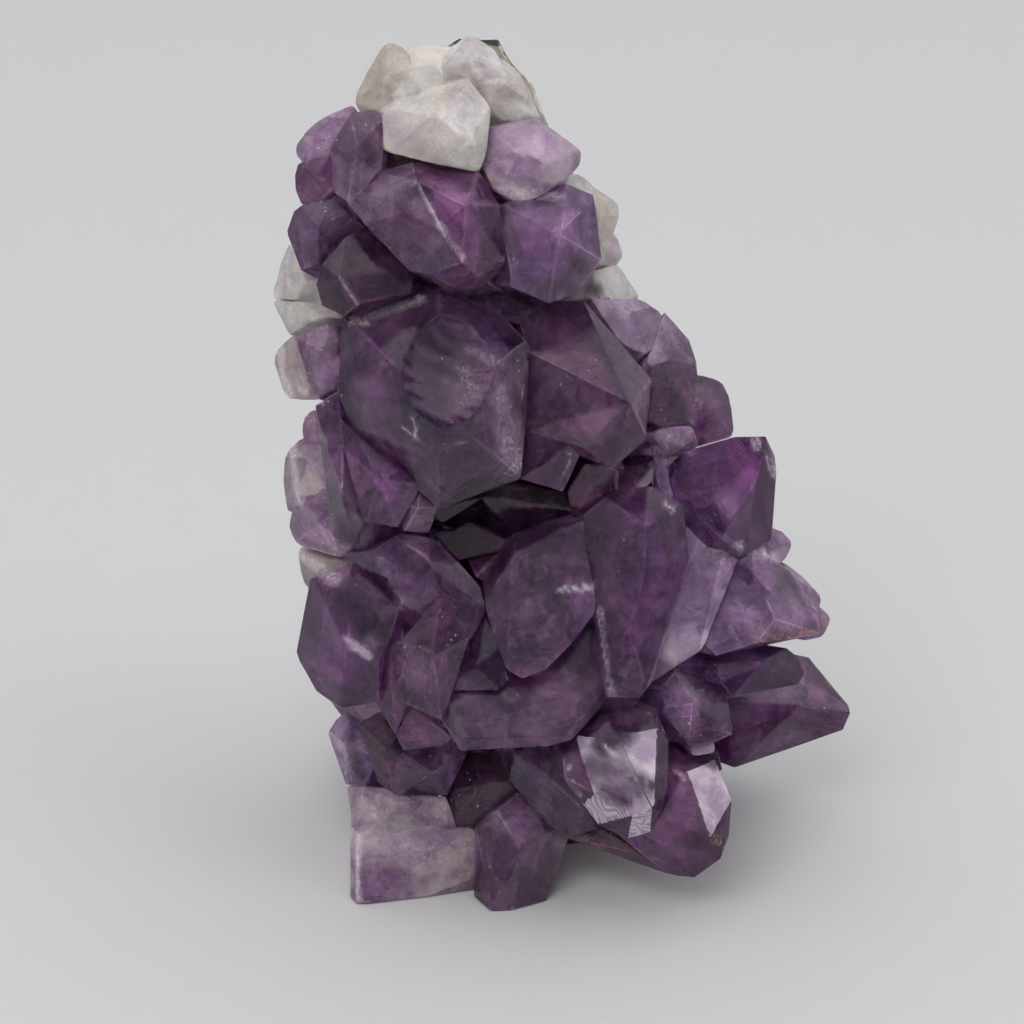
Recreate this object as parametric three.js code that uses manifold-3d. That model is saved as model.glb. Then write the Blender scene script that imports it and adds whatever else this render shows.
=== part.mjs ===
// Natural amethyst cluster standing on a flat cut base.
// A body of massive quartz carries many intergrown quartz crystals: hexagonal
// prisms that end in six-sided pyramids. The crystals are purple over most of
// the cluster and milky white at the top. A thin dark rind of host rock covers
// the back. Units are millimetres, +Z is up, -Y is the front, and the origin
// is on the base under the middle of the piece.
import * as THREE from "three";
import { ConvexGeometry } from "three/addons/geometries/ConvexGeometry.js";
import { mergeVertices } from "three/addons/utils/BufferGeometryUtils.js";
import Module from "manifold-3d";

// ---- driving dimensions ---------------------------------------------------
const PYRAMID_NORMAL_DEG = 51.8; // quartz: pyramid face normal from the crystal axis
const PRISM_IRREGULARITY = 0.05; // spread of prism face distances, share of the inradius
const PYRAMID_IRREGULARITY = 0.11; // spread of pyramid face distances, share of the inradius
const CORE_SIDES = 16; // sides of the massive body's sections
const RIND_SIDES = 40; // sides of the rind's sections
const RIND_THICKNESS = 3.6; // thickness of the host-rock rind
const RIND_ROUGHNESS = 0.75; // height of the rind's lumps
const GAP = 0.32; // space between the rind and the crystals
const RIND_FRONT = 9.5; // the rind starts behind this Y on the middle line
const RIND_SLANT = -0.12; // change of that Y with X
const MIDDLE = [1.0200, -5.0996]; // middle of the piece in the frame of the tables below
const SLIVER = 0.1; // facets thinner than this are merged away

// Zero roll is measured in the frame turned from this front direction.
const FRONT = new THREE.Vector3(0, -0.906308, 0.422618);
const FRONT_X = new THREE.Vector3(1, 0, 0);
const FRONT_Y = new THREE.Vector3(0, 0.422618, 0.906308);

// Massive quartz body: height, centre x, centre y, radius x, radius y.
const CORE = [
  [0, -5, 6, 23, 20],
  [20, -4, 7, 24, 18],
  [40, -6, 8, 22, 16],
  [60, -9, 9, 19, 14],
  [80, -14, 9, 15, 11],
  [98, -18, 9, 11, 8],
  [110, -18, 9, 8, 5.5],
  [116, -17, 9, 5, 3.5],
];

// Outer surface of the rind at the back: height, centre x, centre y, radius x, radius y.
const RIND = [
  [0, -5, 6, 27, 21.5],
  [14, -4.5, 6.6, 28.2, 21.4],
  [28, -4.5, 7.4, 27.6, 20.4],
  [42, -5.5, 8, 26.4, 19.2],
  [56, -7, 8.6, 24.6, 17.6],
  [70, -9, 9, 22.6, 15.8],
  [84, -11, 9, 19.6, 13.6],
  [96, -12.5, 9, 16.2, 11.2],
  [106, -14, 9, 12.2, 8.8],
  [112, -14.5, 9, 9.8, 7],
  [116.2, -13.6, 9.2, 5.4, 4.2],
  [118.4, -12.4, 9.6, 2.6, 2.2],
];

// Crystals: name, tip x y z, axis x y z (towards the tip), circumradius of the
// prism, roll in degrees, length from tip to root, seed of its small
// irregularities, zone of colour, then for some: the six pyramid face
// distances and the six prism face distances as shares of the inradius, and
// chips as a direction in the crystal's own frame with a depth under the tip.
const CRYSTALS = [
  ["d1", 22.24, 8.48, 2.05, 0.931, 0.291, -0.222, 7.14, 56.8, 11.3, 201, "p"],
  ["d6", -31.3, 21.73, 7.32, -0.635, 0.741, 0.217, 5.14, 10.3, 16.1, 206, "p"],
  ["d7", -33.74, 6.02, 7.25, -0.948, -0.039, 0.316, 4.71, 44.7, 13.1, 207, "p"],
  ["d13", 26.75, 10.59, 13.71, 0.997, -0.061, 0.052, 7.36, -45.1, 15.1, 213, "p"],
  ["d18", -36.57, 10.12, 15.42, -0.984, 0.061, -0.168, 6.65, 28.4, 16, 218, "p"],
  ["d19", -35, 0.43, 17.61, -0.943, -0.077, 0.325, 7.59, 39.8, 15.6, 219, "p"],
  ["d20", -22.6, -9.7, 16.97, -0.701, -0.533, 0.474, 5.04, 58.4, 11.3, 220, "a"],
  ["d21", -8.8, -16.6, 16.55, -0.05, -0.945, 0.325, 5.92, -32.5, 12.4, 221, "a"],
  ["d24", 27.31, 3.72, 16.84, 0.957, 0, 0.291, 6.44, 21, 15.6, 224, "p"],
  ["d25", 25.77, 4.83, 32.07, 0.779, -0.144, 0.611, 4.46, 38, 16.1, 225, "p"],
  ["d30", -32.2, 14.48, 23.76, -0.92, 0.286, 0.268, 5.43, 19.8, 12.9, 230, "p"],
  ["d31", -31.95, -1.25, 28.54, -0.732, -0.484, 0.48, 6.44, -16.5, 13.9, 231, "p"],
  ["d32", -23.99, -9, 23.96, -0.717, -0.612, 0.333, 5.03, -3, 12, 232, "a"],
  ["d34", 7.43, -12.94, 25.44, 0.303, -0.826, 0.475, 3.72, 31.5, 12, 234, "a"],
  ["d35", 18.21, -6.84, 26.46, 0.79, -0.599, 0.129, 4.1, -49.2, 12.6, 235, "p"],
  ["d36", 21.71, 15.8, 37.9, 0.848, 0.405, 0.341, 7.66, 6.5, 14, 236, "p"],
  ["d41", -35.16, 4.92, 37.14, -0.905, -0.163, 0.392, 5.13, 59.8, 15, 241, "p"],
  ["d42", -28.51, -4.74, 33.07, -0.845, -0.52, 0.125, 5.58, -20.2, 12.4, 242, "p"],
  ["d45", 12.53, -5.95, 39.21, 0.554, -0.555, 0.62, 5.71, -39.6, 11.2, 245, "a"],
  ["d46", 21.74, 2.9, 36.21, 0.833, -0.172, 0.526, 4.96, -10.5, 12.9, 246, "p"],
  ["d47", 19.71, 6.53, 47.33, 0.992, -0.011, 0.128, 5.56, 27.1, 12.9, 247, "p"],
  ["d52", -36.51, 6.37, 46.52, -0.92, -0.266, 0.287, 6.93, 34.9, 16.3, 252, "p"],
  ["d54", -15.84, -11.68, 44.38, -0.057, -0.989, 0.138, 6.07, -1.4, 12.7, 254, "a"],
  ["d57", 18.14, 16.92, 58.19, 0.817, 0.428, 0.386, 5, -7.7, 16.1, 257, "p"],
  ["d61", -34.83, 11.58, 55.41, -0.964, 0.256, -0.07, 6.56, 15.5, 14.1, 261, "p"],
  ["d62", -22.5, -6.4, 53.38, -0.23, -0.965, -0.126, 5.76, 47.3, 11.4, 262, "a"],
  ["d65", 16.17, 2.97, 58.27, 0.825, -0.25, 0.507, 7.17, 7.4, 13.6, 265, "p"],
  ["d66", 15.46, 4.27, 70.02, 0.732, -0.3, 0.612, 5.86, 37.5, 17.1, 266, "p"],
  ["d70", -35.19, 16.38, 65.47, -0.919, 0.372, 0.129, 5.18, -18.6, 15.6, 270, "p"],
  ["d71", -35.11, -0.47, 67.37, -0.805, -0.525, 0.278, 5.28, 15.8, 16.8, 271, "p"],
  ["d75", 7.69, 14.42, 79.56, 0.805, 0.227, 0.549, 5.09, -23.2, 14, 275, "p"],
  ["d78", -34.17, 13.53, 75.76, -0.919, 0.291, 0.265, 5.92, -55.3, 13.4, 278, "p"],
  ["d83", 8.15, 10.55, 85.76, 0.848, 0.085, 0.523, 4.28, 20.9, 16, 283, "p"],
  ["d86", -32.12, 18.65, 82.17, -0.599, 0.781, -0.177, 6.3, 50.1, 14.1, 286, "p"],
  ["d87", -33.64, 2.87, 84.87, -0.86, -0.498, 0.112, 7.48, -10.9, 13.1, 287, "p"],
  ["d92", -37.16, 2.71, 94.28, -0.861, -0.417, 0.291, 6.25, 48.4, 16.9, 292, "p"],
  ["d97", -32.69, 5.42, 103.68, -0.924, -0.35, 0.156, 5.03, -53.9, 12.6, 297, "w"],
];

// Crystals whose growth was crowded by their neighbours: name, seed, zone of
// colour, axis x y z, and the corners of the convex body.
const CROWDED = [
  ["c_big", 100, "a", 0.052, -0.901, 0.43, [[-8.79, -0.78, 56.02], [-18.62, -2.37, 52.64], [-7.75, 6.73, 70.06], [-11.32, 8.81, 73.78], [-8.83, -9.47, 84.58], [-30.91, 4.41, 64.75], [-28.69, 2.08, 60.5], [-29.25, -18.1, 69.3], [-4.57, -12.76, 80.79], [-5.09, -12.77, 81.57], [-5.01, -18.11, 73.18], [-17.06, -27.24, 77.46], [-30.38, 9.03, 73.38], [-19.67, 10.64, 76.84], [-5.85, -21.17, 64.13], [-5.9, -21.09, 63.79], [-17.34, -27.49, 77.42], [-17.55, -27.54, 77.45], [-17.58, -22.49, 59.89], [-17.39, -22.39, 59.66], [-17.39, -8.11, 88.06], [-18.63, -7.37, 88.21], [-17.94, -26.88, 77.94], [-18.05, -27.18, 77.27], [-17.57, -27.53, 77.47], [-31.89, -15.36, 74.39], [-31.27, -9.79, 84.43]]],
  ["c_rt", 101, "a", 0.397, -0.882, 0.252, [[-5.43, -16.01, 69.24], [-4.96, -13.07, 80.09], [0.85, 6.35, 74.23], [-6, -8.7, 82.78], [9.43, -21.43, 75.8], [12.9, -11.35, 74.9], [12.86, -11.1, 74.99], [-1.95, -5.72, 84.93], [3.46, -6.21, 84.81], [3.34, -6.37, 84.88], [-3.15, 7.82, 79.13], [-1.97, 6.87, 75.11], [-11.46, 6.41, 77.26], [-7.52, 8.36, 79.16], [-7.96, 8.31, 79.21], [-10.7, -0.66, 65.83], [-8.31, -0.89, 64.75], [-0.25, -2.85, 61.56], [2.97, -19.35, 67.99], [-4.96, -16.28, 69.11], [-0.12, -2.74, 61.71], [3.79, -2.13, 65.24], [4.46, 4.1, 70.9], [4.65, 3.87, 70.86], [9.49, -21.48, 75.73], [7.13, -18.89, 64.2], [11.93, -18.14, 68.54]]],
  ["c_top", 102, "a", 0.059, -0.709, 0.702, [[-5.94, 2.27, 76.13], [-4.63, 0.69, 73.48], [-8.81, -9.48, 83.69], [-9.1, -9.5, 83.92], [-3.09, -7.54, 81.04], [-4.49, -6.05, 84.2], [-7.9, -6.88, 86.2], [-13.04, 2.8, 77.96], [-15.24, -6.33, 85.14], [-13.18, -5.31, 86.35], [-9.5, -0.9, 75.69], [-4.81, 0.69, 73.51], [-14.97, 1.72, 76.97], [-14.85, 1.94, 76.87]]],
  ["c_sm", 103, "a", 0.171, -0.977, 0.129, [[0.19, -18.11, 60.4], [-6.78, -5.09, 66.98], [-5.96, -17.85, 62.32], [-5.39, -16.01, 69], [0.86, -17.87, 68.42], [0.37, -6.74, 65.2], [-1.54, -6.26, 66.42], [0.61, -18.33, 61.29], [2.98, -17.85, 66.88], [1.3, -18.11, 68.18], [-2.22, -18.73, 64.92], [-2.08, -18.71, 65.21], [-7.27, -6.56, 61.29], [-6.82, -5.1, 66.56], [-2.05, -6.78, 59.65], [-1.69, -6.51, 60.57]]],
  ["c_dk", 104, "d", 0.171, -0.977, 0.129, [[3.34, -15.78, 64.04], [3.25, -15.84, 63.84], [0.8, -14.66, 58.82], [1.7, -14.57, 54.32], [1.64, -14.68, 54.68], [5.41, -3.48, 60.39], [4.09, -3.43, 55.97], [0.08, -3.38, 53.62], [4.41, -16.04, 60.73], [4.4, -16.03, 60.64], [7.96, -14.68, 62.29], [6.43, -14.72, 57.09], [-0.68, -3.48, 57.45], [-0.64, -3.42, 57.24], [1.48, -4.39, 61.88], [5.32, -3.48, 60.42]]],
  ["f_F", 105, "a", 0.087, -0.993, -0.08, [[-7.06, -20.6, 51.19], [-11.53, -4.89, 46.82], [-11.25, -23.31, 45.38], [1.95, -5.84, 45.66], [2.14, -4.93, 46.56], [-11.02, -5.72, 45.72], [3.12, -1.98, 50.43], [-6.67, -20.16, 51.75], [-0.19, -17.9, 54.5], [-3.93, -10.81, 40.75], [-2.47, -30.71, 38.13], [0.56, -17.81, 54.61], [3.57, -16.34, 55.06], [5.96, -19.78, 49.63], [4.68, -24.65, 44.11], [1.22, -28.35, 41.07], [-2.16, 0.01, 54.58], [1.21, 1.14, 54.59], [1.05, 1.18, 55.05], [-11.11, -4.42, 47.43], [-7.63, -2.3, 52.24], [-8.86, -10.62, 40.91], [-6.78, -11.68, 39.89], [-5.66, -31.49, 37.19], [-7.68, -30.77, 38.16], [-8.09, -30.4, 38.38]]],
  ["f_dp", 106, "a", -0.1, -0.981, -0.166, [[-13.51, -10.61, 40.14], [-14.48, -12.43, 36.82], [-6.68, -13.93, 38.83], [-8.01, -14.17, 37.73], [-9.24, -30.13, 34.63], [-7.65, -11.33, 43.23], [-9.49, -8.88, 44.99], [-16.85, -28.07, 33.57], [-8.81, -26.79, 41.11], [-7.66, -29.72, 35.95], [-8.72, -30.22, 35.04], [-8.73, -27.38, 40.57], [-12.11, -28.79, 37.98], [-12.07, -28.72, 38.11], [-11.91, -28.59, 38.36], [-15.71, -25.94, 37.47], [-10.97, -23.91, 43.18]]],
  ["f_H", 107, "a", 0.041, -0.998, -0.051, [[-5.95, -23.66, 39.55], [-14.53, -33.43, 26.86], [-17.14, -29.95, 29.54], [-14.42, -33.6, 26.85], [6.38, -28.12, 31.88], [1.05, -32.82, 28.8], [5.87, -6.42, 37.02], [-15.78, -8.89, 34.14], [-6.39, -5.17, 39.45], [2.41, -4.13, 40.67], [-15.88, -10.97, 30.95], [-6.11, -23.74, 39.46], [-14.81, -33.22, 28.68], [-14.58, -33.35, 28.63], [-14.71, -33.36, 28.59], [-17.01, -27.24, 33.3], [-1.96, -33.13, 27.26], [1.5, -32.78, 28.25], [1.35, -32.9, 28.2], [8.44, -24.43, 36.68], [7.94, -25.57, 35.45], [1.65, -32.07, 29.65], [4.21, -22.19, 40.96], [4.42, -22.11, 40.98], [-13.66, -13.79, 28.69], [-15.86, -10.98, 30.93], [-2.97, -13.92, 28.99], [-0.07, -12.97, 29.89], [4.11, -9.49, 32.94], [4.36, -8.67, 33.62]]],
  ["r_G", 108, "a", 0.171, -0.586, 0.792, [[0.58, -6.05, 39.38], [12.68, -11.48, 31.98], [3.47, -17.18, 21.8], [3.69, -18.02, 20.83], [8.37, -14.33, 59.32], [5.77, -4.41, 42.59], [9.8, -4.48, 42.93], [9.31, -17.87, 22.93], [7.88, -18.73, 21.39], [12.87, -30.01, 35.99], [18.36, -20.35, 50.87], [6.22, -30.45, 33.76], [11.14, -30.88, 34], [12.21, -30.63, 35.42], [6.52, -30.65, 33.96], [17.57, -15.95, 57.27], [13.92, -9.46, 35.37], [13.32, -5.9, 41.03], [12.14, -20.12, 55.88], [17.32, -15.9, 57.53], [12.58, -14.45, 59.75], [13.45, -14.34, 59.61], [11.92, -24.08, 50.83], [9.49, -28.78, 43.25], [9.17, -28.82, 43], [12.02, -20.28, 55.76], [6.19, -15.32, 58.39], [2.47, -15.91, 55.27], [2.82, -17.29, 53.72]]],
  ["r_D", 109, "a", 0.663, -0.218, 0.716, [[16.58, -6.45, 47.91], [16.05, -11.29, 59.68], [17.65, -9.87, 63.15], [5.34, -5.99, 47.98], [17.44, -13.19, 57.15], [27.57, -14.86, 60.19], [16.36, -9.85, 37.99], [24.91, -10.77, 65.85], [29.29, -11.9, 66.46], [29.97, -10.18, 62.2], [30.81, -10.56, 62.7], [28.02, -14.68, 60.78], [30.42, -14.44, 51.12], [29.32, -12.13, 66.07], [28.14, -14.61, 60.98], [31.11, -11.65, 60.2], [30.53, -14.33, 51.63], [26.06, -16.77, 49.62], [15.9, -9.92, 37.72], [5.29, -9.06, 42.23], [12.57, -11.79, 36.64], [12.49, -11.78, 36.67], [3.89, -7.08, 45], [3.94, -6.89, 45.21], [17.7, -13.72, 56.15], [5.44, -9.19, 42.16], [10.03, -11.91, 39.25], [23.11, -16.91, 52.72]]],
  ["r_col", 110, "p", 0.587, -0.374, 0.718, [[12.93, -24.86, 37.49], [18.06, -11.78, 56.21], [18.14, -12.29, 55.98], [26.13, -15.24, 50.16], [17.23, -25.55, 36.77], [26.13, -15.61, 50.03], [23.61, -15.63, 51.52], [20.31, -24.37, 38.36], [19.69, -24.74, 38.11], [13.3, -8.23, 34.96], [6.3, -5.21, 39.89], [2.12, -16.44, 24.23], [5.54, -16.85, 23.35], [8.08, -15.8, 24.61]]],
  ["r_I", 111, "a", 0.858, -0.504, 0.102, [[20.26, -21.59, 38.5], [28.23, -22.31, 38.37], [22.32, -22.86, 36.55], [22.42, -22.94, 36.65], [37.35, -12.96, 39.23], [3.28, -7.13, 41.24], [6.01, -3.48, 44.56], [33.68, -10.28, 43.9], [14.11, -0.24, 41.33], [11.34, -0.43, 44.02], [37.47, -13.29, 38.96], [30.81, -20.61, 41.39], [30.46, -20, 42.31], [37.77, -15.84, 36.57], [24.21, -14.15, 47.72], [30.08, -10.33, 47.02], [30.35, -10.4, 46.93], [17.57, -2.69, 37.4], [14.16, -0.29, 41.18], [17.7, -5.02, 35.13], [4.63, -11.02, 35.11], [3, -10.02, 36.78], [2.92, -9.79, 37.04], [30.3, -19.85, 42.53], [28.28, -16.37, 46.04], [24.43, -14.73, 47.51], [20.69, -18.7, 43.13], [20.46, -18.12, 43.72]]],
  ["r_fr", 112, "a", 0.383, -0.302, 0.873, [[25.66, -16.37, 49.1], [27.02, -14.41, 50.57], [31.04, -16.79, 46.07], [29.59, -13.57, 49.76], [27.44, -14.32, 50.57], [30.37, -18.91, 44.74], [27.89, -18.28, 46.93], [27.69, -18.11, 47.21], [24.46, -10.07, 38.12], [25.65, -12.77, 34.91], [22.21, -10.73, 38.65], [23.04, -14.09, 35.78], [21.12, -12.44, 37.57], [25.03, -14.53, 33.68], [25.03, -14.41, 33.66]]],
  ["r_J", 113, "a", 0.853, -0.517, 0.075, [[7.83, -13.25, 31.3], [9.63, -13.85, 29.32], [22.71, -21.51, 34.77], [34.42, -18.98, 29.84], [35.73, -16.77, 30.5], [34.66, -18.85, 29.91], [28.99, -21.49, 35], [34.51, -15.9, 33.02], [32.92, -16.43, 34.66], [29, -21.83, 34.66], [28.98, -21.83, 34.69], [24.84, -24.14, 30.39], [23.08, -23.67, 32.75], [10.44, -13.32, 29.26], [17.69, -9.41, 28.85], [18.78, -7.53, 29.41], [15.89, -7.14, 33.12], [7.83, -11.44, 33.23], [7.8, -11.48, 33.17], [17.83, -6.83, 31.55], [18.55, -7.39, 29.54], [17.38, -7.99, 29.63]]],
  ["r_K", 114, "a", 0.837, -0.548, 0.008, [[24.59, -10.67, 23.05], [25.79, -14.67, 13.79], [25.78, -14.69, 13.72], [16.76, 14.47, 22.62], [42.54, -4.59, 14.77], [21.89, 11.34, 17.26], [21.14, 8.63, 15.12], [42.65, -4.5, 14.78], [5.69, 3.46, 22.16], [16.52, 14.33, 22.61], [6.72, 0.03, 14.23], [7.02, 0.35, 14.26], [24.75, -10.61, 23.06], [37.59, 2.29, 23.59], [35.79, -7.42, 20.49], [35.94, -7.35, 20.41], [35.66, -7.43, 20.59], [37.68, 2.24, 23.54], [43.69, -1.42, 17.28], [43.89, -2.53, 16.61]]],
  ["r_L", 115, "a", 0.763, -0.611, 0.211, [[14.79, -27.04, 29.63], [10.9, -14.47, 21.97], [3.89, -11.94, 29.8], [2.08, -14.25, 27.96], [24.2, -22.18, 29.05], [10.36, -12.07, 25.44], [8.1, -11.11, 28.15], [24.91, -25.06, 25], [24.95, -24.84, 25.44], [22.4, -26.84, 24.63], [18.84, -26.53, 30.72], [18.53, -29.11, 25.19], [16.61, -22.05, 34.19], [21.89, -21.31, 32.35], [22.14, -21.45, 32.17], [2.3, -16.16, 25.92], [2.07, -14.45, 27.7], [5.44, -17.88, 22.13], [8.76, -15.98, 21.66], [9.54, -15.3, 21.77], [16.47, -22.79, 33.86], [14.97, -26.76, 30.23], [14.42, -24.71, 32], [18.83, -26.52, 30.75], [18.87, -26.19, 31.04]]],
  ["r_L2", 116, "p", 0.492, -0.869, -0.051, [[11.79, -14.7, 24.99], [14.87, -14.04, 25.21], [12.04, -15.09, 23.54], [14.9, -14.47, 23.76], [22.25, -26.5, 24.62], [18.62, -27.28, 24.37], [22.28, -27.01, 22.91], [18.91, -27.73, 22.66]]],
  ["r_L3", 117, "d", 0.413, -0.902, -0.123, [[18.15, -27.54, 19.86], [18.19, -26.6, 22.09], [22.87, -25.56, 22.37], [23.53, -26.56, 19.67], [21.88, -27.08, 19.21], [13.15, -14.7, 23.48], [13.11, -15.5, 21.6], [17.12, -13.81, 23.73], [16.28, -15.1, 21.05], [17.68, -14.66, 21.44]]],
  ["f_P", 118, "a", 0.406, -0.914, -0.021, [[0.19, -31.01, 24.32], [2.07, -30.59, 27.16], [6.93, -25.59, 30.92], [-1.48, -7.18, 30.13], [6.79, -26.01, 30.77], [2.23, -30.39, 27.49], [2.23, -30.23, 27.58], [12.7, -36.1, 14.96], [0.54, -15.84, 15.54], [10.11, -39.17, 19.54], [-7.07, -12.95, 22.1], [-2.87, -15.36, 17.14], [-7.28, -11.65, 24.5], [-7.32, -11.61, 24.34], [-5.58, -10.9, 27.28], [-1.66, -7.28, 30.02], [13.75, -29.99, 28.43], [8.35, -32.2, 27.81], [8.98, -31.36, 28.38], [12.76, -39.25, 20.59], [15.4, -30.04, 26.4], [3.88, -6.91, 29.26], [9.96, -39.02, 19.24], [9.42, -36.03, 13.77], [9.47, -36.06, 13.78], [5.3, -35.46, 15.71], [5.22, -35.51, 15.86], [2.93, -34.61, 18.78], [4.48, -35.9, 21.34], [4.89, -36.22, 21.1], [0.57, -32.76, 21.93], [0.48, -32.67, 21.4], [13.93, -29.69, 28.53], [13.5, -26.22, 29.97], [13.67, -25.65, 29.88], [15.46, -30.42, 26.31], [15.43, -30.08, 26.45], [13.1, -38.81, 20.89], [15.1, -35.7, 21.77], [5.66, -10.83, 26.27], [3.33, -15.9, 16.55], [4.15, -7.01, 29.23], [12.79, -39.24, 20.59], [12.82, -39.22, 20.61], [14.2, -36.7, 18.57], [12.72, -36.11, 14.99], [12.97, -36.14, 15.46]]],
  ["f_Q", 119, "a", 0.671, -0.718, -0.183, [[10.9, -34.71, 13.19], [14.5, -35.94, 18], [14.33, -35.9, 17.73], [14.55, -35.94, 18.01], [0.68, -19.96, 21.29], [15.43, -34.61, 7.2], [11.36, -34.87, 10.8], [11.59, -34.94, 10.64], [-2.18, -18.83, 15.23], [1.52, -18.89, 12.09], [7.53, -11.74, 23.89], [4.13, -18.27, 11.42], [3.61, -15.04, 24.29], [22.46, -26.13, 21.31], [17.98, -30.18, 21.53], [18.26, -30.01, 21.51], [24.3, -32.38, 12.36], [24.77, -29.16, 16.43], [24.75, -29.13, 16.51], [5.94, -19.5, 10.85], [4.57, -18.39, 11.3], [10.27, -15.05, 19.71], [9.13, -13.86, 20.44], [7.5, -11.68, 24.06], [7.51, -11.67, 24.1], [3.67, -14.61, 24.32], [-2.22, -18.8, 15.33], [-2.35, -18.96, 17.19], [-2.29, -18.93, 17.36], [23.29, -34.47, 11.21], [23.14, -34.07, 9.43], [20.77, -35.59, 14.01], [19.33, -33.98, 6.19], [16.78, -34.59, 6.84], [21.36, -35.43, 13.76], [21.39, -35.42, 13.75]]],
  ["r_thin", 120, "p", 0.062, -0.343, 0.937, [[15.49, -8.24, 61.75], [16.29, -12.45, 56.83], [14.38, -13.25, 56.65], [16, -12.67, 57.03], [13.43, -10.58, 60.66], [13.72, -7.9, 64.36], [13.87, -7.96, 64.24], [14.56, -4.12, 49.32], [13.63, -8.41, 45.07], [15.24, -7.68, 45.1], [12.8, -6.01, 48.15], [12.82, -6.07, 48.02], [13.06, -3.85, 51.62], [14.54, -4.11, 49.34]]],
  ["l_drk", 121, "a", -0.397, -0.882, 0.252, [[-21, -10.18, 91.31], [-21.56, -10.21, 91.76], [-27.86, -7.07, 96.78], [-15.9, 3.61, 87.16], [-30.24, -13.98, 85.62], [-30.8, -14.3, 85.86], [-30.72, -9.52, 95.94], [-31.09, -14.99, 91.54], [-31.21, -14.89, 91.82], [-16.53, 1.59, 84.86], [-24.07, -0.3, 82.49], [-21.82, 6.05, 91.88], [-21.79, 6.07, 91.85], [-33.93, -13, 86.99], [-33.99, -13, 87.16], [-28.83, -15.6, 88.45], [-28.86, -15.57, 88.32], [-27, -14.13, 87.04], [-21.51, -11.92, 88.64], [-21.46, -11.79, 88.38], [-31.36, -14.72, 92.01], [-31.33, -14.8, 91.94], [-34.77, -12.32, 89.9], [-16, 3.27, 86.56], [-16.39, 1.99, 84.94], [-24.18, 0.21, 82.51], [-26.95, 1.07, 83.52], [-26.91, 2.29, 88.46], [-24.47, 4.08, 90.85], [-31.1, -9.64, 95.66], [-33.9, -11.61, 92.8], [-21.88, 6, 91.74], [-26.8, 1.24, 83.74], [-26.96, 1.12, 83.59], [-27.63, 1.71, 85.98], [-27.5, 1.86, 86.27]]],
  ["u_prs", 122, "a", -0.497, -0.621, 0.606, [[-18.58, -14.56, 92.45], [-10.52, -3.28, 83.01], [-14.64, -14.99, 94.23], [-6.98, -3.35, 84.27], [-12.97, 4.28, 94.76], [-12.76, 4.71, 94.23], [-9.44, -2.91, 89.4], [-7.15, -2.96, 84.78], [-30.13, -6.92, 99.9], [-16.93, 4.9, 92.9], [-27.7, -10.01, 97.96], [-21.6, -13.68, 92.63], [-20.16, -14.27, 92.65], [-21.08, -5.26, 105.78], [-13.28, -2.81, 83.39], [-12.68, -2.65, 83.13], [-20.58, 2.99, 89.62], [-20.03, 3.43, 89.49], [-22.58, -11.52, 100.63], [-17.73, -13.85, 99.09], [-17.05, -13.74, 99.64], [-16.94, -13.95, 99.32], [-29.78, -6.78, 100.41], [-21.28, -10.14, 103.71], [-20.35, -9.92, 104.5], [-20.33, -9.98, 104.47], [-26.18, -5.04, 104.16]]],
  ["u_mag", 123, "a", 0.25, -0.602, 0.758, [[-23.75, 0.19, 90.17], [-24.25, 4.54, 91.48], [-15.18, -4.8, 105.8], [-20.88, -5.21, 105.75], [-19.35, 4.8, 91.83], [-24.25, 4.6, 91.58], [-17, -13.41, 99.39], [-20.48, -9.86, 103.29], [-20.42, -9.49, 104.19], [-7.95, -11.75, 93.16], [-18.95, 4.66, 91.58], [-16.3, 3.18, 91], [-14, 1.03, 87.41], [-13.18, -1.15, 81.13], [-13.27, -1.13, 81.05], [-13.53, -13.76, 102.52], [-11.95, -6.6, 105.09], [-11.61, -6.66, 104.76], [-8.79, -9.44, 100.86], [-16.62, -2.04, 79.49], [-16.58, -2.04, 79.49], [-18.72, -4.03, 82.29], [-11.89, -12.92, 91.36], [-14.66, -14.71, 94.06], [-14.11, -14.83, 94.08]]],
  ["u_pur", 124, "a", 0.401, -0.858, 0.322, [[-14.24, 5.54, 94.22], [-1.99, 5.44, 87.53], [-4.45, 2.99, 84.04], [2.3, -10.67, 88.06], [-1.79, -13.11, 87.41], [-12.59, 1.49, 85.41], [-8.19, 1.61, 83.3], [4.41, -3.89, 100.34], [-2.65, 8.82, 94.49], [-6.16, 8.62, 95.97], [4.6, -4.41, 99.91], [5.69, -8.81, 92.46], [5.66, -8.9, 92.4], [0.39, -4.48, 102.27], [0.59, -4.55, 102.24], [-0.35, -12.87, 97.79], [-0.13, -12.35, 98.08], [-9.35, -7.53, 99.95], [-8.52, -7.76, 100.3], [-0.42, -12.91, 97.77], [-0.85, -12.87, 97.78], [-1.9, -13.18, 87.5], [-7.31, -12.55, 89.72], [-7.39, -12.43, 92.4]]],
  ["t_big", 125, "w", 0.262, -0.945, 0.198, [[-11.59, -7.27, 104.9], [-16.25, -8.54, 106.17], [-25.11, -5.76, 107.51], [-24.64, -6.06, 107.46], [-13.56, -8.27, 110.2], [-25.28, -2.82, 112.33], [-27.45, 9.38, 109.4], [-24.99, 10.78, 111.32], [-15.22, 4.27, 103.29], [-15.46, 5.65, 103.6], [-27.18, 6.19, 105.48], [-27.26, 6.74, 105.6], [-18.22, -6.38, 113.06], [-22.46, -0.58, 114.48], [-24.59, -2.87, 112.91], [-14.28, 9.84, 109.57], [-16.92, 11.86, 112.58], [-10.57, -7.28, 107.58], [-13.11, -8.15, 110.1], [-9.98, -2.02, 112.74], [-10.14, -1.98, 113.01], [-17.82, -6.47, 113.12], [-17.85, -6.46, 113.12], [-18.26, -1.06, 115.38], [-13.11, 0.81, 115.9], [-12.87, 0.49, 115.75]]],
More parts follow.
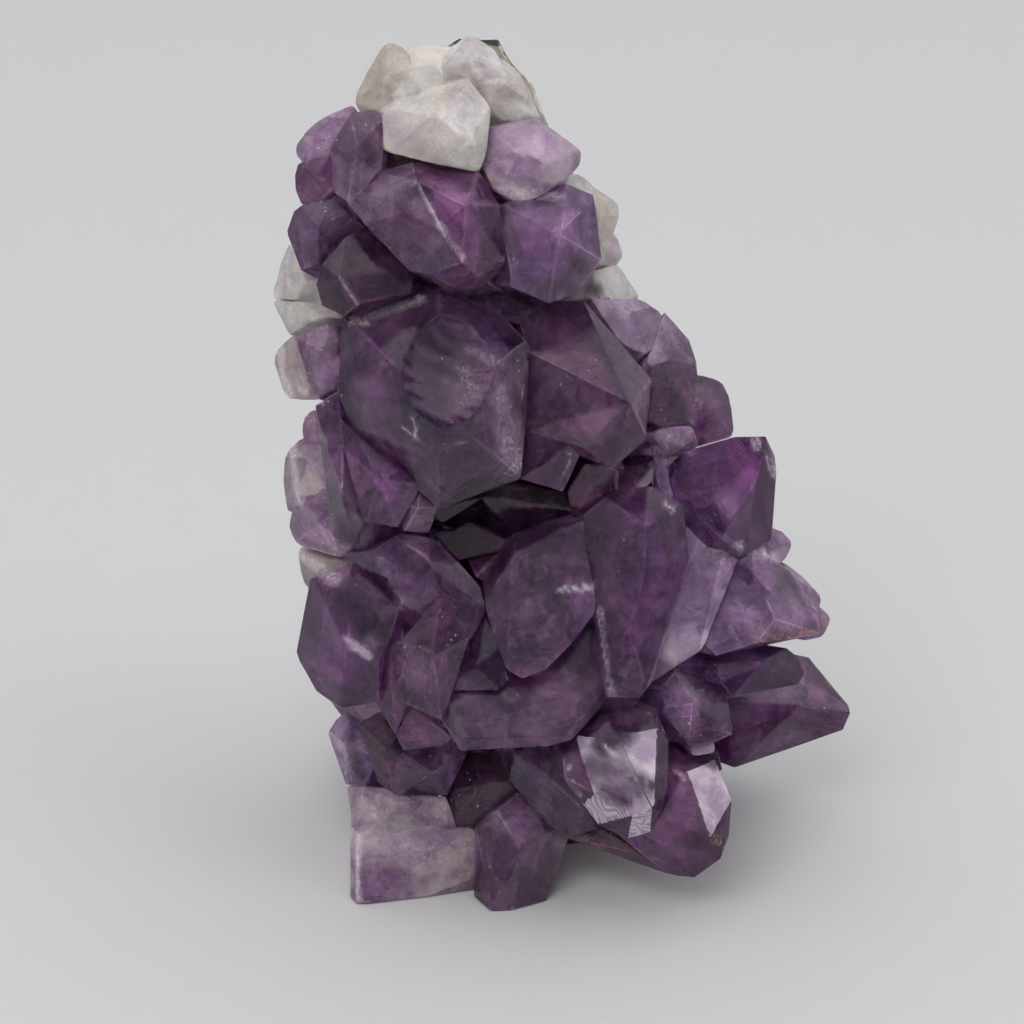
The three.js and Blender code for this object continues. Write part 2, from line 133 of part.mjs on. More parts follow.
  ["t_lil", 126, "p", 0.341, -0.864, 0.37, [[-10.44, -1.13, 109.62], [-6.69, -7.12, 100.27], [-2.79, 8.71, 99.43], [-8.38, 5.14, 96.44], [-10.72, 4.44, 96.3], [-13.86, 9.35, 104.32], [-10.44, -1.43, 109.5], [-6.13, -7.25, 107.39], [-4.71, -7.21, 107.46], [-14.87, 6.32, 100.43], [-13.42, 4.83, 97.82], [2.64, -2.13, 103.98], [-3.65, 0.1, 110.4], [-3.44, -0.05, 110.35], [-2.7, 9.8, 100.93], [-8.28, 11.03, 104.66], [2.86, -1.09, 105.83], [2.51, -1.29, 106.31], [-6.26, -7.26, 107.3], [-9.12, -7.22, 101.9], [-9.78, -6.92, 102.16], [-11.33, -5.7, 105.46], [-2.61, -7.12, 106.31], [-2.11, -6.89, 106.14], [0.17, -5.57, 102.87], [-3.86, -7.04, 100.67], [-3.72, -6.98, 100.67]]],
  ["t_left", 127, "w", -0.241, -0.442, 0.864, [[-24.7, 4.91, 120.33], [-21.97, 4.32, 119.33], [-18.87, 7.36, 105.68], [-20.57, 5.19, 102.63], [-22.21, 4.85, 101.31], [-25.43, 8.03, 102.31], [-19.39, 9.64, 107.7], [-19.29, 9.37, 107.29], [-29.63, 1.81, 112.66], [-25.8, 7.65, 101.73], [-25.02, 6.35, 101.01], [-26.66, 4.73, 118.04], [-24.72, 4.93, 120.32], [-23.35, 10.01, 106.58], [-21.59, 10.39, 108.01], [-25.33, -1.39, 111.97], [-28.61, 0.41, 111.56], [-29.47, 1.43, 112.57], [-25.83, -1.27, 112.12], [-24.73, -0.03, 116.74], [-21.39, 1.6, 117.03], [-21.46, 1.75, 117.35], [-24.65, -0.13, 116.64], [-24.63, -0.22, 116.48], [-23.48, -1.16, 113.83]]],
  ["t_fac", 128, "w", 0.062, -0.343, 0.937, [[-24.32, -1.04, 114.08], [-22.47, -1.98, 114.12], [-17.71, 2.47, 117.72], [-16.42, -0.2, 115.84], [-22.11, -1.92, 114.32], [-22.81, 2.01, 117.15], [-22.89, 1.82, 117.01], [-17.86, 4.3, 103.73], [-23.02, 2.87, 102.03], [-24.59, 3.59, 102.21], [-23.3, 6.2, 104.8], [-24.49, 3.8, 102.35], [-18.97, 6.63, 105.15], [-18.79, 6.26, 104.77]]],
  ["t_l2", 129, "p", -0.504, -0.247, 0.827, [[-29.8, 1.16, 110.58], [-32.86, -2.07, 106.32], [-30.36, 0.62, 110.11], [-23.83, 4.43, 99.28], [-26.47, 1.66, 95.74], [-29.49, 2.58, 93.81], [-36.35, -0.95, 103.95], [-33.93, -1.81, 105.8], [-38, 1.04, 104.45], [-38.02, 2.16, 105.83], [-37.44, 2.29, 106.7], [-23.74, 6.11, 100.21], [-29.62, 3.19, 111.52], [-34.58, 3.07, 109.23], [-34.19, 3.07, 109.49], [-30.71, 4.36, 93.97], [-30.52, 4.24, 93.84], [-30.92, 5.22, 95.43], [-27.95, 6.02, 98.2]]],
  ["u_l1", 130, "a", -0.72, -0.472, 0.509, [[-32.34, -4.21, 101.13], [-32.5, -1.39, 105.82], [-38, -0.94, 99.88], [-37.19, -2.46, 98.41], [-38.09, -0.09, 101.88], [-34.91, -3.39, 98.68], [-32.62, -4.29, 101.13], [-32.74, -1.41, 105.9], [-34.78, -3.38, 103.54], [-34.81, -3.37, 103.53], [-34.35, -0.22, 105.51], [-37.58, -0.03, 103.57], [-37.61, -0.04, 103.54], [-29.3, 4.39, 94.31], [-24.66, 3.99, 99.38], [-24.33, 1.73, 95.26], [-26.72, 2.27, 93.32], [-26.31, 4.94, 99.18], [-28.46, 3.2, 92.97], [-28.59, 5.38, 97.19], [-29.26, 5.18, 95.93]]],
  ["u_rnd", 131, "a", -0.166, -0.432, 0.886, [[-29.95, 3.1, 94.89], [-23.84, 0.23, 93.39], [-24.87, -1.28, 111.75], [-29.58, -0.51, 111.67], [-23.41, 3.82, 99.76], [-27.26, 4.7, 99.13], [-24.92, -1.61, 111.54], [-25.5, -5.94, 105.24], [-29.69, 0.61, 90.78], [-27.67, -0.88, 89.35], [-32.26, -5.01, 101.16], [-29.92, -0.78, 111.45], [-32.82, -2.56, 107.08], [-32.83, -3.03, 106.69], [-28.88, -5.92, 108.32], [-29.04, -6.32, 107.84], [-25.58, -5.99, 105.23], [-28.97, -6.45, 107.57], [-29.99, -7.01, 99.93], [-30.31, -7.03, 100.46]]],
  ["l_a", 132, "a", -0.663, -0.421, 0.619, [[-28.33, -1.63, 82.96], [-25.73, -3.38, 84.6], [-39.22, -3.13, 94.5], [-38.23, -2.32, 97.21], [-29.22, 2.59, 89], [-39.05, -3.89, 93.91], [-37.24, -7.3, 90.11], [-28.33, -1.56, 82.99], [-29.93, 1.98, 86.63], [-29.65, 2.18, 87.11], [-21.94, -0.53, 88.98], [-37.03, -3.02, 98.49], [-32.22, -3.87, 100.21], [-34.94, -7.08, 97.28], [-34.5, -7.59, 97.22], [-34.46, -7.66, 97.16], [-34.31, -9.4, 92.08], [-34.61, -9.4, 92.12], [-21.87, -0.48, 89.1], [-22, -0.32, 89.23], [-24.14, 1.29, 91.53], [-32.17, -3.87, 100.2], [-32.84, -8.25, 95.15], [-34.12, -7.64, 97.14], [-29.73, -5.94, 97.59], [-30.53, -5.76, 98.45]]],
  ["l_gry", 133, "p", -0.621, -0.624, 0.475, [[-38.16, -7.63, 80.15], [-38.12, -7.94, 79.84], [-36.08, -11.42, 73.98], [-34.8, -12.82, 72.42], [-35.02, -12.76, 72.65], [-34.07, -11.82, 79.31], [-31.33, -12.92, 74.95], [-23.66, -3.13, 73.07], [-29.63, -0.06, 73.68], [-23.81, -4.56, 69.25], [-25.01, -1.36, 75.94], [-26.5, -4.2, 66.92], [-27.67, -3.1, 68.31], [-34.11, -11.72, 79.53], [-34.07, -11.78, 79.42], [-33.03, -9.45, 83.07], [-31.3, -11.4, 79.57]]],
  ["l_wht", 134, "w", -0.863, -0.485, 0.143, [[-29.82, 1.18, 73.21], [-28.39, -1.5, 69.39], [-39.68, -7.83, 70.59], [-39.52, -8.08, 70.64], [-39.73, -7.68, 75.33], [-41.55, -4.79, 75.1], [-41.5, -4.87, 75.6], [-25.72, -3.7, 69.94], [-36.63, -10.49, 71.25], [-39.41, -7.94, 75.56], [-36, -10.86, 73.91], [-36.05, -10.86, 73.8], [-37.46, -8.33, 77.96], [-37.71, -8.07, 78.19], [-26.32, -1.81, 75.62], [-25.27, -4.07, 72.21], [-25.58, -3.71, 70.27], [-28.96, 1.17, 75.29], [-40.41, -4.73, 77.54], [-38.52, -5.62, 79.62], [-27.49, 0.46, 76.94], [-27.44, 0.37, 77.08]]],
  ["l_str", 135, "a", -0.754, -0.526, 0.392, [[-35.15, -14.07, 72.2], [-31.89, -14.34, 74.5], [-21.47, -5.57, 63.92], [-35.15, -14.11, 72.11], [-31.17, -18.63, 67.58], [-31.19, -22.2, 61.29], [-30.94, -22.74, 60.03], [-15.59, -11.9, 51.53], [-28.75, -20.58, 61.24], [-28.22, -21.43, 57.29], [-30.26, -22.47, 59.7], [-17.41, -11.56, 47.71], [-17.16, -11.78, 47.59], [-19.64, -10.6, 48.77], [-32.88, -19.93, 54.28], [-32.85, -19.98, 54.27], [-29.97, -21.29, 52.89], [-16.74, -11.91, 54.59], [-15.59, -11.89, 51.56], [-18.6, -6.11, 64.86], [-19.03, -6.01, 66.1], [-18.82, -5.78, 65.77]]],
  ["l_brn", 136, "a", -0.25, -0.968, -0.026, [[-26.95, -3.76, 70.53], [-20.24, -7.72, 57.98], [-17.29, -7.13, 63.31], [-28.17, -21.69, 57.31], [-27, -3.75, 70.57], [-24.09, -7.68, 58.64], [-24.49, -8.22, 58.62], [-27.89, -21.81, 57.24], [-23.34, -21.85, 56.47], [-19.88, -21.16, 62.74], [-19.98, -7.72, 65.62], [-31.54, -16.98, 71.44], [-29.1, -19.21, 69.59], [-22.97, -21.85, 65.38], [-22.91, -21.83, 65.35], [-27.35, -4.11, 70.75], [-27.03, -3.77, 70.6], [-25.98, -23.22, 64.97], [-30.99, -19.11, 67.91], [-29.27, -21.48, 60.7], [-25.75, -23.43, 64.71]]],
  ["l_clr", 137, "p", -0.866, -0.453, 0.211, [[-33.86, -15.74, 59.94], [-39.06, -12.03, 54.83], [-40.44, -8.53, 58.15], [-39.68, -11.33, 53.98], [-23.15, -9.25, 57.28], [-28.08, -5.51, 52.22], [-28.65, -3.07, 55.78], [-34.43, -12.2, 65.41], [-22.9, -8.29, 59.92], [-33.89, -15.69, 60.17], [-33.61, -14.64, 63.06], [-34.04, -14.15, 63.72], [-36.57, -13.42, 62.31], [-36.59, -13.17, 62.88], [-36.83, -12.65, 63.24], [-40.07, -7.99, 61.3], [-39.84, -7.79, 62.02], [-37.37, -9.78, 65.28], [-37.01, -10.4, 65.39], [-25.99, -4.11, 61.78], [-23.73, -6.29, 61.97], [-23.66, -6.4, 61.84], [-28.25, -2.5, 59.06], [-28.44, -2.85, 56.77]]],
  ["l_sm", 138, "p", -0.754, -0.526, 0.392, [[-27.98, -8.12, 62.59], [-34.31, -13.13, 65.85], [-30.42, -4.87, 64.73], [-29.14, -5.58, 66.11], [-37.18, -9.3, 68.38], [-35.68, -10.13, 70], [-30.71, -5.24, 63.06], [-30.25, -6.23, 61.72], [-37.53, -9.74, 66.4], [-36.99, -10.9, 64.83]]],
  ["l_lil", 139, "p", -0.819, -0.508, 0.268, [[-23.56, -8.6, 55.45], [-26.55, -6.39, 53.47], [-38.17, -12.6, 57.03], [-37.68, -12.73, 57.6], [-35.18, -16.84, 55.64], [-31.86, -17.93, 49.85], [-39.23, -11.45, 54.14], [-39.65, -11.15, 51.44], [-28, -5.38, 50.57], [-28.39, -5.15, 48.29], [-27.08, -6.74, 46.58], [-28.19, -5.31, 48.07], [-21.73, -10.89, 46.94], [-20.42, -11.17, 49.08], [-20.24, -11.55, 48.47], [-35.07, -17.04, 55.28], [-31.88, -17.92, 49.86], [-38.57, -12.8, 49.83], [-38.13, -13.03, 49.43], [-32.62, -18.42, 53.58], [-32.64, -18.42, 53.6], [-33.94, -15.19, 59.84], [-30.07, -18.69, 51.65]]],
  ["l_bt", 140, "w", -0.865, -0.44, 0.239, [[-30.16, -17.1, 48.18], [-34.82, -15.53, 47.49], [-38.39, -10.94, 48.44], [-38.52, -11.05, 48.26], [-31.94, -15.99, 49.24], [-31.89, -16.09, 49.2], [-31.23, -17.8, 44.67], [-31.24, -17.81, 44.84], [-34.77, -15.62, 47.3], [-36.18, -14.17, 42.89], [-36.57, -13.91, 42.95], [-38.25, -11.64, 45.55], [-37.45, -12.84, 43.05], [-27.66, -6.31, 45.29], [-20.99, -11.7, 45.16], [-21.52, -12.07, 42.07], [-25.78, -9.03, 40.58], [-22.16, -10.56, 45.95], [-27.02, -7.99, 40.76], [-27.65, -6.94, 42.86]]],
  ["c_gr", 141, "a", 0, -0.996, 0.087, [[-19.04, -20.3, 54.93], [-22.29, -10.6, 55], [-22.26, -10.48, 58.38], [-17.87, -11.34, 58.68], [-19.23, -10.35, 54.55], [-20.19, -10.33, 60.45], [-20.33, -10.25, 60.29], [-20.52, -21.92, 59.66], [-22.66, -20.73, 55.47], [-22.51, -20.83, 55.45], [-22.63, -20.47, 59.44], [-20.45, -21.93, 59.71], [-17.46, -21.62, 59.77], [-17.45, -21.6, 59.8], [-20.19, -20.29, 61.87]]],
  ["m_a", 142, "a", -0.25, -0.602, 0.758, [[-31.57, -17.57, 50.64], [-27.9, -10.95, 41.82], [-21.03, -13.03, 45.35], [-26.17, -12.49, 40.96], [-23.41, -19.86, 54.59], [-24.99, -22.26, 48.76], [-21.2, -14.96, 41.84], [-22.38, -15.09, 40.41], [-23.68, -22.32, 50.69], [-25.6, -22.11, 49.09], [-27.04, -21.44, 52.54], [-26.91, -21.52, 52.4], [-31.35, -18, 50.7], [-29.47, -19.26, 49.48]]],
  ["m_b", 143, "a", 0.25, -0.602, 0.758, [[-25.8, -15.14, 34.88], [-22, -11.68, 42.02], [-22.83, -24.3, 45.77], [-17.42, -16.84, 30.67], [-13.11, -25.88, 40.33], [-27.39, -13.79, 37.87], [-26.23, -11.51, 42.67], [-24.87, -22.17, 48.64], [-18.81, -23.97, 52.3], [-23.41, -19.8, 54.72], [-23.46, -20.26, 54.51], [-18.62, -24.31, 51.8], [-22.85, -24.3, 45.85], [-23.23, -24.02, 46.7], [-11.62, -22.31, 47.43], [-16.08, -13.93, 36.79], [-15.58, -15.3, 33.83], [-12.9, -25.95, 40.73], [-18.2, -24.54, 51.19], [-17.56, -25.51, 47.21], [-10.91, -24.05, 45.07], [-10.85, -24.26, 44.28], [-14.42, -21.6, 50.67], [-18.4, -19.88, 53.76], [-19.26, -20.05, 54.2]]],
  ["f_m1", 144, "a", -0.1, -0.504, 0.858, [[-17.01, -30.14, 29.81], [-22.85, -27.19, 41.47], [-20.37, -18.45, 26.05], [-15.9, -17.5, 31.44], [-12.26, -18.95, 26.56], [-15.59, -17.5, 31.96], [-17.17, -25.98, 48.34], [-13.27, -27.73, 42.06], [-15.42, -20.92, 16.08], [-12.46, -19.02, 25.76], [-19.31, -18.4, 19.15], [-20.1, -18.58, 17.61], [-17.28, -30.26, 30.23], [-22.45, -27.06, 31.12], [-22.89, -27.43, 41.09], [-13.28, -27.73, 42.09], [-17.09, -26.07, 48.28], [-18.2, -30.34, 40.47], [-18.52, -30.17, 41.04]]],
  ["f_b2", 145, "a", -0.639, -0.723, 0.263, [[-36.42, -16, 45.56], [-24.68, -25.27, 40.06], [-23.93, -7.76, 26.23], [-38.63, -16.65, 34.07], [-14.73, -12.57, 34.35], [-13.36, -9.6, 38.04], [-13.3, -9.34, 38.7], [-23.31, -22.22, 44.09], [-26.22, -26.86, 38.02], [-36.12, -16.3, 45.89], [-20.48, -10.51, 25.33], [-15.89, -12.66, 27.45], [-16, -13.25, 27.69], [-31.65, -23.47, 28.23], [-26.35, -26.1, 30.74], [-13.71, -8.92, 39.03], [-18.99, -5.74, 43.03], [-24.25, -3.92, 39.95], [-26.41, -4.75, 30.31], [-25.52, -5.39, 29.11], [-32.42, -23.14, 28.43], [-35.62, -20.06, 29.27], [-38.09, -17.74, 32.92], [-36.04, -16.42, 45.86], [-31.54, -24.2, 40.47], [-30.41, -25.21, 40.56], [-30.6, -25.11, 40.43], [-24.87, -21.45, 45.25], [-30.79, -21.81, 45.18], [-31.11, -21.02, 45.93], [-29.64, -17.64, 48.96], [-30.37, -17.79, 48.85]]],
  ["f_m2", 146, "a", 0, -0.985, -0.174, [[-22.86, -25.45, 40.46], [-24.75, -24.95, 38.9], [-24.57, -25.12, 39.03], [-21.92, -26.74, 31.06], [-21.43, -26.69, 37.86], [-21.56, -26.71, 38.1], [-23.85, -26.95, 25.69], [-26.15, -12.64, 32.84], [-24.59, -12.25, 40.41], [-23.82, -13.86, 29.22], [-22.19, -13.88, 33.73], [-23.87, -26.96, 25.72], [-24.4, -26.94, 33.08], [-24.27, -27.02, 32.99], [-26.58, -25.27, 30.01], [-21.76, -13.83, 39.52], [-22.14, -13.81, 34.4], [-22.98, -12.8, 41.73], [-23.32, -12.56, 41.46]]],
  ["f_m3", 147, "a", 0, -0.996, -0.087, [[-21.19, -13.9, 31.47], [-17.38, -14.43, 33.02], [-22.71, -27.34, 23.45], [-23.19, -14.1, 27.11], [-22.23, -14.54, 25.2], [-22.31, -27.45, 23.56], [-16.9, -28.54, 25.05], [-16.02, -29.38, 26.7], [-15.58, -29.39, 26.65], [-17.56, -15.28, 26.51], [-17.29, -15.49, 26.57], [-16.17, -16.21, 27.92], [-17.31, -14.48, 32.73], [-23.85, -26.97, 25.69], [-23.71, -27.12, 25.4], [-18.85, -28.65, 28.94], [-18.97, -28.61, 28.93], [-17.01, -27.23, 32.65], [-21.49, -26.81, 30.81]]],
  ["f_e1", 148, "a", -0.72, -0.472, 0.509, [[-34.29, -13.46, 18.73], [-17.9, -13.39, 11.46], [-31.62, -18.74, 13.34], [-22.17, -12.31, 7.48], [-20.03, -13.98, 7.8], [-31.37, -19.11, 13.47], [-29.13, -20.75, 13.74], [-34.18, -13.48, 19.45], [-31.14, -18.26, 19.24], [-30.56, -18.62, 19.66], [-30.53, -18.61, 19.72], [-30.54, -18.49, 19.81], [-26.6, -20.03, 18.02], [-29.18, -15.37, 21.85], [-33.08, -13.12, 21.16], [-31.59, -13.47, 22.52], [-31.8, -13.49, 22.47], [-22.14, -7.81, 15.28], [-20.07, -9.41, 14.7], [-19.81, -9.75, 14.35], [-23.44, -7.54, 14.15], [-24.51, -7.85, 12.13], [-23.21, -9.8, 9.83]]],
  ["f_e2", 149, "a", -0.287, -0.532, 0.796, [[-25.74, -11.96, 13.38], [-19.73, -16.15, 11.04], [-22.49, -13.04, 16], [-20.18, -15.22, 13.25], [-23.28, -15.4, 6.81], [-21.35, -16.73, 6.08], [-29.68, -17.67, 23.07], [-26.74, -21.65, 15.23], [-25.8, -18.86, 26], [-23.14, -21.55, 22.97], [-25.46, -22.6, 21.39], [-24.51, -23.28, 14.46], [-22.56, -22.52, 20.19]]],
  ["f_M", 150, "a", 0.25, -0.968, -0.026, [[-16.63, -24.71, 14.59], [-24.3, -23.42, 13.4], [-27.24, -9.46, 14.48], [-28.28, -8.2, 18.41], [-18.83, -26.54, 19.57], [-25.52, -21.93, 18.05], [-16.55, -24.76, 14.68], [-18.64, -26.57, 19.61], [-13.52, -22.34, 20.59], [-20.71, -10.54, 15.5], [-27.01, -9.47, 14.51], [-18.06, -8.58, 20.57], [-18.68, -26.58, 19.63], [-18.77, -26.56, 19.61], [-17, -22.87, 22.19], [-22.99, -22.59, 20.72], [-21.03, -8.99, 21.93], [-26.13, -8.76, 20.69], [-18.33, -8.54, 20.51], [-18.11, -8.55, 20.59]]],
  ["f_ol", 151, "a", 0.1, -0.504, 0.858, [[-8.04, -15.7, 1.66], [-8.66, -13.27, 6.27], [-14.76, -13.69, 6.48], [-17.11, -16.26, 2.07], [-13.69, -20.55, 19.63], [-16.46, -23.6, 14.47], [-5.8, -22.82, 14.06], [-5.81, -22.82, 13.79], [-11.79, -25.32, 16.82], [-11.86, -25.35, 16.73], [-14.01, -17.82, -1.32], [-16.11, -17.92, -1.17], [-11.62, -25.25, 16.84], [-7.65, -23.59, 16.3], [-6.51, -20.04, 19.35], [-11.97, -25.39, 16.41], [-12.06, -25.44, 11.22], [-12.8, -25.45, 10.49], [-15.29, -25.45, 10.49]]],
  ["f_g1", 152, "a", 0.354, -0.9, -0.256, [[-1.8, -13.82, 17.12], [-7.58, -24.48, 17.12], [-6.76, -25.6, 21.97], [-6.81, -25.4, 22.23], [-5.36, -11.49, 27.52], [-5.34, -11.49, 27.45], [-12.11, -10.12, 25.81], [-12.49, -9.41, 21.12], [-12.75, -9.4, 21.4], [-2.47, -27.49, 11.87], [-5.65, -12.56, 15.13], [-5.67, -12.73, 15.01], [-10.87, -10.18, 19.44], [-8.68, -11.7, 17.21], [-2.28, -28.56, 20.23], [3.47, -29.97, 15.16], [1.14, -27.01, 24.24], [5.38, -29.86, 11.96], [-2.27, -28.57, 20.21], [2.72, -29.87, 15.57], [1.1, -28.56, 9.69], [0.75, -28.41, 9.53]]],
  ["f_N0", 153, "p", -0.056, -0.424, 0.904, [[-29.55, -13.14, -0.97], [-16.96, -17.76, 0.14], [-16.73, -24.65, 14.84], [-31.53, -19.21, 13.53], [-30.93, -19.52, 13.79], [-15.17, -25.72, 10.45], [-16.71, -24.69, 14.83], [-23.32, -25.6, 13.66], [-18, -18.43, -4.02], [-15.64, -18.72, -3.46], [-15.76, -18.57, -3.29], [-29.51, -13.17, -1.19], [-30.48, -22.92, 8.69], [-25.02, -18.41, -4.03], [-28.64, -16.23, -5.22], [-28.56, -16.26, -5.23], [-15.25, -25.72, 10.46], [-23.37, -25.64, 13.52], [-26.13, -25.23, 9.55], [-26.59, -25.25, 9.93]]],
  ["f_N", 154, "p", 0.073, -0.997, 0.006, [[-26.21, -30.7, -1.57], [-10.51, -25.85, 2.43], [-25.83, -30.61, -1.57], [-30.89, -21.27, 9.54], [-30.61, -14.56, -0.91], [-30.62, -11.08, 1.91], [-19.35, -10.54, -0.98], [-10.48, -25.83, 1.47], [-12.13, -26.33, -1.67], [-30.9, -23.01, 8.97], [-30.79, -29.67, -1.44], [-30.28, -30.7, -1.49], [-26.97, -24.87, 10.13], [-19.19, -24.3, 10.77], [-28.87, -27.22, 8.51], [-10.78, -24.91, 6.04], [-30.7, -7.7, 8.23], [-13.63, -9.3, 5.57], [-13.37, -10.1, 1.7], [-18.24, -10.34, -0.99], [-14.81, -10.57, -1.06], [-17.72, -24.79, 10.49], [-12.82, -24.52, 9.21], [-12.95, -24.47, 9.4], [-28.79, -27.47, 8.35], [-28.33, -30.71, 0.23], [-29.56, -30.71, 0.72], [-20.59, -9.58, 9.63], [-30.71, -8.03, 8.64], [-30.7, -7.69, 8.29], [-15.52, -8.63, 8.41], [-15.51, -8.61, 8.39]]],
  ["f_O", 155, "a", 0.145, -0.989, 0.023, [[-2.61, -30.28, -1.4], [-7.15, -32.77, -1.23], [1.3, -26.36, 8.88], [-5.11, -12.7, 0.37], [-5.48, -13.73, -0.89], [-13.83, -11.65, 1.87], [-13.78, -13.55, -0.48], [-12.49, -24.48, 10.45], [-13.66, -9.53, 9.47], [-8.55, -8.97, 12.79], [-10.32, -33.05, -1.09], [-10.15, -32.62, 0.69], [-12.64, -28.97, -0.89], [-12.49, -24.91, 9.8], [-6.37, -23.76, 14.42], [-9.2, -25.49, 12.6], [-5.47, -9.33, 12.28], [-4.73, -9.95, 12.23], [-2.31, -10.97, 7.26], [-1.93, -11.43, 7.92], [-1.83, -24.8, 13.74], [-2.57, -24.89, 13.89], [0.21, -26.61, 10.94], [-5.89, -30.39, 8.66], [-6.03, -30.39, 8.71], [-6.06, -30.28, 8.85]]],
  ["l_b", 156, "w", -0.893, -0.317, 0.321, [[-27.64, 4.12, 86.54], [-40.5, 0.62, 88.24], [-39.23, 0.4, 91.29], [-25.62, -1.45, 83.91], [-26.23, 0.57, 86.16], [-37.79, -3.86, 90.94], [-26.13, -0.76, 81.6], [-26.51, -0.63, 80.95], [-29.68, 2.86, 79.64], [-28.76, 4.29, 83.96], [-27.72, 4.18, 86.06], [-36.72, -6.1, 88.15], [-37.78, -4.24, 90.6], [-38.03, -5.24, 84.76], [-41.66, -0.96, 83.71], [-41.66, -1.09, 83.19]]],
  ["l_c", 157, "w", -0.906, -0.383, 0.179, [[-39.12, -5.04, 79.07], [-41.85, -0.44, 82.78], [-29.57, 3.83, 80.41], [-25.76, -1.66, 82.38], [-29.41, 3.76, 80.31], [-27.07, -0.19, 77.12], [-22.65, -3.65, 81.14], [-37.36, -6.9, 85.1], [-39.02, -5.2, 79.22], [-41.74, -0.63, 82.85], [-38.84, -5.51, 83.58], [-37.4, -6.86, 85.09], [-33.97, -9.09, 83.75], [-36.26, -7.81, 82.13], [-37.31, -6.95, 85.08]]],
  ["u_pr1", 158, "w", 0.77, -0.401, 0.496, [[8.37, 6.46, 94.86], [-4.25, 5.27, 92.22], [-4.45, 8.43, 92.37], [4.29, 0.08, 98.46], [-3.45, 5.31, 83.62], [-3.43, 5.3, 83.56], [-1.24, 8.99, 86.51], [-0.92, 10.65, 89.09], [-4.44, 8.71, 92.05], [-2.11, 10.23, 90.56], [5.29, -0.34, 95.86], [5.36, 0.05, 88.31], [8.51, 5.4, 93.64], [7.98, 4.54, 91.86], [4.15, 3.86, 98.71], [4.33, 0.22, 98.5], [6.75, 6.05, 96.48], [8.15, 6.33, 95.26]]],
  ["u_pr2", 159, "w", 0.853, -0.39, 0.348, [[-4.41, 4.88, 86.81], [-2.25, 8.76, 87], [-1.05, 8.22, 84.04], [-1.83, 6.9, 83.5], [-1.35, 8.76, 85.29], [-2.18, 8.79, 86.71], [-4, 4.59, 83.91], [-4.04, 4.62, 84.01], [8.74, 4.59, 89.33], [9.05, 3.96, 87.84], [7.65, 4.6, 91.33], [8.06, 4.53, 90.93], [5.11, 0.03, 91.1], [8.39, 2.3, 87.3], [8.5, 2.41, 87.37], [5.51, -0.26, 87.66], [5.29, -0.07, 90.89], [6.68, 1.12, 90.31]]],
  ["u_pr3", 160, "w", 0.754, -0.526, 0.392, [[0.3, 8.07, 80.9], [6.56, -3.36, 83.67], [9.88, 2.15, 85.03], [11.53, 0.63, 82.48], [11.15, 0.14, 82.66], [3.51, -4.26, 84.64], [6.4, -3.43, 83.68], [2.21, 6.38, 78.42], [0.86, 7.46, 79.45], [-2.18, 3.14, 79.34], [-4.57, 2.39, 80.2], [8.15, 2.75, 87.22], [5.91, -0.94, 87.86], [5.25, -1.49, 87.85], [5.4, -1.41, 87.87], [-0.56, 8.32, 82.3], [-0.58, 8.31, 82.41], [-4.56, 2.44, 80.23], [-3.1, 4.75, 82.91]]],
  ["r_l1", 161, "p", 0.492, -0.335, 0.803, [[8.69, 3.4, 71.04], [3.21, -2.99, 69.81], [-0.76, -0.28, 74.66], [5.56, 3.4, 73.2], [11.34, 0.03, 82.85], [8.03, -0.4, 68.53], [5.96, -2.63, 68.21], [12.01, -7.13, 77.16], [8.6, -7.44, 78.82], [4.04, -4.33, 84.73], [4.6, -4.06, 84.68], [14.35, -4.43, 77.4], [12.33, -6.86, 77.27], [9.62, -3.74, 82.11], [15.08, 0.02, 80.28], [13.42, -0.04, 81.69]]],
  ["r_l2", 162, "a", 0.492, -0.335, 0.803, [[15.02, 0.27, 80.72], [19.73, -2.89, 73.91], [18.64, -0.54, 76.64], [12.79, 1.29, 63.66], [11.87, 3.35, 66.17], [13.51, -4.98, 78.41], [16.51, -6.79, 74.23], [12.24, -7.39, 76.32], [13.54, -9.09, 73.39], [8.81, 4.06, 69.44], [9.37, 3.96, 68.59], [6.51, -2.54, 65.8], [7.66, -3.65, 63.06], [7.48, -3.87, 63.08]]],
  ["r_l3", 163, "a", 0.707, -0.641, 0.299, [[19.1, -8.33, 66.54], [7.16, 2.08, 62.44], [18.93, -8.55, 66.6], [13.04, -10.32, 73.14], [15.88, -5.72, 75.92], [4.25, 0.44, 62.75], [12.28, -11.13, 68.56], [15.36, -10.03, 66.81], [1.6, -0.46, 64.22], [1.56, -0.36, 64.16], [4.5, 4.27, 70.41], [1.57, 0.12, 64.93], [7.93, 6.33, 68.47], [8, 6.46, 68.7], [16.08, -5.65, 75.86], [16.6, -8.95, 71.96], [16.28, -9.05, 72.28], [19.8, -3.67, 72.93], [19.74, -2.89, 73.77], [2.18, 0.44, 68.48], [12.91, -10.02, 73.54], [12.85, -7.98, 75.65], [2.03, 2.26, 70.23], [1.99, 2.16, 70.05]]],
  ["r_l4", 164, "p", 0.574, -0.742, 0.346, [[8.67, -1.02, 58.57], [15.31, -10.12, 67.17], [6.83, -1.17, 61.65], [15.1, -9.65, 62.23], [15.58, -9.68, 62.22], [12.94, -9.82, 65.86], [15.25, -10.14, 67.14], [18.87, -8.46, 66.75], [15.57, -10.05, 67.16], [11.86, -0.01, 62.41], [11.85, 0.01, 62.39], [8.86, -1.47, 62.78], [6.91, -1.15, 61.69], [12.9, 0.01, 59.58], [10.78, -0.57, 58.22], [17.59, -9.11, 61.82], [20.08, -8.42, 63.41], [19.73, -8.64, 63.18]]],
